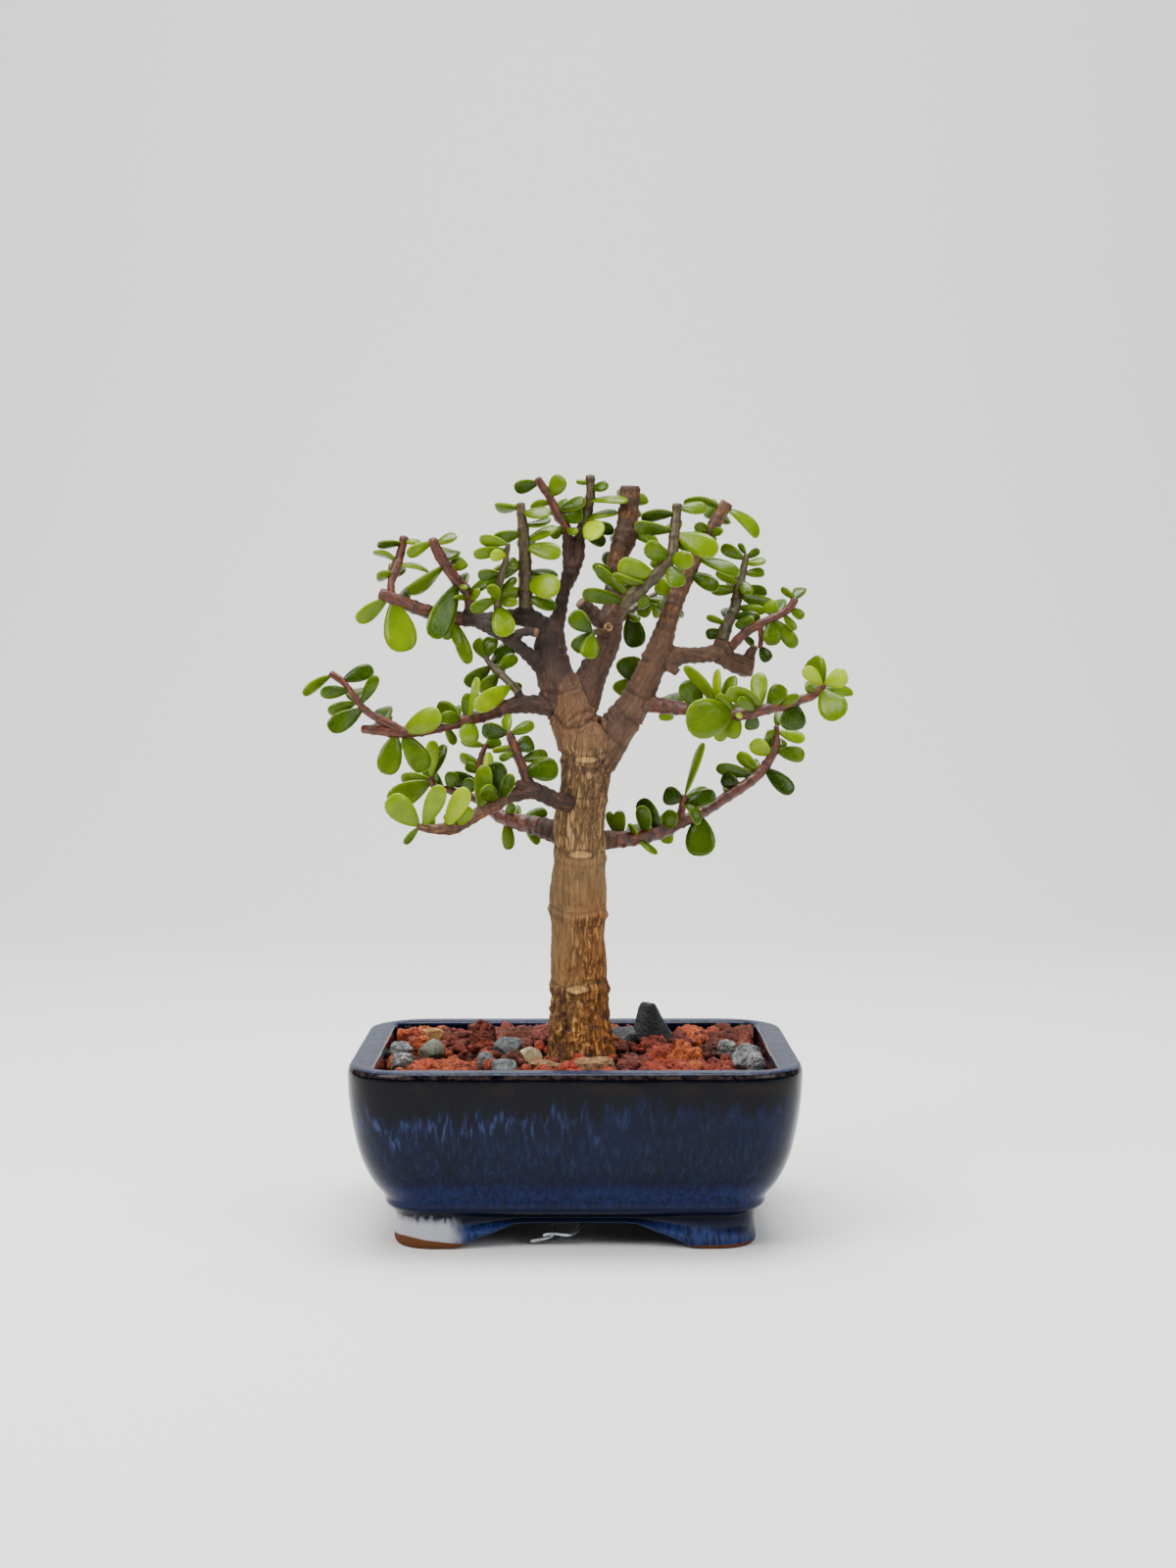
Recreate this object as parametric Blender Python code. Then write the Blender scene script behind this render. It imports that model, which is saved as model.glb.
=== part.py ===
"""A dwarf jade bonsai in a blue glazed pot, one named object for each piece, in metres with +Z up.

The origin is at the middle of the pot's foot, on the surface that it stands on. The tree was measured from
straight in front. Each of its points is written in millimetres as x, z, y: x and z are where an eye at EYE
sees it on the trunk's own plane, and y is how far it lies behind that plane, or before it if less than 0.
"""

import math
import random

import bmesh
import bpy
from mathutils import Matrix, Vector
from mathutils.bvhtree import BVHTree

MM = 0.001
GAP = 0.3
EYE = Vector((0.0, -770.0, 187.0))

# Pot, in millimetres. Its depth is always this much less than its width.
POT_HALF_DIFFERENCE = 15.0
POT_CORNER_STEPS = 3
RIM_Z = 61.5
POT_OUTSIDE = (
    (0.0, 59.6, 12.5),
    (0.6, 60.8, 13.5),
    (2.2, 61.2, 14.0),
    (8.2, 60.5, 14.0),
    (11.5, 61.5, 14.5),
    (14.6, 64.0, 15.5),
    (15.8, 64.0, 15.5),
    (20.5, 67.3, 17.0),
    (26.5, 70.4, 18.5),
    (34.0, 72.9, 20.0),
    (44.0, 74.9, 21.5),
    (57.0, 76.0, 22.0),
    (60.0, 75.9, 22.0),
    (RIM_Z, 74.4, 21.0),
)
POT_INSIDE = (
    (RIM_Z, 67.6, 7.5),
    (60.0, 66.3, 6.5),
    (44.0, 66.0, 6.5),
    (31.0, 64.5, 7.0),
    (21.0, 60.5, 8.0),
    (16.5, 56.5, 9.0),
    (14.5, 52.5, 9.0),
)
FLOOR_TOP = 14.5
FLOOR_UNDERSIDE = 9.5
FOOT_WALL = 8.0
ARCH_HEIGHT = 8.8
ARCH_FROM_CORNER = 20.5
DRAIN_RADIUS = 9.0

# Drain mesh and its wire clip, in millimetres.
MESH_HOLES = 4
MESH_HOLE = 4.8
MESH_STRAND = 1.2
MESH_THICKNESS = 0.8
WIRE_RADIUS = 0.6
WIRE_HALF_SPAN = (MESH_HOLE + MESH_STRAND) / 2

# Filling, in millimetres.
SOIL_TOP = 49.7
BED_TOP = 55.5
WALL_GAP = 0.4
LAVA_SPACING = 11.2
LAVA_HALF_SIZES = (6.0, 7.2)
LAVA_SINK = -2.4
MOUND_HEIGHT = 2.6
MOUND_RADIUS = 48.0
ROUND_KINDS = ("olive", "pale", "lava_dark")
ROUND_STONE_POINTS = 34
ANGULAR_STONE_POINTS = 20
ROUND_REACH = 0.52
ANGULAR_REACH = (0.46, 0.6)
STONE_SUNK_SHARE = 0.36
LAVA_CORNERS = (0.55, 0.95)
LAVA_TILT = 0.6
SOIL_TO_LAVA = 0.8

# Leaves, in millimetres and shares of a leaf's own length and width.
LEAF_THICKNESS = 1.9
LEAF_RINGS = ((0.26, 0.50, 0.80), (0.62, 1.00, 1.00), (0.88, 0.72, 0.75))
SMALL_LEAF_RINGS = ((0.34, 0.66, 0.85), (0.76, 0.98, 0.95))
SMALL_LEAF_LENGTH = 14.0
OUTER_SHARE = 0.42
BACK_LEAF_STEP = 12.0
BACK_LEAF_LEANS = (8.0, 11.0)
BACK_LEAF_WIDTHS = (6.5, 9.0)
BACK_LEAF_ROLL = 20.0
CLEAR_BY = 0.4
SOFT_EDGE = 40
LEAN_TRIES = (0.0, -2.0, 2.0, -4.0, 4.0, -6.0, 6.0, -8.5, 8.5, -11.0, 11.0)
LENGTH_TRIES = (1.0, 0.85, 0.7)

STEM_SIDES = 5

# Limbs of the trunk: name, sides, and points x, z, y, radius.
LIMBS = (
    ("trunk", 12, (
        (2.0, 28, 1, 2.5), (2.0, 38, 1, 6.5), (2.0, 47, 0, 10.6), (2.0, 55, 0, 12.6), (1.9, 61, 0, 11.7),
        (1.5, 69, 0, 10.7), (1.1, 78, 0, 10.0), (1.1, 81, 0, 10.4), (1.0, 85, 0, 9.7), (1.0, 104, 0, 9.8),
        (1.1, 107.3, 0, 10.4), (1.0, 110.5, 0, 9.8), (1.2, 122, 0, 9.7), (1.5, 128.5, 0, 9.4), (1.7, 139, 0, 9.0),
        (2.6, 148, 0, 8.8), (3.4, 155, 0, 8.6), (3.9, 161, 0, 9.1), (4.4, 167, 0, 9.8), (3.4, 173, 0, 9.0),
    )),
    ("fork_left", 10, ((2.0, 166, 0, 8.8), (-0.2, 175, 0, 8.8), (-1.3, 181, 0, 8.4), (-3.0, 185.5, 0, 7.6))),
    ("limb_left", 9, (
        (-3.6, 181, 0, 7.2), (-6.6, 189, 0, 6.7), (-8.3, 196, 1, 6.2), (-8.8, 202, 1, 5.6), (-8.0, 206.8, 1, 4.4),
    )),
    ("limb_top", 7, (
        (-8.0, 204, 1, 3.6), (-6.0, 210.5, 2, 2.9), (-5.0, 215, 3, 2.5), (-4.0, 220, 4, 2.4), (-1.8, 226, 4, 3.1),
        (-1.2, 230, 5, 2.8),
    )),
    ("limb_top_red", 7, ((-1.8, 226, 4, 2.2), (-2.7, 232, 5, 2.1), (-2.7, 239.4, 6, 2.0))),
    ("limb_top_centre", 7, ((-0.8, 226, 4, 2.2), (1.3, 232, 5, 2.1), (1.6, 239.0, 6, 2.0))),
    ("limb_left_upper", 7, (
        (-9, 205.5, 1, 4.2), (-14, 209.5, 1, 3.7), (-18, 211, 1, 3.4), (-24, 211, 2, 2.8), (-30, 210.3, 3, 2.6),
        (-36.2, 210.1, 4, 2.7), (-40.2, 210.5, 3.5, 2.7),
    )),
    ("stub_left_upright", 6, ((-17.3, 210, 1, 2.9), (-17.3, 215, 0, 2.7))),
    ("stub_left_red", 6, ((-36.4, 210, 4, 2.2), (-36.6, 214.4, 3.5, 2.2))),
    ("stub_left_inner", 6, ((-26.3, 210.8, 2, 1.9), (-27.0, 213.9, -1.5, 1.6))),
    ("limb_left_lower", 7, (
        (-10, 192, -1, 3.6), (-14, 196, -3, 3.0), (-18, 199.3, -5, 2.5), (-22, 202.6, -5, 2.4), (-28, 206.3, -2, 2.4),
        (-34, 209.2, 3, 2.3),
    )),
    ("stub_left_cut", 6, ((-22.5, 203, -5, 1.7), (-18, 206, -8, 1.8), (-12.8, 205.3, -9, 1.7))),
    ("limb_centre", 9, (
        (2.4, 181, 0, 6.4), (5.1, 189, 0, 5.5), (7.8, 195, -1, 5.0), (10.4, 200, -1, 4.7), (12.0, 205, -2, 4.4),
        (12.7, 210, -2, 4.2), (13.3, 214.5, 0, 3.9), (13.6, 218, 2, 3.7),
    )),
    ("stub_centre_cut", 6, ((11, 208, -2, 3.4), (6, 212.3, -4, 3.0), (1.6, 216.6, -6, 2.4))),
    ("stub_centre_right", 6, ((13.0, 210.5, -4, 3.2), (16.8, 215.4, -7.5, 2.7))),
    ("stub_centre_front", 6, ((11.2, 205, -4, 1.8), (8.9, 205.8, -8.5, 1.4))),
    ("stub_centre_back", 6, ((13.6, 208.5, 1, 2.0), (16.4, 211, 7.5, 1.6))),
    ("limb_right", 10, (
        (7.2, 161, 0, 7.4), (12.3, 169, 0, 6.9), (16.6, 175, 0, 6.4), (20.8, 181, 0, 5.6), (23.8, 187, 0, 5.3),
        (26.4, 193, 0, 4.9), (28.5, 198.5, 0, 4.6), (30.3, 203, 0, 4.2), (31.4, 206.8, 0, 3.8),
    )),
    ("stub_right_back", 6, ((22.8, 184.5, 3, 2.2), (20.8, 186.6, 9.5, 1.7))),
    ("limb_right_upper", 7, (
        (29, 195.5, 0, 3.6), (35.2, 197.2, 1, 3.7), (38, 197.6, 1.5, 3.0), (44, 197.8, 3, 2.9), (50.8, 198.7, 5, 3.3),
    )),
    ("stub_right_upper", 6, ((50.2, 198.5, 5, 3.2), (51.3, 203.4, 5, 2.6))),
    ("stub_right_outer", 6, ((50.8, 198.4, 5, 2.2), (55.0, 201.2, 2.5, 1.8))),
    ("stub_right_cut", 6, ((50, 198, 5, 3.2), (55, 195.3, 6, 3.6), (59, 194, 6, 3.9), (62.3, 193.4, 6, 3.2))),
    ("stub_right_spur", 6, ((59.2, 195, 6, 2.2), (62.8, 201.2, 6, 1.6))),
    ("stub_right_small", 6, ((32.5, 194.5, -1, 2.2), (35.6, 191.6, -2, 1.7))),
    ("limb_right_middle", 7, ((21, 181, -1, 3.6), (25, 180.8, -2, 3.2), (28.2, 180.4, -2.6, 3.0))),
    ("limb_left_middle", 7, (
        (-5, 179.3, -1, 4.4), (-11, 180.3, -2, 3.7), (-16, 180.7, -3, 3.4), (-21, 180.2, -4, 3.1),
        (-24.6, 179.4, -5, 2.9),
    )),
    ("stub_left_middle", 6, ((-18.2, 181.5, -3, 1.9), (-20.2, 185.2, -3, 1.6))),
    ("limb_low_left_front", 7, (
        (-1, 145.6, -5, 3.2), (-6, 146.8, -9, 3.1), (-10, 148.6, -11, 3.1), (-15, 150.6, -13, 3.3),
        (-19, 149.4, -14, 2.7), (-25, 147.6, -16, 2.4),
    )),
    ("stub_low_left_up", 6, ((-15.2, 150.8, -13, 2.4), (-17.4, 155.4, -13, 2.0))),
    ("stub_low_left_cut", 6, ((-17, 151.3, -14, 1.9), (-20.4, 153.3, -16, 1.5))),
    ("limb_low_left_back", 7, ((-2, 134.5, 4, 4.4), (-8, 136.4, 6, 4.2), (-13, 138, 8, 3.6))),
    ("limb_low_right", 7, ((5, 133.6, 4, 4.0), (10.5, 133.2, 6, 3.6), (14, 133.3, 7, 3.3))),
)

# Leafy stems: name, the limb it grows on from, colour, its points x, z, y, radius, its side shoots,
# and its leaves as base x, base z, tip x, tip z, the tip's lean away from the eye, width, roll and curl.
STEMS = (
    ("leafy_stem_far_left", "limb_left_upper", "stem_red", (
        (-43, 211.0, 3, 2.7), (-46.5, 211.8, 2, 2.6), (-52, 213.1, -1, 2.5), (-58, 215.2, -3, 2.4),
        (-64, 217.6, -5, 2.3), (-68.3, 219.3, -6, 2.1),
    ), (
        ((-63.6, 217.4, -5, 1.5), (-64.1, 222.5, -4, 1.3), (-62.4, 228, -2, 2.0), (-60.8, 233, 0, 1.5),
         (-59.3, 239.2, 1, 1.6)),
    ), (
        (-65.5, 216, -76.2, 209.6, -3, 6.5, 30, 0.0), (-64, 216, -59.7, 199.2, -6, 12, 0, -0.06),
        (-62.6, 226, -69.3, 225.2, -2, 6, 60, 0.0), (-62, 230, -70.4, 233.4, 1, 5.5, 70, -0.12),
        (-59.8, 236.5, -68.8, 236.0, -4, 6, 62, 0.0), (-61.5, 228.5, -50.8, 226.3, 3, 7, 75, 0.12),
        (-59.5, 237.2, -53.6, 237.1, -1, 4.5, 70, 0.0), (-45.5, 211.5, -44.6, 203.2, -4, 5, 20, 0.0),
        (-43.4, 211, -40.2, 200.6, -3, 4.4, 20, 0.0), (-43.0, 211, -37.0, 194.6, 1, 5.5, 15, 0.0),
    )),
    ("leafy_stem_left_red", "stub_left_red", "stem_red", (
        (-36.8, 218, 3, 2.0), (-38.6, 221, 2, 2.0), (-41.8, 224.4, 1, 2.1), (-45.3, 229.3, 0, 2.1),
        (-48.2, 234.4, -1, 2.0), (-50, 238.5, -2, 1.6),
    ), (), (
        (-47, 228, -58.6, 219.6, -3, 7.5, 55, 0.05), (-49, 236.4, -41.2, 239.2, 1, 5.5, 55, 0.0),
        (-49.6, 237, -58.8, 232.8, -4, 5, 35, 0.0), (-41, 223, -49.9, 203.5, -9, 9.5, 15, 0.0),
        (-37.5, 219.5, -28.4, 224.2, -3, 5.5, 45, 0.0), (-37, 217, -42.3, 217.5, -5, 3, 40, -0.1),
        (-37, 216.5, -33.2, 220.4, -6, 3.4, 40, 0.0), (-39.8, 221.8, -38.2, 220.8, -6, 3, 0, 0.0),
        (-44, 227.5, -38.5, 230.5, 8, 6, 20, 0.0),
    )),
    ("leafy_stem_left_inner", "stub_left_inner", "stem_green", (
        (-27, 218, -5, 1.5), (-26, 224, -8, 1.3), (-24.4, 230, -10, 1.1), (-23.3, 236.8, -11, 0.9),
    ), (), (
        (-23.5, 236.3, -33.4, 238.4, -1, 5, 30, 0.0), (-24, 234.5, -35.6, 232.9, -2, 4.6, 30, 0.0),
        (-24, 232.5, -29.2, 232.4, -5, 4.6, 15, 0.0), (-25.5, 226, -33.9, 225.7, 2, 4.6, 20, 0.0),
        (-26.8, 219, -20.2, 224.6, -2, 3.4, 20, 0.0), (-27, 217.5, -36.3, 213.4, -5, 4.8, 25, 0.0),
        (-27, 216.5, -29, 222.6, -4, 5, 20, 0.0), (-26.6, 215.8, -20.1, 216.2, -2, 4, 20, 0.0),
        (-26.8, 215.4, -23.8, 204.2, -3, 8.6, 0, 0.0), (-24.5, 229.5, -19.8, 229.8, 3, 4.5, 20, 0.0),
    )),
    ("leafy_stem_left_upright", "stub_left_upright", "stem_green", (
        (-17.4, 222, -1, 2.5), (-17.5, 232, -2, 2.3), (-18, 240, -3, 2.1), (-18.6, 246, -3, 1.7),
        (-19.1, 250.8, -3, 1.6),
    ), (), (
        (-19, 249, -28, 248.7, 2, 6, 62, 0.0), (-18.8, 247.3, -8.8, 246.6, -5, 6, 45, 0.0),
        (-18.3, 243, -8.4, 245, 1, 4.6, 60, -0.08), (-18, 240.3, -28.6, 237.6, -4, 5.6, 35, 0.0),
        (-17.6, 235.8, -5.2, 232.9, -6, 7, 35, 0.0), (-17.8, 237, -6.4, 242.2, 4, 5.2, 40, 0.0),
        (-17.4, 222.5, -5.8, 221.2, -8, 9.2, 5, 0.0), (-17.4, 218, -6.8, 214.4, -3, 5.2, 20, 0.0),
        (-17.5, 226.5, -6, 225.8, 4, 5.4, 50, 0.0), (-17.5, 230.3, -28.8, 225.2, -4, 5.8, 20, 0.0),
        (-17.4, 220.5, -29.6, 217.4, -6, 6.8, 15, 0.0),
    )),
    ("leafy_stem_top_red", "limb_top_red", "stem_red", (
        (-3.6, 243.2, 6, 1.7), (-5.6, 245.8, 6, 1.9), (-7.3, 249, 6, 1.6), (-9, 252.7, 6, 1.4),
        (-11.5, 256.5, 6, 1.6), (-13.4, 259.3, 6, 1.4),
    ), (), (
        (-12.5, 257.6, -21.2, 255.5, -1, 5.5, 25, 0.0), (-9, 252.5, -4.2, 259.8, -3, 7, 15, 0.0),
        (-8.2, 250.5, -15.7, 248.7, 0, 4.4, 40, -0.15), (-6.8, 248, 4.0, 251.2, -5, 5, 35, 0.0),
        (-5.8, 245.6, 2.6, 246.6, -2, 6.4, 15, 0.0), (-3.6, 242.6, -8.4, 238.9, -7, 4.2, 30, 0.0),
        (-3.2, 241.6, 0.6, 240.3, -6, 3.6, 30, 0.0),
    )),
    ("leafy_stem_top_centre", "limb_top_centre", "stem_green", (
        (2.7, 243, 6, 1.9), (4.0, 247.5, 5, 2.1), (5.3, 253, 4, 1.7), (5.3, 257, 4, 1.6), (5.2, 260.4, 4, 1.7),
    ), (), (
        (5.2, 257.5, 0.2, 258.0, 0, 2.4, 50, 0.0), (5.2, 255.6, 11.4, 256.6, -4, 4.4, 35, 0.0),
        (4.8, 251.2, 18.0, 251.3, -4, 7, 68, 0.05), (3.4, 244.6, 14.9, 246.6, -3, 6, 60, 0.08),
        (3.2, 243.6, 8.6, 239.4, -10, 8.6, 0, 0.0), (3.0, 242.6, 13.7, 241.4, 4, 5.4, 30, 0.0),
        (2.2, 241.2, 10.4, 236.2, -2, 5, 25, 0.0),
    )),
    ("leafy_stem_leader", "limb_centre", "bark_young", (
        (13.9, 223, 3, 3.7), (14.6, 229, 3, 3.9), (15.6, 234, 3, 3.8), (16.8, 236.6, 3, 4.1), (17.7, 240, 3, 4.4),
        (18.2, 243.4, 3, 3.8), (18.5, 247, 3, 3.9), (18.9, 250, 3, 3.5), (19.0, 253, 3, 3.8),
        (19.1, 256.4, 3, 3.5),
    ), (), (
        (18, 240.4, 29.2, 236.4, 3, 5.6, 40, 0.08), (14.3, 227, 9.6, 233.4, 4, 4.6, 20, 0.0),
        (18.9, 250.5, 25.2, 252.6, 9, 5, 20, 0.0), (18.9, 252.5, 14.4, 253.6, 8, 4.4, 20, 0.0),
        (14.2, 224.8, 6.6, 229.2, -7, 5.2, 35, 0.0), (18.4, 245.5, 22.5, 248.5, 9, 5, 10, 0.0),
    )),
    ("leafy_stem_centre_right", "stub_centre_right", "stem_green", (
        (20.2, 218.6, -9, 2.6), (25, 222.8, -11, 2.4), (30, 227.5, -12, 2.3), (33.2, 231.2, -12, 2.1),
        (34.3, 236, -11, 2.1), (34.7, 242, -10, 1.9), (35.3, 247, -9, 1.7), (35.6, 250.6, -9, 1.8),
    ), (), (
        (19, 218, 7, 228.4, -4, 5, 40, 0.0), (27.5, 226, 14.7, 229.2, -7, 8, 10, 0.0),
        (25, 222.8, 13.4, 225.4, -5, 5.5, 62, 0.05), (32.8, 230.8, 24.6, 235.8, -6, 6.8, 10, 0.0),
        (33.2, 231.4, 41.2, 230.2, -6, 6.6, 5, 0.12), (32, 229.6, 36.8, 221.6, -6, 6.6, 5, 0.0),
        (35.2, 246.6, 23, 245.6, -4, 6, 45, -0.06), (34.6, 241, 20.6, 243.6, -3, 5.6, 40, 0.06),
        (35.4, 249, 45.8, 248.6, -3, 5.4, 38, 0.0), (34.6, 240, 49.4, 233.8, -6, 8.6, 15, 0.0),
        (34.3, 237, 41, 234.8, 2, 4.2, 10, 0.0), (17.5, 216.4, 2.0, 219.8, -5, 5.6, 15, 0.0),
        (22.5, 220.6, 24.5, 214, 5, 5, 10, 0.0),
    )),
    ("leafy_stem_centre_front", "stub_centre_front", "stem_green", (
        (7.2, 205.9, -11, 1.2), (5.8, 205.6, -13, 0.9),
    ), (), (
        (6, 205.6, 4.5, 196.4, -3, 6.8, 0, 0.0), (6, 205.6, -1.6, 212.4, -1, 7.4, 5, 0.0),
        (6.4, 205.7, -0.6, 199.2, 3, 6.6, 10, 0.0),
    )),
    ("leafy_stem_centre_back", "stub_centre_back", "stem_green", (
        (19.5, 213.2, 14, 1.4), (24, 216.6, 19, 1.2), (28.5, 219.4, 22, 0.9),
    ), (), (
        (19, 213, 21.4, 200.4, 2, 8.6, 5, 0.0), (26.5, 218, 22.6, 211.2, -3, 5.6, 10, 0.0),
        (24.5, 217, 31.2, 216.6, 1, 3.6, 40, 0.0), (18, 212.2, 22.4, 209.8, -4, 3.6, 20, 0.0),
        (28, 219, 28.6, 210.6, 4, 4.2, 30, 0.0), (24, 216.4, 17, 221.5, 7, 7, 20, 0.0),
        (28, 219, 33, 225, 7, 7, 10, 0.0),
    )),
    ("leafy_stem_right_leader", "limb_right", "bark_young", (
        (33.2, 212, 0, 3.3), (35, 217, 1, 3.2), (37.2, 222, 2, 3.1), (40.3, 228.5, 3, 2.8), (43, 233.5, 4, 2.4),
        (46.5, 239.5, 5, 2.4), (50, 246, 6, 2.4), (52.9, 250.8, 6, 2.3),
    ), (), (
        (51.5, 248.6, 37.6, 251.2, -3, 5.4, 55, -0.12), (52, 248.8, 63.3, 238.4, 1, 7, 58, 0.12),
        (47.2, 240.5, 41.6, 243.2, -5, 4.2, 10, 0.0), (46.8, 240, 51.4, 241, -6, 3.4, 10, 0.0),
        (42, 231.6, 57.3, 225.6, -8, 5.6, 35, 0.05), (39.4, 226.6, 49.9, 221, -8, 5.8, 15, 0.0),
        (34.2, 214.6, 37.8, 211.2, 6, 3, 20, 0.0), (36, 219, 28, 222.5, 8, 6.6, 20, 0.0),
        (45, 237, 41.5, 241.5, 9, 6.5, 20, 0.0), (49, 244.5, 53.5, 246, 9, 6, 20, 0.0),
    )),
    ("leafy_stem_right_upper", "stub_right_upper", "stem_green", (
        (53, 208.5, 7, 2.2), (55.3, 213, 9, 2.1), (56.3, 218, 11, 1.9), (57.2, 222, 12, 1.8),
        (58.3, 226.5, 14, 1.5), (59.3, 231, 15, 1.2), (59.8, 233.2, 15, 0.9),
    ), (), (
        (59.2, 231, 50.8, 235.7, -1, 4.8, 15, 0.0), (59.5, 232.4, 57, 236.8, 1, 2.4, 10, 0.0),
        (59.3, 231.4, 64.2, 234.4, 0, 3.2, 20, 0.0), (59, 229.6, 66.5, 230.3, -2, 4.2, 45, 0.0),
        (58.2, 226.3, 66, 226.4, -1, 4.2, 45, 0.0), (53, 208.3, 45.8, 211.6, -3, 3, 45, 0.0),
        (52, 206, 45.4, 204.9, 0, 4.4, 15, 0.0), (51.7, 204.8, 39.6, 200.9, -6, 4, 40, 0.0),
        (55.6, 214.6, 66.5, 212.9, -3, 4, 15, 0.0), (54.5, 211.4, 64.5, 210.4, -5, 5, 10, 0.0),
        (56.4, 219, 70.9, 213.4, 6, 6, 15, 0.0), (57, 221, 66.8, 219.8, 9, 4.6, 15, 0.0),
        (57, 222, 49.2, 227, -3, 4.6, 35, 0.0), (57.6, 224, 60.8, 218.8, -6, 4.8, 10, 0.0),
        (56.8, 220.6, 47, 220.4, 2, 4.6, 20, 0.0),
    )),
    ("leafy_stem_right_outer", "stub_right_outer", "stem_red", (
        (59, 205.4, 1, 1.7), (64, 208.3, -1, 1.7), (68.5, 210.5, -2, 1.5), (72.5, 212.5, -2, 1.4),
        (75.4, 215, -2, 1.5), (76.8, 217.8, -2, 1.2),
    ), (
        ((64.4, 208, -1, 1.2), (64.9, 204, 0, 1.0), (64.4, 200.2, 0, 0.9)),
    ), (
        (76.6, 217.2, 71.8, 221.2, -1, 3.6, 50, 0.0), (74.6, 214.2, 79.7, 210.8, 0, 3.8, 20, 0.0),
        (72.4, 212.4, 76.7, 206.3, -1, 3.4, 30, 0.0), (68, 210.3, 69, 201.2, -3, 6.6, 5, 0.0),
        (69, 210.4, 77.2, 200.5, 1, 5.6, 10, 0.0), (64.5, 201, 67.6, 195.6, 1, 5, 10, 0.0),
        (58, 205, 62.4, 201.3, 2, 3, 20, 0.0), (70.5, 211.5, 66.8, 216.2, 2, 6, 10, 0.0),
        (61, 206.5, 57.4, 209.5, 6, 4.5, 20, 0.0), (76.4, 217, 79, 221.5, 6, 5, 20, 0.0),
    )),
    ("leafy_stem_right_middle", "limb_right_middle", "stem_red", (
        (33, 179.7, -4, 2.7), (39, 179, -7, 2.4), (46, 178.2, -11, 2.3), (52, 177.5, -14, 2.3),
        (57, 177.2, -16, 2.4), (62, 177.8, -17, 2.2), (66, 178.8, -18, 2.1), (71, 179.8, -18, 1.8),
        (77, 181.8, -18, 1.8), (82, 183.2, -18, 1.6), (85.2, 185.2, -18, 1.3), (87, 187.8, -18, 1.0),
    ), (), (
        (56, 177.2, 38.3, 174.6, -8, 14.6, 0, 0.05), (44, 178.4, 38.2, 188.8, -2, 8.4, 5, 0.0),
        (50.5, 177.6, 38.4, 194.4, -5, 6, 40, -0.08), (50, 177.8, 49.2, 193.2, 4, 4.6, 40, 0.0),
        (66.5, 179, 53, 185.6, -6, 7, 35, -0.08), (63.5, 178.4, 57.2, 182.4, -1, 4.2, 10, 0.0),
        (56.5, 177.4, 49.4, 184, 0, 4.4, 15, 0.0), (67, 179, 72.6, 187.2, 0, 6.8, 20, 0.0),
        (71, 180, 78, 183.8, -3, 3.4, 20, 0.0), (57, 177.2, 54.4, 168.6, 0, 5.8, 10, 0.0),
        (55.5, 177.2, 49.4, 168, 3, 5.2, 10, 0.0), (62, 177.8, 61.6, 171.5, 3, 5.6, 10, 0.0),
        (76.5, 181.6, 75.8, 171.4, 1, 9.6, 5, 0.0), (57.4, 177.2, 57.2, 176.6, -5, 2.6, 0, 0.0),
        (86.4, 187, 82.6, 196.8, 5, 9.4, 25, 0.0), (86.4, 187, 80, 193.4, -4, 5.4, 10, 0.0),
        (86.8, 187.6, 95.0, 191, -4, 7.2, 5, 0.0), (85.6, 185.8, 97.3, 185.1, 4, 5, 40, 0.0),
        (86, 186.2, 92.4, 176, -8, 10.6, 5, 0.0), (84, 184.4, 80.7, 187.2, -1, 2.8, 20, 0.0),
        (31.5, 179.9, 31.9, 174.6, 4, 5.6, 5, 0.0), (31.5, 179.9, 31.5, 183.4, 5, 4.6, 5, 0.0),
        (64, 178.3, 64.4, 191.5, 7, 6.4, 20, 0.0), (52.5, 177.5, 54.5, 191, 8, 6.4, 30, 0.0),
    )),
    ("leafy_stem_left_middle", "limb_left_middle", "stem_red", (
        (-30, 177.4, -7, 2.5), (-38, 175.2, -9, 2.3), (-46, 173.2, -10, 2.2), (-54, 171.4, -11, 2.1),
        (-62, 170.8, -12, 2.0), (-69, 171.6, -12, 1.9), (-74.8, 172, -12, 1.5),
    ), (
        ((-60, 171, -12, 1.7), (-66, 174.4, -13, 1.5), (-71, 176.9, -14, 1.4), (-74.6, 180, -15, 1.3),
         (-77.6, 184, -15, 1.2), (-81, 188.3, -15, 1.2), (-85.6, 191.6, -15, 1.4)),
    ), (
        (-81.5, 189, -70.3, 193, 2, 6.2, 15, 0.0), (-84.6, 191, -95.2, 184.1, -1, 5, 35, -0.06),
        (-78.6, 185.4, -89, 184.7, -5, 5.2, 10, 0.0), (-75, 180.4, -69.2, 190.6, -4, 4.6, 20, 0.0),
        (-75.6, 181.6, -86.4, 177.9, 1, 4.6, 20, 0.0), (-73.8, 179.2, -86.2, 171.9, -5, 7.2, 5, 0.0),
        (-62.4, 170.8, -66.3, 156, -2, 9, 5, 0.0), (-60.4, 171, -52.2, 157.2, 2, 8.6, 10, 0.0),
        (-60.5, 171, -47.3, 177.2, -7, 8.8, 5, 0.0), (-40, 174.8, -48.4, 180.4, 4, 6.4, 35, -0.15),
        (-39.4, 175, -47.2, 176.6, -6, 5.6, 15, 0.0), (-38.4, 175.2, -37.6, 184.6, -2, 4, 10, 0.0),
        (-37.6, 175.4, -33.2, 189.8, -6, 6, 60, 0.0), (-36.4, 175.6, -37.6, 167, -6, 7.6, 5, 0.0),
        (-45.5, 173.3, -42, 166.6, 4, 3.6, 20, 0.0), (-57, 171.2, -60, 165, 5, 4.2, 20, 0.0),
    )),
    ("leafy_stem_left_middle_shoot", "stub_left_middle", "stem_green", (
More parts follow.
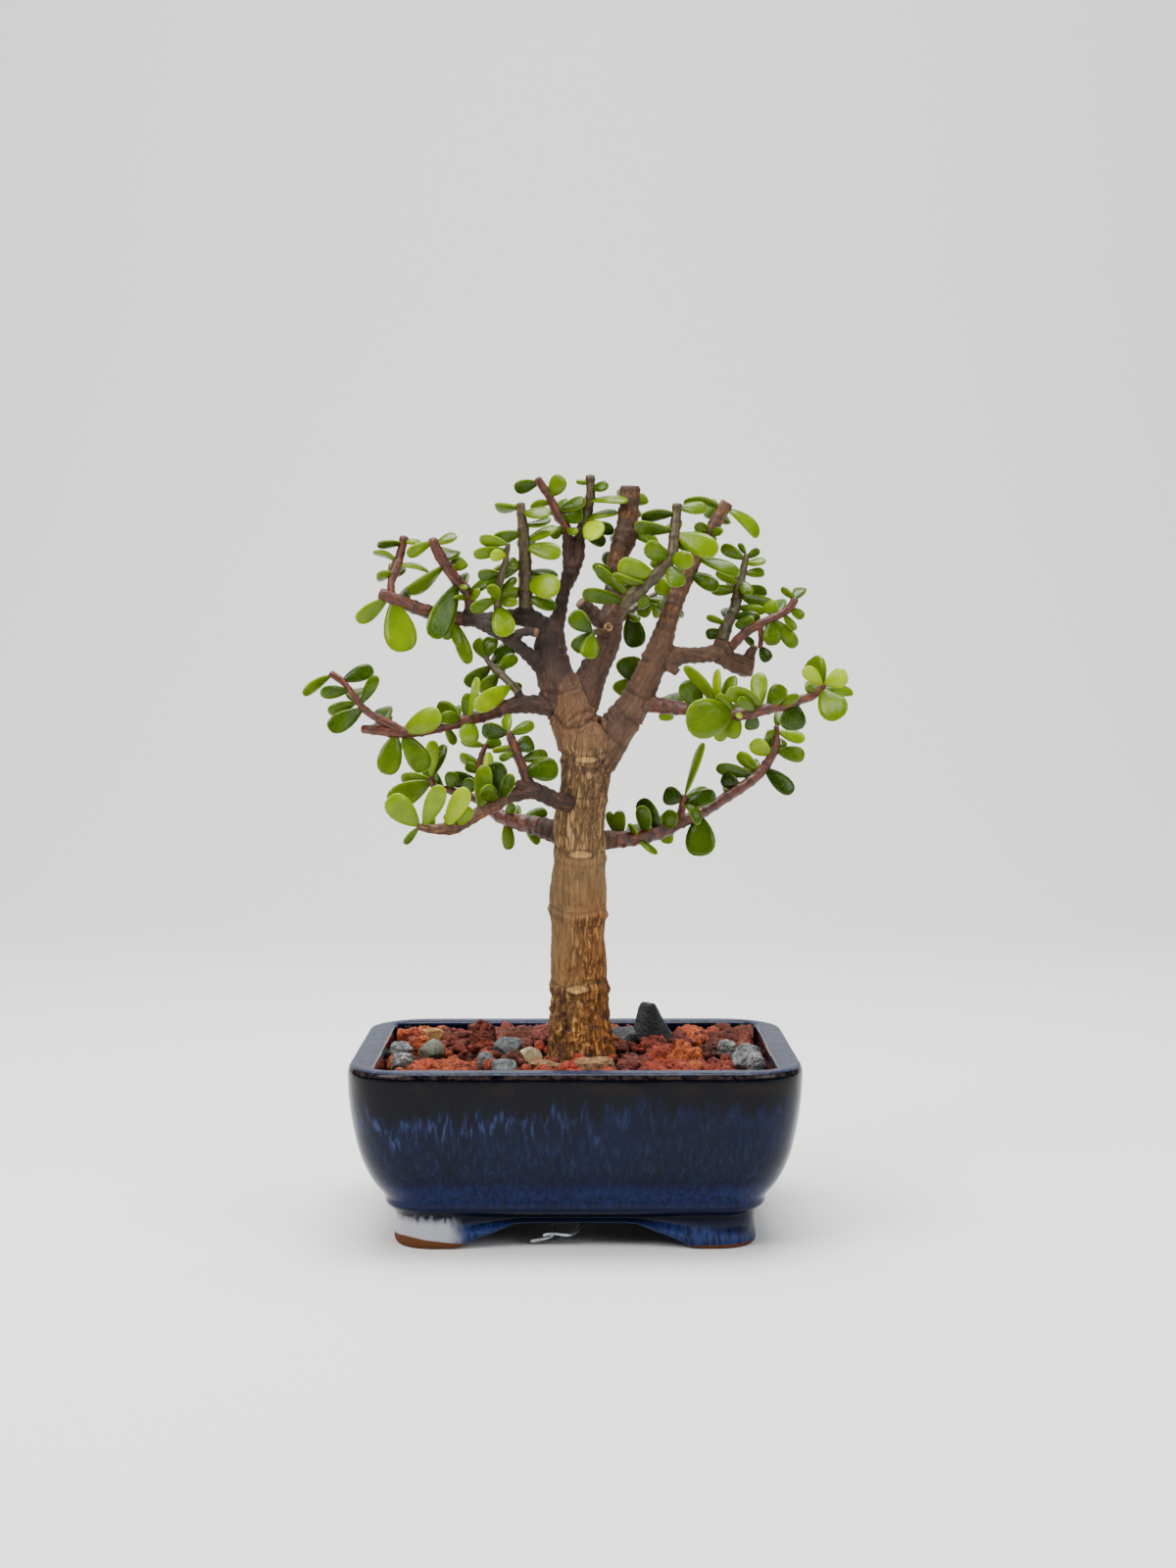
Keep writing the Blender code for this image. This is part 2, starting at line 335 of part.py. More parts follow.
        (-23.5, 188.8, -1, 1.5), (-26.5, 191.6, 2, 1.4), (-29.4, 194.4, 4, 1.2), (-31.5, 197.4, 6, 0.9),
    ), (), (
        (-22, 187.2, -34.6, 179.5, -7, 7.4, 10, 0.0), (-29.2, 194, -38.4, 187.2, 2, 6.4, 15, 0.0),
        (-31, 196.6, -28.8, 204.4, 1, 6.2, 15, 0.0), (-29.6, 194.6, -21.6, 201.2, 4, 6.4, 15, 0.0),
        (-27.6, 192.6, -20.4, 197.4, 5, 5.2, 20, 0.0), (-26.6, 191.7, -33, 184.6, 3, 6.2, 15, 0.0),
        (-23, 188.4, -18.8, 185.6, 4, 3.6, 20, 0.0), (-30.5, 196, -34.6, 203.4, 5, 5.6, 15, 0.0),
    )),
    ("leafy_stem_low_left_front", "limb_low_left_front", "bark_young", (
        (-28.5, 145.4, -18, 2.7), (-33, 143, -20, 2.4), (-38, 140, -23, 2.4), (-43, 137.6, -26, 2.7),
        (-48, 137, -29, 1.9), (-52, 137.3, -31, 1.6), (-55.3, 138, -32, 1.2),
    ), (), (
        (-54.6, 137.8, -60, 131.8, -2, 3.4, 40, 0.0), (-53.4, 137.5, -46.4, 152.2, -6, 7.2, 10, 0.0),
        (-54.4, 137.8, -65.4, 148, -5, 9.2, 5, 0.0), (-45.8, 137.2, -37.6, 151.4, -5, 7.2, 5, 0.0),
        (-42.6, 137.8, -36.2, 144.4, -7, 5, 10, 0.0), (-49.5, 137, -51.6, 144.6, 3, 4.2, 20, 0.0),
        (-33.4, 142.8, -31.6, 159.4, -3, 6.6, 10, 0.0), (-30.2, 144.5, -30.4, 164.2, 4, 4, 20, 0.0),
        (-27.2, 146, -27.6, 160.8, -2, 8.4, 5, 0.0), (-26.8, 146.4, -32.4, 151.6, -6, 6.2, 10, 0.0),
        (-25.8, 147.2, -22, 156.4, -4, 4.8, 15, 0.0),
    )),
    ("leafy_stem_low_left_up", "stub_low_left_up", "stem_red", (
        (-18.6, 159, -14, 1.8), (-20.5, 163.5, -15, 1.8), (-22.2, 168, -16, 1.6), (-23.4, 171.4, -17, 1.2),
    ), (), (
        (-23, 170.2, -14.3, 173.8, -2, 4.6, 15, 0.0), (-21, 165.5, -14.6, 167.4, 5, 6.6, 10, 0.0),
        (-19.2, 161, -9.6, 163.6, 6, 4.8, 20, 0.0), (-18, 157.6, -5.9, 158, -4, 8.8, 10, 0.0),
        (-23, 170.6, -32.8, 171.8, 1, 6.8, 15, 0.0), (-21.4, 166, -29, 164.2, -2, 3.6, 50, 0.0),
        (-20.6, 163.8, -26.6, 161.6, -3, 3.4, 30, 0.0), (-23.2, 171, -24.4, 177, 7, 4.6, 20, 0.0),
    )),
    ("leafy_stem_low_left_back", "limb_low_left_back", "stem_red", (
        (-20, 139.4, 12, 2.9), (-26, 141.4, 16, 2.5), (-30, 144.8, 19, 2.0), (-32.4, 149.5, 21, 1.6),
        (-33.4, 155, 22, 1.3), (-33.2, 161, 23, 1.2), (-31, 167, 24, 0.9),
    ), (
        ((-30.5, 145.6, 19, 1.6), (-37, 148.4, 20, 1.5), (-44, 150.6, 20, 1.4), (-49.6, 152.2, 19, 1.2),
         (-50.4, 155.4, 18, 1.0)),
    ), (
        (-24, 140.8, -23.3, 129.7, 1, 5, 10, 0.0), (-18, 138.9, -12.8, 131.8, -1, 4.2, 20, 0.0),
        (-18, 139, -9.4, 139.8, 3, 4, 50, 0.0), (-20, 139.6, -9.8, 143.6, -1, 5, 25, 0.0),
        (-24, 141, -21.8, 146, -2, 3.6, 15, 0.0), (-33, 153, -44.4, 155.2, -1, 6.4, 15, 0.0),
        (-33.3, 157, -38.4, 159.6, 2, 4.4, 15, 0.0), (-33.2, 160, -40.8, 162.4, 6, 4.6, 15, 0.0),
        (-31.4, 166, -40, 168, 1, 4.6, 45, 0.0), (-31.6, 165.4, -26.4, 168.6, 4, 5.6, 15, 0.0),
        (-50.2, 153.6, -65.6, 146.4, -4, 9.4, 10, 0.0), (-50.2, 154.2, -61, 154.9, 2, 5.6, 20, 0.0),
        (-50.3, 155, -49.6, 168.2, -3, 5, 20, 0.0), (-50, 155, -45.4, 166.6, 3, 5.4, 30, 0.0),
        (-44, 150.6, -42.8, 157.2, 0, 5.4, 10, 0.0), (-38, 148.8, -36.4, 154.6, -4, 5.4, 20, 0.0),
        (-46, 151, -53, 158.5, 7, 6, 20, 0.0), (-29, 144, -25.5, 151.5, 6, 6.4, 20, 0.0),
    )),
    ("leafy_stem_low_right", "limb_low_right", "stem_red", (
        (20, 133.7, 10, 2.8), (26, 134.8, 13, 2.5), (31, 136.4, 16, 2.6), (36, 139.2, 19, 2.5),
        (41.5, 141.3, 21, 2.2), (46, 143.7, 23, 2.0), (52, 147.6, 25, 2.0), (58, 151.5, 27, 2.0),
        (63.5, 155.6, 29, 1.9), (67.5, 160.6, 31, 1.7), (69.8, 165, 32, 1.4), (70.3, 170, 33, 1.2),
        (70.2, 173.4, 33, 0.9),
    ), (
        ((36.2, 139.6, 19, 1.7), (37.4, 144.4, 16, 1.4), (38.4, 149, 14, 1.1)),
    ), (
        (15.8, 133.4, 15.3, 143.6, 3, 5, 10, 0.0), (15.4, 133.3, 11.6, 143, 6, 3.8, 15, 0.0),
        (21.6, 134, 19.3, 138.8, -7, 3.8, 50, 0.0), (21.8, 134, 28.2, 127.9, -6, 5, 55, 0.0),
        (30, 136, 22.6, 147.4, 0, 8, 20, 0.0), (25.2, 134.7, 23.2, 145, -5, 6, 10, 0.0),
        (30.6, 136.4, 34.8, 143.2, -3, 6.4, 15, 0.0), (33.2, 137.6, 31.5, 131.8, 1, 5, 10, 0.0),
        (38, 147.2, 30.8, 149.4, 1, 7.4, 5, 0.0), (38.3, 148.6, 44.8, 167.4, -2, 6.4, 48, 0.0),
        (38.2, 148, 47.2, 150.8, 6, 5, 20, 0.0), (37.8, 146, 49.2, 149.2, -1, 6.4, 15, 0.0),
        (37.8, 145.8, 43.2, 138.8, -6, 4.6, 40, 0.22), (43.4, 142.4, 44, 127.4, -4, 11.6, 0, 0.0),
        (63, 155.2, 49.2, 158.8, -3, 5.8, 20, -0.05), (58, 151.5, 51.2, 155.4, 0, 6, 15, 0.0),
        (64.5, 157, 56.8, 163.6, 2, 5.2, 15, 0.0), (68.6, 162.8, 61.6, 167.6, -2, 7, 10, 0.0),
        (66, 158.6, 76.2, 149.6, -2, 7, 10, 0.0), (69.6, 164.6, 80.4, 162.4, 1, 6.2, 15, 0.0),
        (70.2, 171.4, 80.3, 168, -3, 5, 20, 0.0), (70.2, 171.4, 66.8, 169.4, 0, 3.8, 20, 0.0),
        (70.2, 172.6, 72.4, 178.4, 5, 5, 20, 0.0), (69.4, 164, 72.6, 168.2, 5, 5.6, 20, 0.0),
    )),
    ("leafy_stem_right_back", "stub_right_back", "stem_green", (
        (19.6, 188.4, 14, 1.4), (18.6, 190.6, 18, 1.1),
    ), (), (
        (19.8, 188.2, 18.6, 197.4, -1, 10.2, 5, 0.0), (19, 189.6, 14.2, 184.4, 2, 6.4, 10, 0.0),
        (18.8, 190.2, 24.5, 188, 6, 8, 20, 0.0),
    )),
)

# Loose stones on the bed: name, kind, x, y, z of the underside above the bed's top, size along x, y, z, and turn.
STONES = (
    ("pumice_left_back", "pumice", -62.0, 7.0, 7.4, 6.4, 6.2, 20),
    ("pumice_left_front", "pumice", -59.6, -23.0, 7.6, 6.6, 6.6, -15),
    ("pebble_olive", "olive", -50.6, 1.0, 8.6, 7.6, 8.2, 0),
    ("chip_tan", "tan", -51.5, 31.0, 8.8, 4.6, 6.4, 8),
    ("lava_ball_dark", "lava_dark", -33.6, 17.0, 9.2, 8.8, 12.2, 30),
    ("stone_grey_angular", "grey", -23.6, 1.0, 8.8, 7.6, 8.4, 12),
    ("stone_grey_small", "grey", -30.2, -14.0, 5.6, 5.0, 5.4, 40),
    ("stone_grey_front", "grey", -24.4, -31.0, 7.6, 6.0, 5.6, -20),
    ("pebble_pale", "pale", -15.6, -7.0, 8.0, 6.4, 7.2, 0),
    ("bark_chip_left", "bark", -9.0, -24.0, 11.0, 6.0, 4.2, -8),
    ("bark_chip_centre", "bark", 6.6, -23.0, 13.0, 6.4, 5.0, 6),
    ("stone_dark_right", "slate", 18.6, 23.0, 10.0, 7.4, 9.2, 5),
    ("slate_chip_upright", "slate", 28.6, 27.0, 9.6, 4.6, 17.5, -10),
    ("pumice_right_back", "pumice", 54.6, 5.0, 7.6, 6.0, 6.6, 10),
    ("pumice_right_long", "pumice", 58.2, -11.5, 11.6, 6.6, 7.6, 35),
    ("pumice_right_front", "pumice", 60.6, -28.0, 6.6, 6.6, 7.4, -25),
)

COLOURS = {
    "glaze": ("#1B2338", 0.12, 0.0),
    "mesh": ("#1E1F20", 0.6, 0.0),
    "wire": ("#B9BCC0", 0.3, 1.0),
    "soil": ("#33261C", 0.95, 0.0),
    "lava": ("#9C4B2C", 0.9, 0.0),
    "lava_dark": ("#5E2A1E", 0.9, 0.0),
    "pumice": ("#A9A79E", 0.9, 0.0),
    "olive": ("#84856F", 0.7, 0.0),
    "tan": ("#B58A52", 0.8, 0.0),
    "grey": ("#85867E", 0.85, 0.0),
    "pale": ("#D9CFA6", 0.7, 0.0),
    "bark": ("#7C5A3A", 0.85, 0.0),
    "slate": ("#4A4F50", 0.8, 0.0),
    "bark_old": ("#8A6A42", 0.8, 0.0),
    "bark_young": ("#5A4030", 0.7, 0.0),
    "stem_red": ("#6E3B26", 0.6, 0.0),
    "stem_green": ("#4E4F22", 0.6, 0.0),
}


def linear(hex_colour):
    """An sRGB hex colour as linear red, green, blue and alpha."""
    parts = [int(hex_colour[i : i + 2], 16) / 255 for i in (1, 3, 5)]
    return [p / 12.92 if p <= 0.04045 else ((p + 0.055) / 1.055) ** 2.4 for p in parts] + [1.0]


def material(name):
    """The Principled material of this name, made once."""
    found = bpy.data.materials.get(name)
    if found:
        return found
    colour, roughness, metallic = COLOURS[name]
    made = bpy.data.materials.new(name)
    made.use_nodes = True
    shader = made.node_tree.nodes["Principled BSDF"]
    shader.inputs["Base Color"].default_value = linear(colour)
    shader.inputs["Roughness"].default_value = roughness
    shader.inputs["Metallic"].default_value = metallic
    return made


def new_object(name, points, faces, material_name, smooth_angle=SOFT_EDGE):
    """A mesh object from points in millimetres, its faces turned outwards."""
    mesh = bpy.data.meshes.new(name)
    mesh.from_pydata([Vector(p) * MM for p in points], [], faces)
    shape = bmesh.new()
    shape.from_mesh(mesh)
    bmesh.ops.recalc_face_normals(shape, faces=shape.faces)
    shape.to_mesh(mesh)
    shape.free()
    mesh.shade_smooth()
    mesh.set_sharp_from_angle(angle=math.radians(smooth_angle))
    mesh.materials.append(material(material_name))
    made = bpy.data.objects.new(name, mesh)
    bpy.context.scene.collection.objects.link(made)
    return made


def apply_modifiers(target):
    """The object's modifiers made part of its mesh."""
    for modifier in list(target.modifiers):
        with bpy.context.temp_override(object=target, active_object=target):
            bpy.ops.object.modifier_apply(modifier=modifier.name)


def cut(target, cutters):
    """Takes each cutter away from the target, and removes the cutters."""
    for cutter in cutters:
        modifier = target.modifiers.new(cutter.name, "BOOLEAN")
        modifier.operation = "DIFFERENCE"
        modifier.object = cutter
        apply_modifiers(target)
        bpy.data.objects.remove(cutter)


def unite(target, others):
    """One Boolean union of the target with a collection of shapes, which are then removed."""
    group = bpy.data.collections.new(target.name + "_shapes")
    bpy.context.scene.collection.children.link(group)
    for other in others:
        bpy.context.scene.collection.objects.unlink(other)
        group.objects.link(other)
    modifier = target.modifiers.new("Union", "BOOLEAN")
    modifier.operation = "UNION"
    modifier.operand_type = "COLLECTION"
    modifier.collection = group
    apply_modifiers(target)
    for other in others:
        bpy.data.objects.remove(other)
    bpy.data.collections.remove(group)


def lofted(rings):
    """Points and faces of a closed solid through rings of equal count, with a flat face at each end."""
    count = len(rings[0])
    points = [p for ring in rings for p in ring]
    faces = []
    for k in range(len(rings) - 1):
        for i in range(count):
            j = (i + 1) % count
            faces.append((k * count + i, k * count + j, (k + 1) * count + j, (k + 1) * count + i))
    faces.append(tuple(range(count)))
    faces.append(tuple(range(len(points) - count, len(points))))
    return points, faces


def rounded_ring(z, half_x, radius, inset=0.0):
    """A level ring of the pot's rounded-rectangle plan, this far inside its half-width."""
    half_x = half_x - inset
    half_y = half_x - POT_HALF_DIFFERENCE
    radius = max(radius - inset, 1.0)
    ring = []
    for quarter in range(4):
        sign_x = (1, -1, -1, 1)[quarter]
        sign_y = (1, 1, -1, -1)[quarter]
        for step in range(POT_CORNER_STEPS + 1):
            angle = math.radians(90 * (quarter + step / POT_CORNER_STEPS))
            ring.append((
                sign_x * (half_x - radius) + radius * math.cos(angle),
                sign_y * (half_y - radius) + radius * math.sin(angle),
                z,
            ))
    return ring


def box(name, low, high):
    """A cutter or plate between two corners in millimetres."""
    corners = [(x, y, z) for x in (low[0], high[0]) for y in (low[1], high[1]) for z in (low[2], high[2])]
    faces = [(0, 1, 3, 2), (4, 6, 7, 5), (0, 4, 5, 1), (2, 3, 7, 6), (0, 2, 6, 4), (1, 5, 7, 3)]
    return new_object(name, corners, faces, "mesh")


def arch_cutter(name, half_length, reach, along_y):
    """The ogee arch between two feet, run through the foot wall along Y or X."""
    foot_end = half_length - ARCH_FROM_CORNER
    half = (
        (foot_end, -1.0),
        (foot_end, 0.0),
        (foot_end - 3.0, 0.8),
        (foot_end - 7.0, 3.2),
        (foot_end - 12.0, 5.0),
        (foot_end - 17.0, 6.9),
        (foot_end - 21.0, ARCH_HEIGHT),
    )
    outline = list(half) + [(-u, z) for u, z in reversed(half)]
    rings = []
    for side in (-reach, reach):
        rings.append([(u, side, z) if along_y else (side, u, z) for u, z in outline])
    return new_object(name, *lofted(rings), "glaze")


def make_pot():
    """The glazed pot: walls, lip, floor with its drain hole, and four bracket feet."""
    rings = [rounded_ring(*level) for level in POT_OUTSIDE + POT_INSIDE]
    pot = new_object("pot", *lofted(rings), "glaze")
    foot = POT_OUTSIDE[2][1]
    under = [rounded_ring(z, foot, 14.0, FOOT_WALL) for z in (-1.0, FLOOR_UNDERSIDE)]
    drain = [
        [(DRAIN_RADIUS * math.cos(a * math.tau / 20), DRAIN_RADIUS * math.sin(a * math.tau / 20), z) for a in range(20)]
        for z in (FLOOR_UNDERSIDE - 3.0, FLOOR_TOP + 3.0)
    ]
    cut(pot, [
        new_object("cut_under", *lofted(under), "glaze"),
        arch_cutter("cut_front_arch", foot, 90.0, True),
        arch_cutter("cut_side_arch", foot - POT_HALF_DIFFERENCE, 90.0, False),
        new_object("cut_drain", *lofted(drain), "glaze"),
    ])
    pot.data.shade_smooth()
    pot.data.set_sharp_from_angle(angle=math.radians(SOFT_EDGE))


def make_mesh():
    """The square of plastic mesh over the drain hole."""
    pitch = MESH_HOLE + MESH_STRAND
    half = (MESH_HOLES * pitch + MESH_STRAND) / 2
    low = FLOOR_TOP + GAP
    mesh = box("drain_mesh", (-half, -half, low), (half, half, low + MESH_THICKNESS))
    middle = (MESH_HOLES - 1) / 2
    for i in range(MESH_HOLES):
        for j in range(MESH_HOLES):
            x, y = (i - middle) * pitch, (j - middle) * pitch
            r = MESH_HOLE / 2
            cut(mesh, [box("cut_hole", (x - r, y - r, low - 1), (x + r, y + r, low + MESH_THICKNESS + 1))])


def tangents(points):
    """The direction of a route at each of its points."""
    found = []
    for i in range(len(points)):
        before = points[max(i - 1, 0)]
        after = points[min(i + 1, len(points) - 1)]
        found.append((after - before).normalized())
    return found


def tube(points, radii, sides, first=None):
    """Rings round a route, turned as little as can be from one to the next."""
    along = tangents(points)
    if first is not None:
        along[0] = first
    side = along[0].orthogonal().normalized()
    rings = []
    for point, direction, radius in zip(points, along, radii):
        side = (side - direction * side.dot(direction)).normalized()
        other = direction.cross(side)
        rings.append([
            point + side * (radius * math.cos(k * math.tau / sides)) + other * (radius * math.sin(k * math.tau / sides))
            for k in range(sides)
        ])
    return rings


def make_wire():
    """The wire clip: over the mesh, down through two of its holes, its ends run forward under the pot."""
    span = WIRE_HALF_SPAN
    top = FLOOR_TOP + GAP + MESH_THICKNESS + GAP + WIRE_RADIUS
    low = FLOOR_UNDERSIDE - GAP - WIRE_RADIUS
    left_end = ((-15.0, -39.6, 1.4), (-11.0, -39.8, 2.2), (-7.8, -39.2, 3.2), (-6.6, -33.0, 5.0), (-4.4, -18.0, 7.4))
    right_end = ((3.4, -19.0, 7.6), (1.2, -34.0, 4.4), (-2.2, -41.0, 3.8), (-7.0, -42.0, 4.6), (-10.8, -41.8, 3.9))
    leg = ((-span - 2.4, low), (-span - 0.7, low + 0.3), (-span, low + 1.4), (-span, top - 1.2))
    route = left_end + tuple((-span, y, z) for y, z in leg)
    route += ((-span + 0.4, -span, top - 0.3), (-span + 1.4, -span, top))
    route += ((span - 1.4, -span, top), (span - 0.4, -span, top - 0.3))
    route += tuple((span, y, z) for y, z in reversed(leg)) + right_end
    points = [Vector(p) for p in route]
    rings = tube(points, [WIRE_RADIUS] * len(points), 6)
    new_object("mesh_clip_wire", *lofted(rings), "wire")


def seen(x, z, y):
    """The point, in millimetres, that the eye sees at x and z on the trunk's plane and that lies y behind it."""
    reach = (y - EYE.y) / -EYE.y
    return Vector((x * reach, y, EYE.z + (z - EYE.z) * reach))


def grown(points):
    """Places and radii of a measured route, a radius growing with its distance as its place does."""
    return [seen(x, z, y) for x, z, y, _ in points], [r * (y - EYE.y) / -EYE.y for _, _, y, r in points]


def limb_rings(limb, grow=0.0):
    """The rings of a limb, made this much thicker."""
    _, sides, points = limb
    places, radii = grown(points)
    return tube(places, [r + grow for r in radii], sides)


def make_soil_and_bed():
    """The potting mix and the layer of lava grit over it, each with a plain hole for the root end."""
    levels = [level for level in reversed(POT_INSIDE) if level[0] < SOIL_TOP]
    rings = [rounded_ring(levels[0][0] + GAP, levels[0][1], levels[0][2], WALL_GAP)]
    rings += [rounded_ring(*level, WALL_GAP) for level in levels[1:]]
    top = POT_INSIDE[2]
    rings.append(rounded_ring(SOIL_TOP, top[1], top[2], WALL_GAP))
    soil = new_object("soil", *lofted(rings), "soil")
    half = (MESH_HOLES * (MESH_HOLE + MESH_STRAND) + MESH_STRAND) / 2 + GAP
    mesh_top = FLOOR_TOP + GAP + MESH_THICKNESS + GAP
    wire_top = mesh_top + 2 * WIRE_RADIUS + GAP
    reach = WIRE_HALF_SPAN + WIRE_RADIUS + GAP
    cut(soil, [
        box("cut_mesh_seat", (-half, -half, FLOOR_TOP - 2), (half, half, mesh_top)),
        box("cut_wire_seat", (-reach, -reach, FLOOR_TOP - 3), (reach, reach - 2 * WIRE_HALF_SPAN, wire_top)),
        new_object("cut_root", *lofted(limb_rings(LIMBS[0], GAP)), "soil"),
    ])
    bed_rings = [rounded_ring(z, top[1], top[2], WALL_GAP) for z in (SOIL_TOP + GAP, BED_TOP)]
    bed = new_object("lava_bed", *lofted(bed_rings), "lava", 20)
    unite(bed, lava_stones())
    cut(bed, [new_object("cut_root", *lofted(limb_rings(LIMBS[0], GAP)), "lava")])
    bed.data.set_sharp_from_angle(angle=math.radians(20))


def held_in(point):
    """The point, drawn inwards where it would reach the pot's wall, and upwards off the soil."""
    _, half_x, radius = POT_INSIDE[2]
    point.z = max(point.z, SOIL_TOP + SOIL_TO_LAVA)
    inner_x = half_x - radius
    inner_y = inner_x - POT_HALF_DIFFERENCE
    past = Vector((max(abs(point.x) - inner_x, 0.0), max(abs(point.y) - inner_y, 0.0), 0.0))
    most = radius - 1.25 * WALL_GAP
    if past.length <= most:
        return point
    kept = past * (most / past.length)
    return Vector((
        math.copysign(min(abs(point.x), inner_x) + kept.x, point.x),
        math.copysign(min(abs(point.y), inner_y) + kept.y, point.y),
        point.z,
    ))


def chunk(rng, centre, half, turn, name, material_name):
    """An angular stone: a box with its corners drawn in or out by chance and turned every way."""
    spin = Matrix.Rotation(turn, 3, "Z") @ Matrix.Rotation(rng.uniform(-LAVA_TILT, LAVA_TILT), 3, "X")
    spin = spin @ Matrix.Rotation(rng.uniform(-LAVA_TILT, LAVA_TILT), 3, "Y")
    corners = []
    for x in (-1, 1):
        for y in (-1, 1):
            for z in (-1, 1):
                corner = Vector((x * half[0], y * half[1], z * half[2])) * rng.uniform(*LAVA_CORNERS)
                corners.append(held_in(centre + spin @ corner))
    faces = [(0, 1, 3), (0, 3, 2), (4, 6, 7), (4, 7, 5), (0, 4, 5), (0, 5, 1)]
    faces += [(2, 3, 7), (2, 7, 6), (0, 2, 6), (0, 6, 4), (1, 5, 7), (1, 7, 3)]
    return new_object(name, corners, faces, material_name)


def lava_stones():
    """Lava stones in staggered rows, sunk in the bed, none where another stone or the trunk stands."""
    rng = random.Random(11)
    low, high = LAVA_HALF_SIZES
    half_x = POT_INSIDE[2][1] - WALL_GAP - low / 2
    half_y = half_x - POT_HALF_DIFFERENCE
    taken = [(x, y, (sx + sy) / 4) for _, _, x, y, sx, sy, _, _ in STONES]
    taken.append((LIMBS[0][2][3][0], 0.0, LIMBS[0][2][3][3]))
    rows = int(2 * half_y / (LAVA_SPACING * 0.87)) + 1
    columns = int(2 * half_x / LAVA_SPACING) + 1
    stones = []
    for row in range(rows):
        for column in range(columns):
            x = -half_x + (column + 0.5 * (row % 2)) * LAVA_SPACING + rng.uniform(-1.0, 1.0)
            y = -half_y + row * 2 * half_y / (rows - 1) + rng.uniform(-1.0, 1.0)
            half = [rng.uniform(low, high), rng.uniform(low, high), rng.uniform(low, high) * 0.9]
            turn = rng.uniform(0, math.tau)
            if abs(x) > half_x or abs(y) > half_y:
                continue
            if any(math.hypot(x - tx, y - ty) < tr + 0.5 * (half[0] + half[1]) + 1.4 for tx, ty, tr in taken):
                continue
            mound = MOUND_HEIGHT * max(0.0, 1.0 - math.hypot(x, y) / MOUND_RADIUS)
            centre = Vector((x, y, BED_TOP + LAVA_SINK + mound + rng.uniform(-0.7, 0.7)))
            stones.append(chunk(rng, centre, half, turn, "lava_shape", "lava"))
    return stones


def make_loose_stones():
    """Each loose stone as the hull of a ring of rough points, its flat underside just clear of the bed's top."""
    floor = BED_TOP + GAP
    for number, (name, kind, x, y, size_x, size_y, size_z, turn) in enumerate(STONES):
        rng = random.Random(100 + number)
        spin = Matrix.Rotation(math.radians(turn), 3, "Z")
        count = ROUND_STONE_POINTS if kind in ROUND_KINDS else ANGULAR_STONE_POINTS
        shape = bmesh.new()
        for k in range(count):
            rise = 1 - (2 * k + 1) / count
            angle = k * math.pi * (3 - math.sqrt(5))
            out = Vector((math.cos(angle) * math.sqrt(1 - rise**2), math.sin(angle) * math.sqrt(1 - rise**2), rise))
            out *= ROUND_REACH if kind in ROUND_KINDS else rng.uniform(*ANGULAR_REACH)
            place = spin @ Vector((out.x * size_x, out.y * size_y, out.z * size_z))
            place += Vector((x, y, floor + size_z * STONE_SUNK_SHARE))
            shape.verts.new((place.x, place.y, max(place.z, floor)))
        bmesh.ops.convex_hull(shape, input=shape.verts)
        bmesh.ops.delete(shape, geom=[v for v in shape.verts if not v.link_faces], context="VERTS")
        shape.verts.index_update()
        points = [vertex.co.copy() for vertex in shape.verts]
        faces = [[v.index for v in face.verts] for face in shape.faces]
        shape.free()
        new_object(name, points, faces, kind, 25)


def blade(root, tip, width, roll, curl, grow=0.0, start=0.0):
    """Points and faces of a leaf: thick, narrow at its root, widest past the middle, with a blunt end."""
    axis = tip - root
    length = axis.length
    axis.normalize()
    away = (root - EYE).normalized()
    face = away.cross(axis).cross(axis)
    if face.length < 0.3:
        face = Vector((0.0, 0.0, 1.0)).cross(axis).cross(axis) * -1
    face.normalize()
    if face.dot(away) > 0:
        face.negate()
    normal = face * math.cos(math.radians(roll)) + face.cross(axis) * math.sin(math.radians(roll))
    across = axis.cross(normal)
    rings = []
    for share, wide, thick in LEAF_RINGS if length > SMALL_LEAF_LENGTH else SMALL_LEAF_RINGS:
        share = max(share, start)
        middle = root + axis * (length * share) + normal * (4 * curl * length * share * (1 - share))
        out = across * (width * wide / 2 + grow)
        up = normal * (LEAF_THICKNESS * thick / 2 + grow)
        rings.append((middle + out, middle + up, middle - out, middle - up))
    first = root + axis * (length * start * 0.9)
    points = [first] + [p for ring in rings for p in ring] + [tip + axis * grow]
    faces = []
    for i in range(4):
        j = (i + 1) % 4
        faces.append((0, 1 + j, 1 + i))
        for k in range(len(rings) - 1):
            a, b = 1 + 4 * k, 5 + 4 * k
            faces.append((a + i, a + j, b + j))
            faces.append((a + i, b + j, b + i))
        faces.append((len(points) - 5 + i, len(points) - 5 + j, len(points) - 1))
    return points, faces


def nearest_on_route(x, z, points):
    """The place on a measured route that is nearest to x and z as seen."""
    best = None
    for (x0, z0, y0, _), (x1, z1, y1, _) in zip(points, points[1:]):
        run = (x1 - x0) ** 2 + (z1 - z0) ** 2
        share = min(max(((x - x0) * (x1 - x0) + (z - z0) * (z1 - z0)) / run, 0.0), 1.0)
        place = (x0 + share * (x1 - x0), z0 + share * (z1 - z0), y0 + share * (y1 - y0))
        far = math.hypot(place[0] - x, place[1] - z)
        if best is None or far < best[0]:
            best = (far, place)
    return best[1]


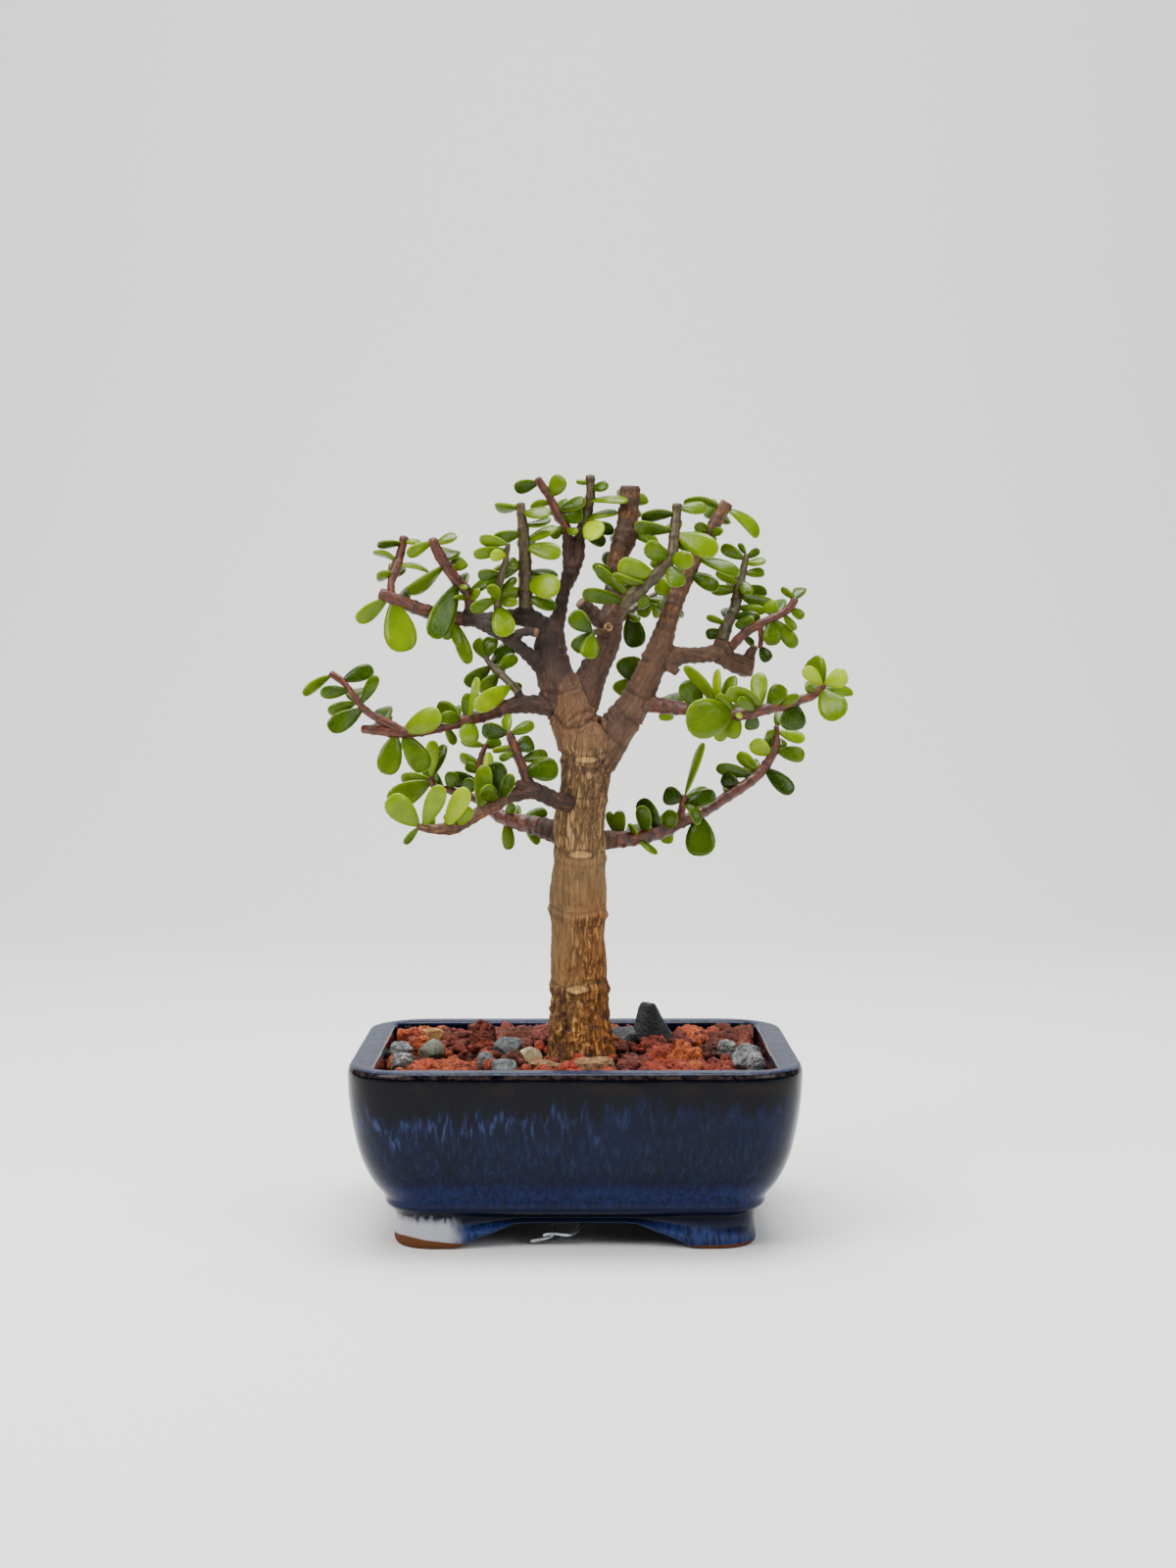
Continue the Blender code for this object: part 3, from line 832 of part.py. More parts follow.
def back_leaves(name, points):
    """Leaves by rule for the side away from the eye: one to a step along the stem, each with a seeded lean."""
    rng = random.Random(name)
    route = [Vector((x, z)) for x, z, _, _ in points]
    length = sum((b - a).length for a, b in zip(route, route[1:]))
    rows = []
    for k in range(int(length / BACK_LEAF_STEP)):
        walk = (k + 0.6) * BACK_LEAF_STEP
        for (a, b) in zip(route, route[1:]):
            step = (b - a).length
            if walk <= step:
                break
            walk -= step
        place = a + (b - a) * min(walk / step, 1.0)
        turn = rng.uniform(-0.9, 0.9)
        tip = place + Vector((5.0 * math.sin(turn), 2.0 + 3.0 * math.cos(turn)))
        lean = rng.uniform(*BACK_LEAF_LEANS)
        width = rng.uniform(*BACK_LEAF_WIDTHS)
        rows.append((place.x, place.y, tip.x, tip.y, lean, width, BACK_LEAF_ROLL, 0.0))
    return rows


def settled_leaves():
    """Every leaf's root, tip, width, roll and curl, each leaned or shortened until it clears the rest."""
    tubes = {}
    for limb in LIMBS:
        tubes.setdefault("trunk", []).append(lofted(limb_rings(limb)))
    ends = {name: points[-1] for name, _, points in LIMBS}
    for name, limb, _, points, shoots, _ in STEMS:
        for route in ((ends[limb],) + points,) + shoots:
            places, radii = grown(route)
            tubes.setdefault(name, []).append(lofted(tube(places, radii, STEM_SIDES)))
    solid = {name: [BVHTree.FromPolygons(*shape) for shape in shapes] for name, shapes in tubes.items()}
    full = []
    leaves = {}
    for name, limb, _, points, shoots, read in STEMS:
        routes = ((ends[limb],) + points,) + shoots
        rows = list(read)
        for route in routes:
            rows += back_leaves(name, route)
        others = [tree for other, trees in solid.items() if other != name for tree in trees]
        kept = []
        own_outer = []
        for base_x, base_z, tip_x, tip_z, lean, width, roll, curl in rows:
            x, z, y = min(
                (nearest_on_route(base_x, base_z, route) for route in routes),
                key=lambda place: math.hypot(place[0] - base_x, place[1] - base_z),
            )
            root = seen(x, z, y)
            for share in LENGTH_TRIES:
                for more in LEAN_TRIES:
                    end = seen(x + (tip_x - x) * share, z + (tip_z - z) * share, y + (lean + more) * share)
                    spec = (root, end, width * share, roll, curl)
                    whole = BVHTree.FromPolygons(*blade(*spec, grow=CLEAR_BY))
                    if any(whole.overlap(tree) for tree in others):
                        continue
                    if any(whole.overlap(tree) for owner, tree in full if owner != name):
                        continue
                    outer = BVHTree.FromPolygons(*blade(*spec, start=OUTER_SHARE))
                    if any(outer.overlap(tree) for tree in own_outer + solid[name]):
                        continue
                    break
                else:
                    continue
                break
            else:
                continue
            full.append((name, BVHTree.FromPolygons(*blade(*spec))))
            own_outer.append(outer)
            kept.append(spec)
        leaves[name] = kept
    return leaves


def make_trunk():
    """The trunk, its limbs, its cut stubs and its root end, grown as one piece."""
    shapes = [
        new_object("limb_shape", *lofted(limb_rings(limb)), "bark_old")
        for limb in LIMBS[1:]
    ]
    trunk = new_object("trunk", *lofted(limb_rings(LIMBS[0])), "bark_old", 50)
    unite(trunk, shapes)
    trunk.data.set_sharp_from_angle(angle=math.radians(50))


def make_stems():
    """Each leafy stem with its leaves, its cut face just clear of the limb that bore it."""
    leaves = settled_leaves()
    limbs = {limb[0]: limb for limb in LIMBS}
    for name, limb, colour, points, shoots, _ in STEMS:
        places, _ = grown(limbs[limb][2])
        end = (places[-1] - places[-2]).normalized()
        places, radii = grown((limbs[limb][2][-1],) + points)
        places[0] = places[0] + end * GAP
        stem = new_object(name, *lofted(tube(places, radii, STEM_SIDES, end)), colour)
        shapes = []
        for route in shoots:
            places, radii = grown(route)
            shapes.append(new_object("shoot_shape", *lofted(tube(places, radii, STEM_SIDES)), colour))
        for spec in leaves[name]:
            shapes.append(new_object("leaf_shape", *blade(*spec), colour))
        unite(stem, shapes)
        stem.data.set_sharp_from_angle(angle=math.radians(SOFT_EDGE))


def main():
    """The whole object, in an emptied scene."""
    for old in list(bpy.data.objects):
        bpy.data.objects.remove(old)
    make_pot()
    make_mesh()
    make_wire()
    make_soil_and_bed()
    make_loose_stones()
    make_trunk()
    make_stems()


main()
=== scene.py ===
"""Dresses a dwarf jade bonsai in its blue glazed pot: each piece is modelled over its solid, with its own finish.

Measured points of the tree are written in millimetres as x, z, y: x and z are where an eye at EYE sees them on
the trunk's own plane, and y is how far they lie behind that plane, or before it if less than 0.
"""

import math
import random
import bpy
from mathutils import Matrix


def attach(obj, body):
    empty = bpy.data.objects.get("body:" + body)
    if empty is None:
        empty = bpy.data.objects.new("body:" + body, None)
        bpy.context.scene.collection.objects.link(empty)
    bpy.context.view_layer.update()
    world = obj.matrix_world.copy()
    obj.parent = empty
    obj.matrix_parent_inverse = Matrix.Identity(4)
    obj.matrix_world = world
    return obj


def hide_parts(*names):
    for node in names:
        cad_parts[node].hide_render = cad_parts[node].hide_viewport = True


bl_info = {
    "name": "Dwarf jade bonsai",
    "version": (1, 0, 0),
    "blender": (4, 5, 0),
    "location": "View3D > Sidebar > Bonsai",
    "description": "Models a dwarf jade bonsai in a glazed pot, piece by piece",
    "category": "Object",
}

import bmesh
import bpy
import numpy as np
from bpy.props import FloatProperty, FloatVectorProperty, IntProperty, PointerProperty
from mathutils import Matrix, Vector, noise
from mathutils.bvhtree import BVHTree

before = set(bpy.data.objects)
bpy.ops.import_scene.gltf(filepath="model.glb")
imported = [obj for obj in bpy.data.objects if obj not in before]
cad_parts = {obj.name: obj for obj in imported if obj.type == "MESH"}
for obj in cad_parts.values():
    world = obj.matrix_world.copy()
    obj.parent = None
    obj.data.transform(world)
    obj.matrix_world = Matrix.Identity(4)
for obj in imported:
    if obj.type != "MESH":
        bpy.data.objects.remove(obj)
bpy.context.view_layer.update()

MM = 0.001
EYE = Vector((0.0, -770.0, 187.0))
SOFT = {"interpolation_type": "SMOOTHSTEP"}

# Pot levels in millimetres: height, half-width and corner radius. Its depth is always this much less each side.
HALF_DIFFERENCE = 15.0
WIDEST = (57.0, 76.0, 22.0)
FOOT_INSIDE = ((9.5, 53.2, 6.0), (9.1, 53.2, 6.0), (1.0, 53.2, 6.0), (0.25, 53.5, 6.3))
FOOT_UNDER = ((0.0, 54.2, 7.0), (0.0, 57.0, 9.8))
POT_OUTSIDE = (
    (0.0, 59.8, 12.5), (0.3, 60.5, 13.2), (1.2, 61.1, 13.9), (2.6, 61.2, 14.0), (5.4, 60.9, 14.0), (8.2, 60.5, 14.0),
    (10.2, 60.7, 14.2), (11.6, 61.6, 14.6), (12.8, 62.9, 15.0), (13.7, 63.8, 15.4), (14.5, 64.15, 15.5),
    (15.4, 64.1, 15.5), (16.0, 64.0, 15.6), (17.6, 65.0, 16.1), (20.5, 67.3, 17.0), (23.5, 69.0, 17.8),
    (26.5, 70.4, 18.5), (30.0, 71.8, 19.2), (34.0, 72.9, 20.0), (39.0, 74.0, 20.8), (44.0, 74.9, 21.5),
    (50.0, 75.6, 21.8), (54.0, 75.9, 22.0), WIDEST, (59.2, 76.0, 22.0), (60.5, 75.7, 21.8), (61.2, 75.1, 21.4),
    (61.5, 74.2, 20.8),
)
POT_INSIDE = (
    (61.5, 71.0, 14.0), (61.45, 68.4, 8.6), (61.1, 67.5, 7.5), (60.3, 66.6, 6.7), (58.0, 66.2, 6.5), (44.0, 66.0, 6.5),
    (31.0, 64.5, 7.0), (21.0, 60.5, 8.0), (16.5, 56.5, 9.0), (14.5, 52.5, 9.0),
)
CORNER_PIECES = 9
FRONT_PIECES = 52
SIDE_PIECES = 34
ARCH_FADE = 11.5
NEAR_EDGE = 10.0
ARCH_FROM_CORNER = 20.5
ARCH = ((0.0, 0.0), (3.0, 0.9), (7.0, 3.2), (12.0, 5.0), (17.0, 6.9), (21.0, 8.6), (25.0, 8.8))
FOOT_LENGTHS = (61.2, 46.2)
WAVY_FROM = 18.0
DRAIN_RADIUS = 9.0
DRAIN_LEVELS = (14.5, 14.1, 9.9, 9.5)

# Stage, in metres: each soft light's name, place, what it points at, size, share of the power and colour.
LIGHTS = (
    ("key_softbox", (-0.85, -0.75, 1.05), (0.0, 0.0, 0.12), 0.8, 1.0, (1.0, 0.98, 0.95)),
    ("fill_softbox", (0.95, -0.75, 0.75), (0.0, 0.0, 0.12), 0.8, 0.45, (0.95, 0.98, 1.0)),
    ("top_softbox", (0.0, 0.05, 1.1), (0.0, 0.0, 0.12), 0.7, 0.75, (1.0, 1.0, 1.0)),
    ("paper_softbox", (0.0, 0.35, 1.9), (0.0, 1.5, 0.7), 1.4, 1.5, (1.0, 1.0, 1.0)),
)
SKY = ((0.93, 0.95, 1.0, 1.0), 0.12)
CAMERA_DOWN = 2.545
CAMERA_RIGHT = 0.331
LENS = 50.6

# Wire clip, in millimetres.
WIRE_RADIUS = 0.6
WIRE_STEP = 0.8
WIRE_ROUTE = (
    (-15.0, -39.6, 1.4), (-11.0, -39.8, 2.2), (-7.8, -39.2, 3.2), (-6.6, -33.0, 5.0), (-4.4, -18.0, 7.4),
    (-3.0, -5.4, 8.6), (-3.0, -3.7, 8.9), (-3.0, -3.0, 10.0), (-3.0, -3.0, 15.3), (-2.6, -3.0, 16.2),
    (-1.6, -3.0, 16.5), (1.6, -3.0, 16.5), (2.6, -3.0, 16.2), (3.0, -3.0, 15.3), (3.0, -3.0, 10.0),
    (3.0, -3.7, 8.9), (3.0, -5.4, 8.6), (3.4, -19.0, 7.6), (1.2, -34.0, 4.4), (-2.2, -41.0, 3.8),
    (-7.0, -42.0, 4.6), (-10.8, -41.8, 3.9),
)

# Filling, in millimetres.
SOIL_TOP = 49.7
BED_TOP = 55.5
BED_PLAN = (66.0, 6.5)
WALL_GAP = 0.4
GAP = 0.3
SOIL_TO_LAVA = 0.8
LAVA_SPACING = 11.2
LAVA_HALF_SIZES = (6.0, 7.2)
LAVA_SINK = -2.4
MOUND_HEIGHT = 2.6
MOUND_RADIUS = 48.0
BACK_HEAP = 2.4
LAVA_TILT = 0.6
STONE_SUNK_SHARE = 0.36

# Leaves, in millimetres and shares of a leaf's own length and width.
LEAF_THICKNESS = 1.9
LEAF_RINGS = ((0.26, 0.50, 0.80), (0.62, 1.00, 1.00), (0.88, 0.72, 0.75))
SMALL_LEAF_RINGS = ((0.34, 0.66, 0.85), (0.76, 0.98, 0.95))
SMALL_LEAF_LENGTH = 14.0
WIDE_PEAK = 0.4485
THICK_PEAK = 0.5835
OUTER_SHARE = 0.42
BACK_LEAF_STEP = 12.0
BACK_LEAF_LEANS = (8.0, 11.0)
BACK_LEAF_WIDTHS = (6.5, 9.0)
BACK_LEAF_ROLL = 20.0
BACK_LEAF_TONE = 35
CLEAR_BY = 0.4
LEAN_TRIES = (0.0, -2.0, 2.0, -4.0, 4.0, -6.0, 6.0, -8.5, 8.5, -11.0, 11.0)
LENGTH_TRIES = (1.0, 0.85, 0.7)
STEM_SIDES = 5
STEM_STEP = 0.7
STEM_INTO_LIMB = 0.8
JOINT_STEPS = {"bark_young": 3.5, "stem_red": 5.0, "stem_green": 5.5}

# Limbs of the trunk: name, sides, and points x, z, y, radius.
LIMBS = (
    ("trunk", 12, (
        (2.0, 28, 1, 2.5), (2.0, 38, 1, 6.5), (2.0, 47, 0, 10.6), (2.0, 55, 0, 12.6), (1.9, 61, 0, 11.7),
        (1.5, 69, 0, 10.7), (1.1, 78, 0, 10.0), (1.1, 81, 0, 10.4), (1.0, 85, 0, 9.7), (1.0, 104, 0, 9.8),
        (1.1, 107.3, 0, 10.4), (1.0, 110.5, 0, 9.8), (1.2, 122, 0, 9.7), (1.5, 128.5, 0, 9.4), (1.7, 139, 0, 9.0),
        (2.6, 148, 0, 8.8), (3.4, 155, 0, 8.6), (3.9, 161, 0, 9.1), (4.4, 167, 0, 9.8), (3.4, 173, 0, 9.0),
    )),
    ("fork_left", 10, ((2.0, 166, 0, 8.8), (-0.2, 175, 0, 8.8), (-1.3, 181, 0, 8.4), (-3.0, 185.5, 0, 7.6))),
    ("limb_left", 9, (
        (-3.6, 181, 0, 7.2), (-6.6, 189, 0, 6.7), (-8.3, 196, 1, 6.2), (-8.8, 202, 1, 5.6), (-8.0, 206.8, 1, 4.4),
    )),
    ("limb_top", 7, (
        (-8.0, 204, 1, 3.6), (-6.0, 210.5, 2, 2.9), (-5.0, 215, 3, 2.5), (-4.0, 220, 4, 2.4), (-1.8, 226, 4, 3.1),
        (-1.2, 230, 5, 2.8),
    )),
    ("limb_top_red", 7, ((-1.8, 226, 4, 2.2), (-2.7, 232, 5, 2.1), (-2.7, 239.4, 6, 2.0))),
    ("limb_top_centre", 7, ((-0.8, 226, 4, 2.2), (1.3, 232, 5, 2.1), (1.6, 239.0, 6, 2.0))),
    ("limb_left_upper", 7, (
        (-9, 205.5, 1, 4.2), (-14, 209.5, 1, 3.7), (-18, 211, 1, 3.4), (-24, 211, 2, 2.8), (-30, 210.3, 3, 2.6),
        (-36.2, 210.1, 4, 2.7), (-40.2, 210.5, 3.5, 2.7),
    )),
    ("stub_left_upright", 6, ((-17.3, 210, 1, 2.9), (-17.3, 215, 0, 2.7))),
    ("stub_left_red", 6, ((-36.4, 210, 4, 2.2), (-36.6, 214.4, 3.5, 2.2))),
    ("stub_left_inner", 6, ((-26.3, 210.8, 2, 1.9), (-27.0, 213.9, -1.5, 1.6))),
    ("limb_left_lower", 7, (
        (-10, 192, -1, 3.6), (-14, 196, -3, 3.0), (-18, 199.3, -5, 2.5), (-22, 202.6, -5, 2.4), (-28, 206.3, -2, 2.4),
        (-34, 209.2, 3, 2.3),
    )),
    ("stub_left_cut", 6, ((-22.5, 203, -5, 1.7), (-18, 206, -8, 1.8), (-12.8, 205.3, -9, 1.7))),
    ("limb_centre", 9, (
        (2.4, 181, 0, 6.4), (5.1, 189, 0, 5.5), (7.8, 195, -1, 5.0), (10.4, 200, -1, 4.7), (12.0, 205, -2, 4.4),
        (12.7, 210, -2, 4.2), (13.3, 214.5, 0, 3.9), (13.6, 218, 2, 3.7),
    )),
    ("stub_centre_cut", 6, ((11, 208, -2, 3.4), (6, 212.3, -4, 3.0), (1.6, 216.6, -6, 2.4))),
    ("stub_centre_right", 6, ((13.0, 210.5, -4, 3.2), (16.8, 215.4, -7.5, 2.7))),
    ("stub_centre_front", 6, ((11.2, 205, -4, 1.8), (8.9, 205.8, -8.5, 1.4))),
    ("stub_centre_back", 6, ((13.6, 208.5, 1, 2.0), (16.4, 211, 7.5, 1.6))),
    ("limb_right", 10, (
        (7.2, 161, 0, 7.4), (12.3, 169, 0, 6.9), (16.6, 175, 0, 6.4), (20.8, 181, 0, 5.6), (23.8, 187, 0, 5.3),
        (26.4, 193, 0, 4.9), (28.5, 198.5, 0, 4.6), (30.3, 203, 0, 4.2), (31.4, 206.8, 0, 3.8),
    )),
    ("stub_right_back", 6, ((22.8, 184.5, 3, 2.2), (20.8, 186.6, 9.5, 1.7))),
    ("limb_right_upper", 7, (
        (29, 195.5, 0, 3.6), (35.2, 197.2, 1, 3.7), (38, 197.6, 1.5, 3.0), (44, 197.8, 3, 2.9), (50.8, 198.7, 5, 3.3),
    )),
    ("stub_right_upper", 6, ((50.2, 198.5, 5, 3.2), (51.3, 203.4, 5, 2.6))),
    ("stub_right_outer", 6, ((50.8, 198.4, 5, 2.2), (55.0, 201.2, 2.5, 1.8))),
    ("stub_right_cut", 6, ((50, 198, 5, 3.2), (55, 195.3, 6, 3.6), (59, 194, 6, 3.9), (62.3, 193.4, 6, 3.2))),
    ("stub_right_spur", 6, ((59.2, 195, 6, 2.2), (62.8, 201.2, 6, 1.6))),
    ("stub_right_small", 6, ((32.5, 194.5, -1, 2.2), (35.6, 191.6, -2, 1.7))),
    ("limb_right_middle", 7, ((21, 181, -1, 3.6), (25, 180.8, -2, 3.2), (28.2, 180.4, -2.6, 3.0))),
    ("limb_left_middle", 7, (
        (-5, 179.3, -1, 4.4), (-11, 180.3, -2, 3.7), (-16, 180.7, -3, 3.4), (-21, 180.2, -4, 3.1),
        (-24.6, 179.4, -5, 2.9),
    )),
    ("stub_left_middle", 6, ((-18.2, 181.5, -3, 1.9), (-20.2, 185.2, -3, 1.6))),
    ("limb_low_left_front", 7, (
        (-1, 145.6, -5, 3.2), (-6, 146.8, -9, 3.1), (-10, 148.6, -11, 3.1), (-15, 150.6, -13, 3.3),
        (-19, 149.4, -14, 2.7), (-25, 147.6, -16, 2.4),
    )),
    ("stub_low_left_up", 6, ((-15.2, 150.8, -13, 2.4), (-17.4, 155.4, -13, 2.0))),
    ("stub_low_left_cut", 6, ((-17, 151.3, -14, 1.9), (-20.4, 153.3, -16, 1.5))),
    ("limb_low_left_back", 7, ((-2, 134.5, 4, 4.4), (-8, 136.4, 6, 4.2), (-13, 138, 8, 3.6))),
    ("limb_low_right", 7, ((5, 133.6, 4, 4.0), (10.5, 133.2, 6, 3.6), (14, 133.3, 7, 3.3))),
)

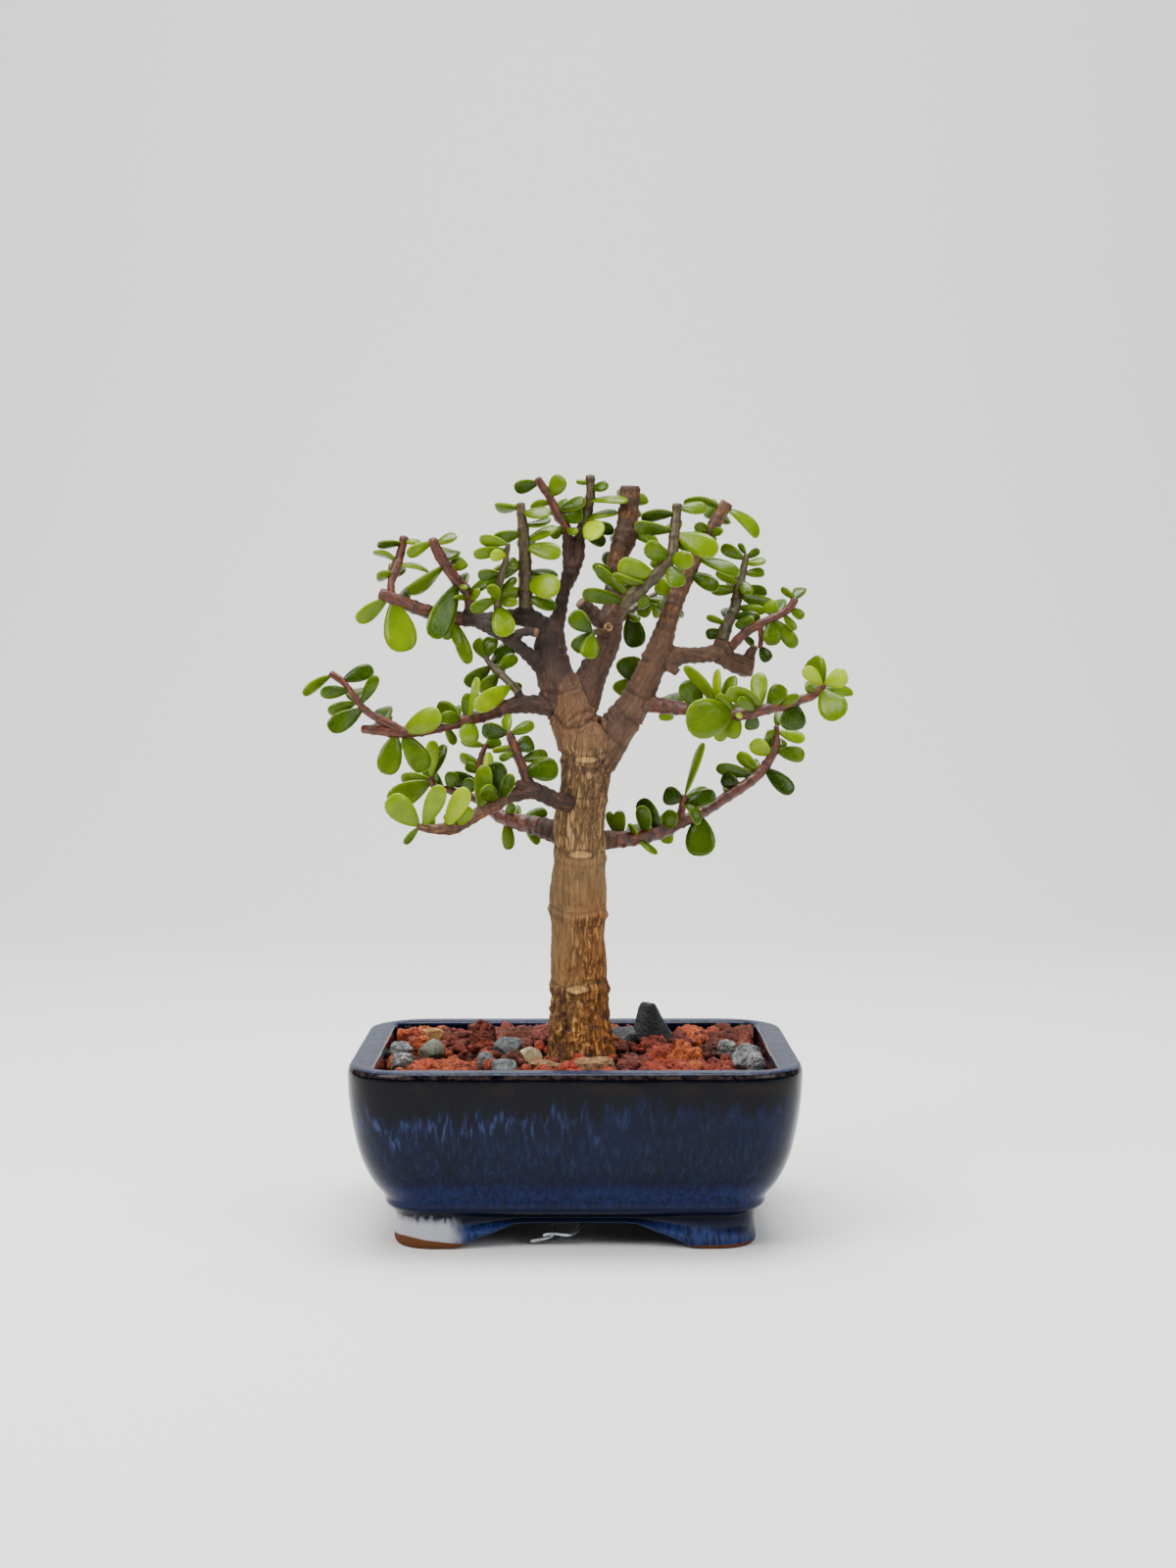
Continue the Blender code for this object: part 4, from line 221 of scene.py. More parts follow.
# Leafy stems: name, the limb it grows on from, its kind of bark, its points x, z, y, radius, its side shoots, and its
# leaves as base x, base z, tip x, tip z, the tip's lean away from the eye, width, roll, lightness of green in
# hundredths, partly the leaf's own green and partly painted light and shade, and its curl where it has one.
STEMS = (
    ("leafy_stem_far_left", "limb_left_upper", "stem_red", (
        (-43, 211, 3, 2.7), (-46.5, 211.8, 2, 2.6), (-52, 213.1, -1, 2.5), (-58, 215.2, -3, 2.4),
        (-64, 217.6, -5, 2.3), (-68.3, 219.3, -6, 2.1),
    ), (
        (
            (-63.6, 217.4, -5, 1.5), (-64.1, 222.5, -4, 1.3), (-62.4, 228, -2, 2), (-60.8, 233, 0, 1.5),
            (-59.3, 239.2, 1, 1.6),
        ),
    ), (
        (-65.5, 216, -76.2, 209.6, -3, 6.5, 30, 60), (-64, 216, -59.7, 199.2, -6, 12, 0, 60, -0.06),
        (-62.6, 226, -69.3, 225.2, -2, 6, 60, 50), (-62, 230, -70.4, 233.4, 1, 5.5, 70, 45, -0.12),
        (-59.8, 236.5, -68.8, 236, -4, 6, 62, 30), (-61.5, 228.5, -50.8, 226.3, 3, 7, 75, 55, 0.12),
        (-59.5, 237.2, -53.6, 237.1, -1, 4.5, 70, 55), (-45.5, 211.5, -44.6, 203.2, -4, 5, 20, 35),
        (-43.4, 211, -40.2, 200.6, -3, 4.4, 20, 50), (-43, 211, -37, 194.6, 1, 5.5, 15, 60),
    )),
    ("leafy_stem_left_red", "stub_left_red", "stem_red", (
        (-36.8, 218, 3, 2), (-38.6, 221, 2, 2), (-41.8, 224.4, 1, 2.1), (-45.3, 229.3, 0, 2.1), (-48.2, 234.4, -1, 2),
        (-50, 238.5, -2, 1.6),
    ), (), (
        (-47, 228, -58.6, 219.6, -3, 7.5, 55, 50, 0.05), (-49, 236.4, -41.2, 239.2, 1, 5.5, 55, 45),
        (-49.6, 237, -58.8, 232.8, -4, 5, 35, 60), (-41, 223, -49.9, 203.5, -9, 9.5, 15, 30),
        (-37.5, 219.5, -28.4, 224.2, -3, 5.5, 45, 30), (-37, 217, -42.3, 217.5, -5, 3, 40, 55, -0.1),
        (-37, 216.5, -33.2, 220.4, -6, 3.4, 40, 60), (-39.8, 221.8, -38.2, 220.8, -6, 3, 0, 45),
        (-44, 227.5, -38.5, 230.5, 8, 6, 20, 55),
    )),
    ("leafy_stem_left_inner", "stub_left_inner", "stem_green", (
        (-27, 218, -5, 1.5), (-26, 224, -8, 1.3), (-24.4, 230, -10, 1.1), (-23.3, 236.8, -11, 0.9),
    ), (), (
        (-23.5, 236.3, -33.4, 238.4, -1, 5, 30, 60), (-24, 234.5, -35.6, 232.9, -2, 4.6, 30, 55),
        (-24, 232.5, -29.2, 232.4, -5, 4.6, 15, 95), (-25.5, 226, -33.9, 225.7, 2, 4.6, 20, 35),
        (-26.8, 219, -20.2, 224.6, -2, 3.4, 20, 30), (-27, 217.5, -36.3, 213.4, -5, 4.8, 25, 40),
        (-27, 216.5, -29, 222.6, -4, 5, 20, 55), (-26.6, 215.8, -20.1, 216.2, -2, 4, 20, 55),
        (-26.8, 215.4, -23.8, 204.2, -3, 8.6, 0, 70), (-24.5, 229.5, -19.8, 229.8, 3, 4.5, 20, 30),
    )),
    ("leafy_stem_left_upright", "stub_left_upright", "stem_green", (
        (-17.4, 222, -1, 2.5), (-17.5, 232, -2, 2.3), (-18, 240, -3, 2.1), (-18.6, 246, -3, 1.7),
        (-19.1, 250.8, -3, 1.6),
    ), (), (
        (-19, 249, -28, 248.7, 2, 6, 62, 50), (-18.8, 247.3, -8.8, 246.6, -5, 6, 45, 45),
        (-18.3, 243, -8.4, 245, 1, 4.6, 60, 30, -0.08), (-18, 240.3, -28.6, 237.6, -4, 5.6, 35, 40),
        (-17.6, 235.8, -5.2, 232.9, -6, 7, 35, 55), (-17.8, 237, -6.4, 242.2, 4, 5.2, 40, 60),
        (-17.4, 222.5, -5.8, 221.2, -8, 9.2, 5, 75), (-17.4, 218, -6.8, 214.4, -3, 5.2, 20, 40),
        (-17.5, 226.5, -6, 225.8, 4, 5.4, 50, 30), (-17.5, 230.3, -28.8, 225.2, -4, 5.8, 20, 40),
        (-17.4, 220.5, -29.6, 217.4, -6, 6.8, 15, 60),
    )),
    ("leafy_stem_top_red", "limb_top_red", "stem_red", (
        (-3.6, 243.2, 6, 1.7), (-5.6, 245.8, 6, 1.9), (-7.3, 249, 6, 1.6), (-9, 252.7, 6, 1.4),
        (-11.5, 256.5, 6, 1.6), (-13.4, 259.3, 6, 1.4),
    ), (), (
        (-12.5, 257.6, -21.2, 255.5, -1, 5.5, 25, 30), (-9, 252.5, -4.2, 259.8, -3, 7, 15, 55),
        (-8.2, 250.5, -15.7, 248.7, 0, 4.4, 40, 55, -0.15), (-6.8, 248, 4, 251.2, -5, 5, 35, 30),
        (-5.8, 245.6, 2.6, 246.6, -2, 6.4, 15, 35), (-3.6, 242.6, -8.4, 238.9, -7, 4.2, 30, 35),
        (-3.2, 241.6, 0.6, 240.3, -6, 3.6, 30, 50),
    )),
    ("leafy_stem_top_centre", "limb_top_centre", "stem_green", (
        (2.7, 243, 6, 1.9), (4, 247.5, 5, 2.1), (5.3, 253, 4, 1.7), (5.3, 257, 4, 1.6), (5.2, 260.4, 4, 1.7),
    ), (), (
        (5.2, 257.5, 0.2, 258, 0, 2.4, 50, 50), (5.2, 255.6, 11.4, 256.6, -4, 4.4, 35, 30),
        (4.8, 251.2, 18, 251.3, -4, 7, 68, 50, 0.05), (3.4, 244.6, 14.9, 246.6, -3, 6, 60, 45, 0.08),
        (3.2, 243.6, 8.6, 239.4, -10, 8.6, 0, 92), (3, 242.6, 13.7, 241.4, 4, 5.4, 30, 35),
        (2.2, 241.2, 10.4, 236.2, -2, 5, 25, 15),
    )),
    ("leafy_stem_leader", "limb_centre", "bark_young", (
        (13.9, 223, 3, 3.7), (14.6, 229, 3, 3.9), (15.6, 234, 3, 3.8), (16.8, 236.6, 3, 4.1), (17.7, 240, 3, 4.4),
        (18.2, 243.4, 3, 3.8), (18.5, 247, 3, 3.9), (18.9, 250, 3, 3.5), (19, 253, 3, 3.8), (19.1, 256.4, 3, 3.5),
    ), (), (
        (18, 240.4, 29.2, 236.4, 3, 5.6, 40, 50, 0.08), (14.3, 227, 9.6, 233.4, 4, 4.6, 20, 15),
        (18.9, 250.5, 25.2, 252.6, 9, 5, 20, 45), (18.9, 252.5, 14.4, 253.6, 8, 4.4, 20, 45),
        (14.2, 224.8, 6.6, 229.2, -7, 5.2, 35, 35), (18.4, 245.5, 22.5, 248.5, 9, 5, 10, 35),
    )),
    ("leafy_stem_centre_right", "stub_centre_right", "stem_green", (
        (20.2, 218.6, -9, 2.6), (25, 222.8, -11, 2.4), (30, 227.5, -12, 2.3), (33.2, 231.2, -12, 2.1),
        (34.3, 236, -11, 2.1), (34.7, 242, -10, 1.9), (35.3, 247, -9, 1.7), (35.6, 250.6, -9, 1.8),
    ), (), (
        (19, 218, 7, 228.4, -4, 5, 40, 40), (27.5, 226, 14.7, 229.2, -7, 8, 10, 68),
        (25, 222.8, 13.4, 225.4, -5, 5.5, 62, 50, 0.05), (32.8, 230.8, 24.6, 235.8, -6, 6.8, 10, 50),
        (33.2, 231.4, 41.2, 230.2, -6, 6.6, 5, 55, 0.12), (32, 229.6, 36.8, 221.6, -6, 6.6, 5, 50),
        (35.2, 246.6, 23, 245.6, -4, 6, 45, 30, -0.06), (34.6, 241, 20.6, 243.6, -3, 5.6, 40, 35, 0.06),
        (35.4, 249, 45.8, 248.6, -3, 5.4, 38, 45), (34.6, 240, 49.4, 233.8, -6, 8.6, 15, 66),
        (34.3, 237, 41, 234.8, 2, 4.2, 10, 40), (17.5, 216.4, 2, 219.8, -5, 5.6, 15, 40),
        (22.5, 220.6, 24.5, 214, 5, 5, 10, 40),
    )),
    ("leafy_stem_centre_front", "stub_centre_front", "stem_green", (
        (7.2, 205.9, -11, 1.2), (5.8, 205.6, -13, 0.9),
    ), (), (
        (6, 205.6, 4.5, 196.4, -3, 6.8, 0, 45), (6, 205.6, -1.6, 212.4, -1, 7.4, 5, 35),
        (6.4, 205.7, -0.6, 199.2, 3, 6.6, 10, 25),
    )),
    ("leafy_stem_centre_back", "stub_centre_back", "stem_green", (
        (19.5, 213.2, 14, 1.4), (24, 216.6, 19, 1.2), (28.5, 219.4, 22, 0.9),
    ), (), (
        (19, 213, 21.4, 200.4, 2, 8.6, 5, 20), (26.5, 218, 22.6, 211.2, -3, 5.6, 10, 55),
        (24.5, 217, 31.2, 216.6, 1, 3.6, 40, 35), (18, 212.2, 22.4, 209.8, -4, 3.6, 20, 45),
        (28, 219, 28.6, 210.6, 4, 4.2, 30, 60), (24, 216.4, 17, 221.5, 7, 7, 20, 30),
        (28, 219, 33, 225, 7, 7, 10, 45),
    )),
    ("leafy_stem_right_leader", "limb_right", "bark_young", (
        (33.2, 212, 0, 3.3), (35, 217, 1, 3.2), (37.2, 222, 2, 3.1), (40.3, 228.5, 3, 2.8), (43, 233.5, 4, 2.4),
        (46.5, 239.5, 5, 2.4), (50, 246, 6, 2.4), (52.9, 250.8, 6, 2.3),
    ), (), (
        (51.5, 248.6, 37.6, 251.2, -3, 5.4, 55, 45, -0.12), (52, 248.8, 63.3, 238.4, 1, 7, 58, 55, 0.12),
        (47.2, 240.5, 41.6, 243.2, -5, 4.2, 10, 45), (46.8, 240, 51.4, 241, -6, 3.4, 10, 45),
        (42, 231.6, 57.3, 225.6, -8, 5.6, 35, 45, 0.05), (39.4, 226.6, 49.9, 221, -8, 5.8, 15, 30),
        (34.2, 214.6, 37.8, 211.2, 6, 3, 20, 45), (36, 219, 28, 222.5, 8, 6.6, 20, 55),
        (45, 237, 41.5, 241.5, 9, 6.5, 20, 35), (49, 244.5, 53.5, 246, 9, 6, 20, 35),
    )),
    ("leafy_stem_right_upper", "stub_right_upper", "stem_green", (
        (53, 208.5, 7, 2.2), (55.3, 213, 9, 2.1), (56.3, 218, 11, 1.9), (57.2, 222, 12, 1.8), (58.3, 226.5, 14, 1.5),
        (59.3, 231, 15, 1.2), (59.8, 233.2, 15, 0.9),
    ), (), (
        (59.2, 231, 50.8, 235.7, -1, 4.8, 15, 50), (59.5, 232.4, 57, 236.8, 1, 2.4, 10, 35),
        (59.3, 231.4, 64.2, 234.4, 0, 3.2, 20, 30), (59, 229.6, 66.5, 230.3, -2, 4.2, 45, 60),
        (58.2, 226.3, 66, 226.4, -1, 4.2, 45, 45), (53, 208.3, 45.8, 211.6, -3, 3, 45, 45),
        (52, 206, 45.4, 204.9, 0, 4.4, 15, 30), (51.7, 204.8, 39.6, 200.9, -6, 4, 40, 55),
        (55.6, 214.6, 66.5, 212.9, -3, 4, 15, 55), (54.5, 211.4, 64.5, 210.4, -5, 5, 10, 30),
        (56.4, 219, 70.9, 213.4, 6, 6, 15, 45), (57, 221, 66.8, 219.8, 9, 4.6, 15, 30),
        (57, 222, 49.2, 227, -3, 4.6, 35, 60), (57.6, 224, 60.8, 218.8, -6, 4.8, 10, 45),
        (56.8, 220.6, 47, 220.4, 2, 4.6, 20, 45),
    )),
    ("leafy_stem_right_outer", "stub_right_outer", "stem_red", (
        (59, 205.4, 1, 1.7), (64, 208.3, -1, 1.7), (68.5, 210.5, -2, 1.5), (72.5, 212.5, -2, 1.4),
        (75.4, 215, -2, 1.5), (76.8, 217.8, -2, 1.2),
    ), (
        ((64.4, 208, -1, 1.2), (64.9, 204, 0, 1), (64.4, 200.2, 0, 0.9)),
    ), (
        (76.6, 217.2, 71.8, 221.2, -1, 3.6, 50, 40), (74.6, 214.2, 79.7, 210.8, 0, 3.8, 20, 45),
        (72.4, 212.4, 76.7, 206.3, -1, 3.4, 30, 45), (68, 210.3, 69, 201.2, -3, 6.6, 5, 40),
        (69, 210.4, 77.2, 200.5, 1, 5.6, 10, 50), (64.5, 201, 67.6, 195.6, 1, 5, 10, 12),
        (58, 205, 62.4, 201.3, 2, 3, 20, 30), (70.5, 211.5, 66.8, 216.2, 2, 6, 10, 60),
        (61, 206.5, 57.4, 209.5, 6, 4.5, 20, 40), (76.4, 217, 79, 221.5, 6, 5, 20, 35),
    )),
    ("leafy_stem_right_middle", "limb_right_middle", "stem_red", (
        (33, 179.7, -4, 2.7), (39, 179, -7, 2.4), (46, 178.2, -11, 2.3), (52, 177.5, -14, 2.3), (57, 177.2, -16, 2.4),
        (62, 177.8, -17, 2.2), (66, 178.8, -18, 2.1), (71, 179.8, -18, 1.8), (77, 181.8, -18, 1.8),
        (82, 183.2, -18, 1.6), (85.2, 185.2, -18, 1.3), (87, 187.8, -18, 1),
    ), (), (
        (56, 177.2, 38.3, 174.6, -8, 14.6, 0, 50, 0.05), (44, 178.4, 38.2, 188.8, -2, 8.4, 5, 38),
        (50.5, 177.6, 38.4, 194.4, -5, 6, 40, 60, -0.08), (50, 177.8, 49.2, 193.2, 4, 4.6, 40, 75),
        (66.5, 179, 53, 185.6, -6, 7, 35, 60, -0.08), (63.5, 178.4, 57.2, 182.4, -1, 4.2, 10, 45),
        (56.5, 177.4, 49.4, 184, 0, 4.4, 15, 55), (67, 179, 72.6, 187.2, 0, 6.8, 20, 35),
        (71, 180, 78, 183.8, -3, 3.4, 20, 45), (57, 177.2, 54.4, 168.6, 0, 5.8, 10, 55),
        (55.5, 177.2, 49.4, 168, 3, 5.2, 10, 60), (62, 177.8, 61.6, 171.5, 3, 5.6, 10, 30),
        (76.5, 181.6, 75.8, 171.4, 1, 9.6, 5, 18), (57.4, 177.2, 57.2, 176.6, -5, 2.6, 0, 95),
        (86.4, 187, 82.6, 196.8, 5, 9.4, 25, 50), (86.4, 187, 80, 193.4, -4, 5.4, 10, 90),
        (86.8, 187.6, 95, 191, -4, 7.2, 5, 88), (85.6, 185.8, 97.3, 185.1, 4, 5, 40, 50),
        (86, 186.2, 92.4, 176, -8, 10.6, 5, 55), (84, 184.4, 80.7, 187.2, -1, 2.8, 20, 50),
        (31.5, 179.9, 31.9, 174.6, 4, 5.6, 5, 60), (31.5, 179.9, 31.5, 183.4, 5, 4.6, 5, 60),
        (64, 178.3, 64.4, 191.5, 7, 6.4, 20, 60), (52.5, 177.5, 54.5, 191, 8, 6.4, 30, 40),
    )),
    ("leafy_stem_left_middle", "limb_left_middle", "stem_red", (
        (-30, 177.4, -7, 2.5), (-38, 175.2, -9, 2.3), (-46, 173.2, -10, 2.2), (-54, 171.4, -11, 2.1),
        (-62, 170.8, -12, 2), (-69, 171.6, -12, 1.9), (-74.8, 172, -12, 1.5),
    ), (
        (
            (-60, 171, -12, 1.7), (-66, 174.4, -13, 1.5), (-71, 176.9, -14, 1.4), (-74.6, 180, -15, 1.3),
            (-77.6, 184, -15, 1.2), (-81, 188.3, -15, 1.2), (-85.6, 191.6, -15, 1.4),
        ),
    ), (
        (-81.5, 189, -70.3, 193, 2, 6.2, 15, 15), (-84.6, 191, -95.2, 184.1, -1, 5, 35, 50, -0.06),
        (-78.6, 185.4, -89, 184.7, -5, 5.2, 10, 30), (-75, 180.4, -69.2, 190.6, -4, 4.6, 20, 35),
        (-75.6, 181.6, -86.4, 177.9, 1, 4.6, 20, 45), (-73.8, 179.2, -86.2, 171.9, -5, 7.2, 5, 30),
        (-62.4, 170.8, -66.3, 156, -2, 9, 5, 50), (-60.4, 171, -52.2, 157.2, 2, 8.6, 10, 50),
        (-60.5, 171, -47.3, 177.2, -7, 8.8, 5, 70), (-40, 174.8, -48.4, 180.4, 4, 6.4, 35, 45, -0.15),
        (-39.4, 175, -47.2, 176.6, -6, 5.6, 15, 45), (-38.4, 175.2, -37.6, 184.6, -2, 4, 10, 45),
        (-37.6, 175.4, -33.2, 189.8, -6, 6, 60, 75), (-36.4, 175.6, -37.6, 167, -6, 7.6, 5, 65),
        (-45.5, 173.3, -42, 166.6, 4, 3.6, 20, 45), (-57, 171.2, -60, 165, 5, 4.2, 20, 60),
    )),
    ("leafy_stem_left_middle_shoot", "stub_left_middle", "stem_green", (
        (-23.5, 188.8, -1, 1.5), (-26.5, 191.6, 2, 1.4), (-29.4, 194.4, 4, 1.2), (-31.5, 197.4, 6, 0.9),
    ), (), (
        (-22, 187.2, -34.6, 179.5, -7, 7.4, 10, 80), (-29.2, 194, -38.4, 187.2, 2, 6.4, 15, 40),
        (-31, 196.6, -28.8, 204.4, 1, 6.2, 15, 35), (-29.6, 194.6, -21.6, 201.2, 4, 6.4, 15, 18),
        (-27.6, 192.6, -20.4, 197.4, 5, 5.2, 20, 45), (-26.6, 191.7, -33, 184.6, 3, 6.2, 15, 50),
        (-23, 188.4, -18.8, 185.6, 4, 3.6, 20, 40), (-30.5, 196, -34.6, 203.4, 5, 5.6, 15, 45),
    )),
    ("leafy_stem_low_left_front", "limb_low_left_front", "bark_young", (
        (-28.5, 145.4, -18, 2.7), (-33, 143, -20, 2.4), (-38, 140, -23, 2.4), (-43, 137.6, -26, 2.7),
        (-48, 137, -29, 1.9), (-52, 137.3, -31, 1.6), (-55.3, 138, -32, 1.2),
    ), (), (
        (-54.6, 137.8, -60, 131.8, -2, 3.4, 40, 40), (-53.4, 137.5, -46.4, 152.2, -6, 7.2, 10, 66),
        (-54.4, 137.8, -65.4, 148, -5, 9.2, 5, 66), (-45.8, 137.2, -37.6, 151.4, -5, 7.2, 5, 92),
        (-42.6, 137.8, -36.2, 144.4, -7, 5, 10, 60), (-49.5, 137, -51.6, 144.6, 3, 4.2, 20, 50),
        (-33.4, 142.8, -31.6, 159.4, -3, 6.6, 10, 50), (-30.2, 144.5, -30.4, 164.2, 4, 4, 20, 85),
        (-27.2, 146, -27.6, 160.8, -2, 8.4, 5, 15), (-26.8, 146.4, -32.4, 151.6, -6, 6.2, 10, 35),
        (-25.8, 147.2, -22, 156.4, -4, 4.8, 15, 30),
    )),
    ("leafy_stem_low_left_up", "stub_low_left_up", "stem_red", (
        (-18.6, 159, -14, 1.8), (-20.5, 163.5, -15, 1.8), (-22.2, 168, -16, 1.6), (-23.4, 171.4, -17, 1.2),
    ), (), (
        (-23, 170.2, -14.3, 173.8, -2, 4.6, 15, 45), (-21, 165.5, -14.6, 167.4, 5, 6.6, 10, 15),
        (-19.2, 161, -9.6, 163.6, 6, 4.8, 20, 35), (-18, 157.6, -5.9, 158, -4, 8.8, 10, 35),
        (-23, 170.6, -32.8, 171.8, 1, 6.8, 15, 20), (-21.4, 166, -29, 164.2, -2, 3.6, 50, 50),
        (-20.6, 163.8, -26.6, 161.6, -3, 3.4, 30, 45), (-23.2, 171, -24.4, 177, 7, 4.6, 20, 60),
    )),
    ("leafy_stem_low_left_back", "limb_low_left_back", "stem_red", (
        (-20, 139.4, 12, 2.9), (-26, 141.4, 16, 2.5), (-30, 144.8, 19, 2), (-32.4, 149.5, 21, 1.6),
        (-33.4, 155, 22, 1.3), (-33.2, 161, 23, 1.2), (-31, 167, 24, 0.9),
    ), (
        (
            (-30.5, 145.6, 19, 1.6), (-37, 148.4, 20, 1.5), (-44, 150.6, 20, 1.4), (-49.6, 152.2, 19, 1.2),
            (-50.4, 155.4, 18, 1),
        ),
    ), (
        (-24, 140.8, -23.3, 129.7, 1, 5, 10, 55), (-18, 138.9, -12.8, 131.8, -1, 4.2, 20, 60),
        (-18, 139, -9.4, 139.8, 3, 4, 50, 30), (-20, 139.6, -9.8, 143.6, -1, 5, 25, 35),
        (-24, 141, -21.8, 146, -2, 3.6, 15, 35), (-33, 153, -44.4, 155.2, -1, 6.4, 15, 15),
        (-33.3, 157, -38.4, 159.6, 2, 4.4, 15, 40), (-33.2, 160, -40.8, 162.4, 6, 4.6, 15, 60),
        (-31.4, 166, -40, 168, 1, 4.6, 45, 60), (-31.6, 165.4, -26.4, 168.6, 4, 5.6, 15, 40),
        (-50.2, 153.6, -65.6, 146.4, -4, 9.4, 10, 55), (-50.2, 154.2, -61, 154.9, 2, 5.6, 20, 55),
        (-50.3, 155, -49.6, 168.2, -3, 5, 20, 70), (-50, 155, -45.4, 166.6, 3, 5.4, 30, 18),
        (-44, 150.6, -42.8, 157.2, 0, 5.4, 10, 35), (-38, 148.8, -36.4, 154.6, -4, 5.4, 20, 30),
        (-46, 151, -53, 158.5, 7, 6, 20, 40), (-29, 144, -25.5, 151.5, 6, 6.4, 20, 30),
    )),
    ("leafy_stem_low_right", "limb_low_right", "stem_red", (
        (20, 133.7, 10, 2.8), (26, 134.8, 13, 2.5), (31, 136.4, 16, 2.6), (36, 139.2, 19, 2.5),
        (41.5, 141.3, 21, 2.2), (46, 143.7, 23, 2), (52, 147.6, 25, 2), (58, 151.5, 27, 2), (63.5, 155.6, 29, 1.9),
        (67.5, 160.6, 31, 1.7), (69.8, 165, 32, 1.4), (70.3, 170, 33, 1.2), (70.2, 173.4, 33, 0.9),
    ), (
        ((36.2, 139.6, 19, 1.7), (37.4, 144.4, 16, 1.4), (38.4, 149, 14, 1.1)),
    ), (
        (15.8, 133.4, 15.3, 143.6, 3, 5, 10, 40), (15.4, 133.3, 11.6, 143, 6, 3.8, 15, 40),
        (21.6, 134, 19.3, 138.8, -7, 3.8, 50, 45), (21.8, 134, 28.2, 127.9, -6, 5, 55, 45),
        (30, 136, 22.6, 147.4, 0, 8, 20, 20), (25.2, 134.7, 23.2, 145, -5, 6, 10, 35),
        (30.6, 136.4, 34.8, 143.2, -3, 6.4, 15, 40), (33.2, 137.6, 31.5, 131.8, 1, 5, 10, 55),
        (38, 147.2, 30.8, 149.4, 1, 7.4, 5, 20), (38.3, 148.6, 44.8, 167.4, -2, 6.4, 66, 50),
        (38.2, 148, 47.2, 150.8, 6, 5, 20, 45), (37.8, 146, 49.2, 149.2, -1, 6.4, 15, 18),
        (37.8, 145.8, 43.2, 138.8, -6, 4.6, 40, 30, 0.22), (43.4, 142.4, 44, 127.4, -4, 11.6, 0, 35),
        (63, 155.2, 49.2, 158.8, -3, 5.8, 20, 35, -0.05), (58, 151.5, 51.2, 155.4, 0, 6, 15, 15),
        (64.5, 157, 56.8, 163.6, 2, 5.2, 15, 60), (68.6, 162.8, 61.6, 167.6, -2, 7, 10, 80),
        (66, 158.6, 76.2, 149.6, -2, 7, 10, 15), (69.6, 164.6, 80.4, 162.4, 1, 6.2, 15, 40),
        (70.2, 171.4, 80.3, 168, -3, 5, 20, 70), (70.2, 171.4, 66.8, 169.4, 0, 3.8, 20, 40),
        (70.2, 172.6, 72.4, 178.4, 5, 5, 20, 40), (69.4, 164, 72.6, 168.2, 5, 5.6, 20, 45),
    )),
    ("leafy_stem_right_back", "stub_right_back", "stem_green", (
        (19.6, 188.4, 14, 1.4), (18.6, 190.6, 18, 1.1),
    ), (), (
        (19.8, 188.2, 18.6, 197.4, -1, 10.2, 5, 40), (19, 189.6, 14.2, 184.4, 2, 6.4, 10, 55),
        (18.8, 190.2, 24.5, 188, 6, 8, 20, 55),
    )),
)

# Loose stones on the bed: name, kind, middle x, y, size along x, y, z, and turn in degrees.
STONES = (
    ("pumice_left_back", "pumice", -62.0, 7.0, 7.4, 6.4, 6.2, 20),
    ("pumice_left_front", "pumice", -59.6, -23.0, 7.6, 6.6, 6.6, -15),
    ("pebble_olive", "olive", -50.6, 1.0, 8.6, 7.6, 8.2, 0),
    ("chip_tan", "tan", -51.5, 31.0, 8.8, 4.6, 6.4, 8),
    ("lava_ball_dark", "lava_dark", -33.6, 17.0, 9.2, 8.8, 12.2, 30),
    ("stone_grey_angular", "grey", -23.6, 1.0, 8.8, 7.6, 8.4, 12),
    ("stone_grey_small", "grey", -30.2, -14.0, 5.6, 5.0, 5.4, 40),
    ("stone_grey_front", "grey", -24.4, -31.0, 7.6, 6.0, 5.6, -20),
    ("pebble_pale", "pale", -15.6, -7.0, 8.0, 6.4, 7.2, 0),
    ("bark_chip_left", "bark", -9.0, -24.0, 11.0, 6.0, 4.2, -8),
    ("bark_chip_centre", "bark", 6.6, -23.0, 13.0, 6.4, 5.0, 6),
    ("stone_dark_right", "slate", 18.6, 23.0, 10.0, 7.4, 9.2, 5),
    ("slate_chip_upright", "slate", 28.6, 27.0, 9.6, 4.6, 17.5, -10),
    ("pumice_right_back", "pumice", 54.6, 5.0, 7.6, 6.0, 6.6, 10),
    ("pumice_right_long", "pumice", 58.2, -11.5, 11.6, 6.6, 7.6, 35),
    ("pumice_right_front", "pumice", 60.6, -28.0, 6.6, 6.6, 7.4, -25),
)

# Marks on the trunk, in millimetres: x, z of a pale cut scar as seen, its half-width and half-height. The last one
# is round, a rim with a dark hollow.
SCARS = ((0.8, 80.5, 2.6, 1.1), (1.8, 128.0, 2.9, 0.95), (4.0, 161.3, 2.7, 0.8), (11.5, 207.5, 1.2, 1.2))
# Ring ridges round the trunk: height, how far they stand out, half-width. Wrinkles: from, to, and their step.
RIDGES = ((81.0, 0.5, 1.6), (107.5, 0.7, 1.2), (127.4, 0.55, 1.6), (147.0, 0.45, 1.2), (161.0, 0.5, 1.8))
WRINKLES = (171.0, 179.0, 1.45)
# Ring lines across the fork and the limbs' feet, each through these places as seen.
FORK_RINGS = (
    ((-12.0, 183.0), (-8.0, 177.5), (-3.5, 172.2), (2.0, 172.8), (8.2, 177.8)),
    ((8.2, 174.5), (12.0, 169.5), (16.5, 166.0)),
    ((14.5, 189.0), (20.0, 184.5), (28.2, 181.0)), ((-14.0, 186.0), (-7.0, 184.0), (0.4, 186.3)),
    ((13.0, 181.0), (18.0, 176.0), (23.5, 172.6)), ((19.0, 197.5), (25.5, 195.5)), ((22.0, 207.0), (29.0, 205.0)),
    ((-20.0, 197.5), (-13.0, 199.5)), ((-4.5, 199.0), (4.0, 197.0)),
)
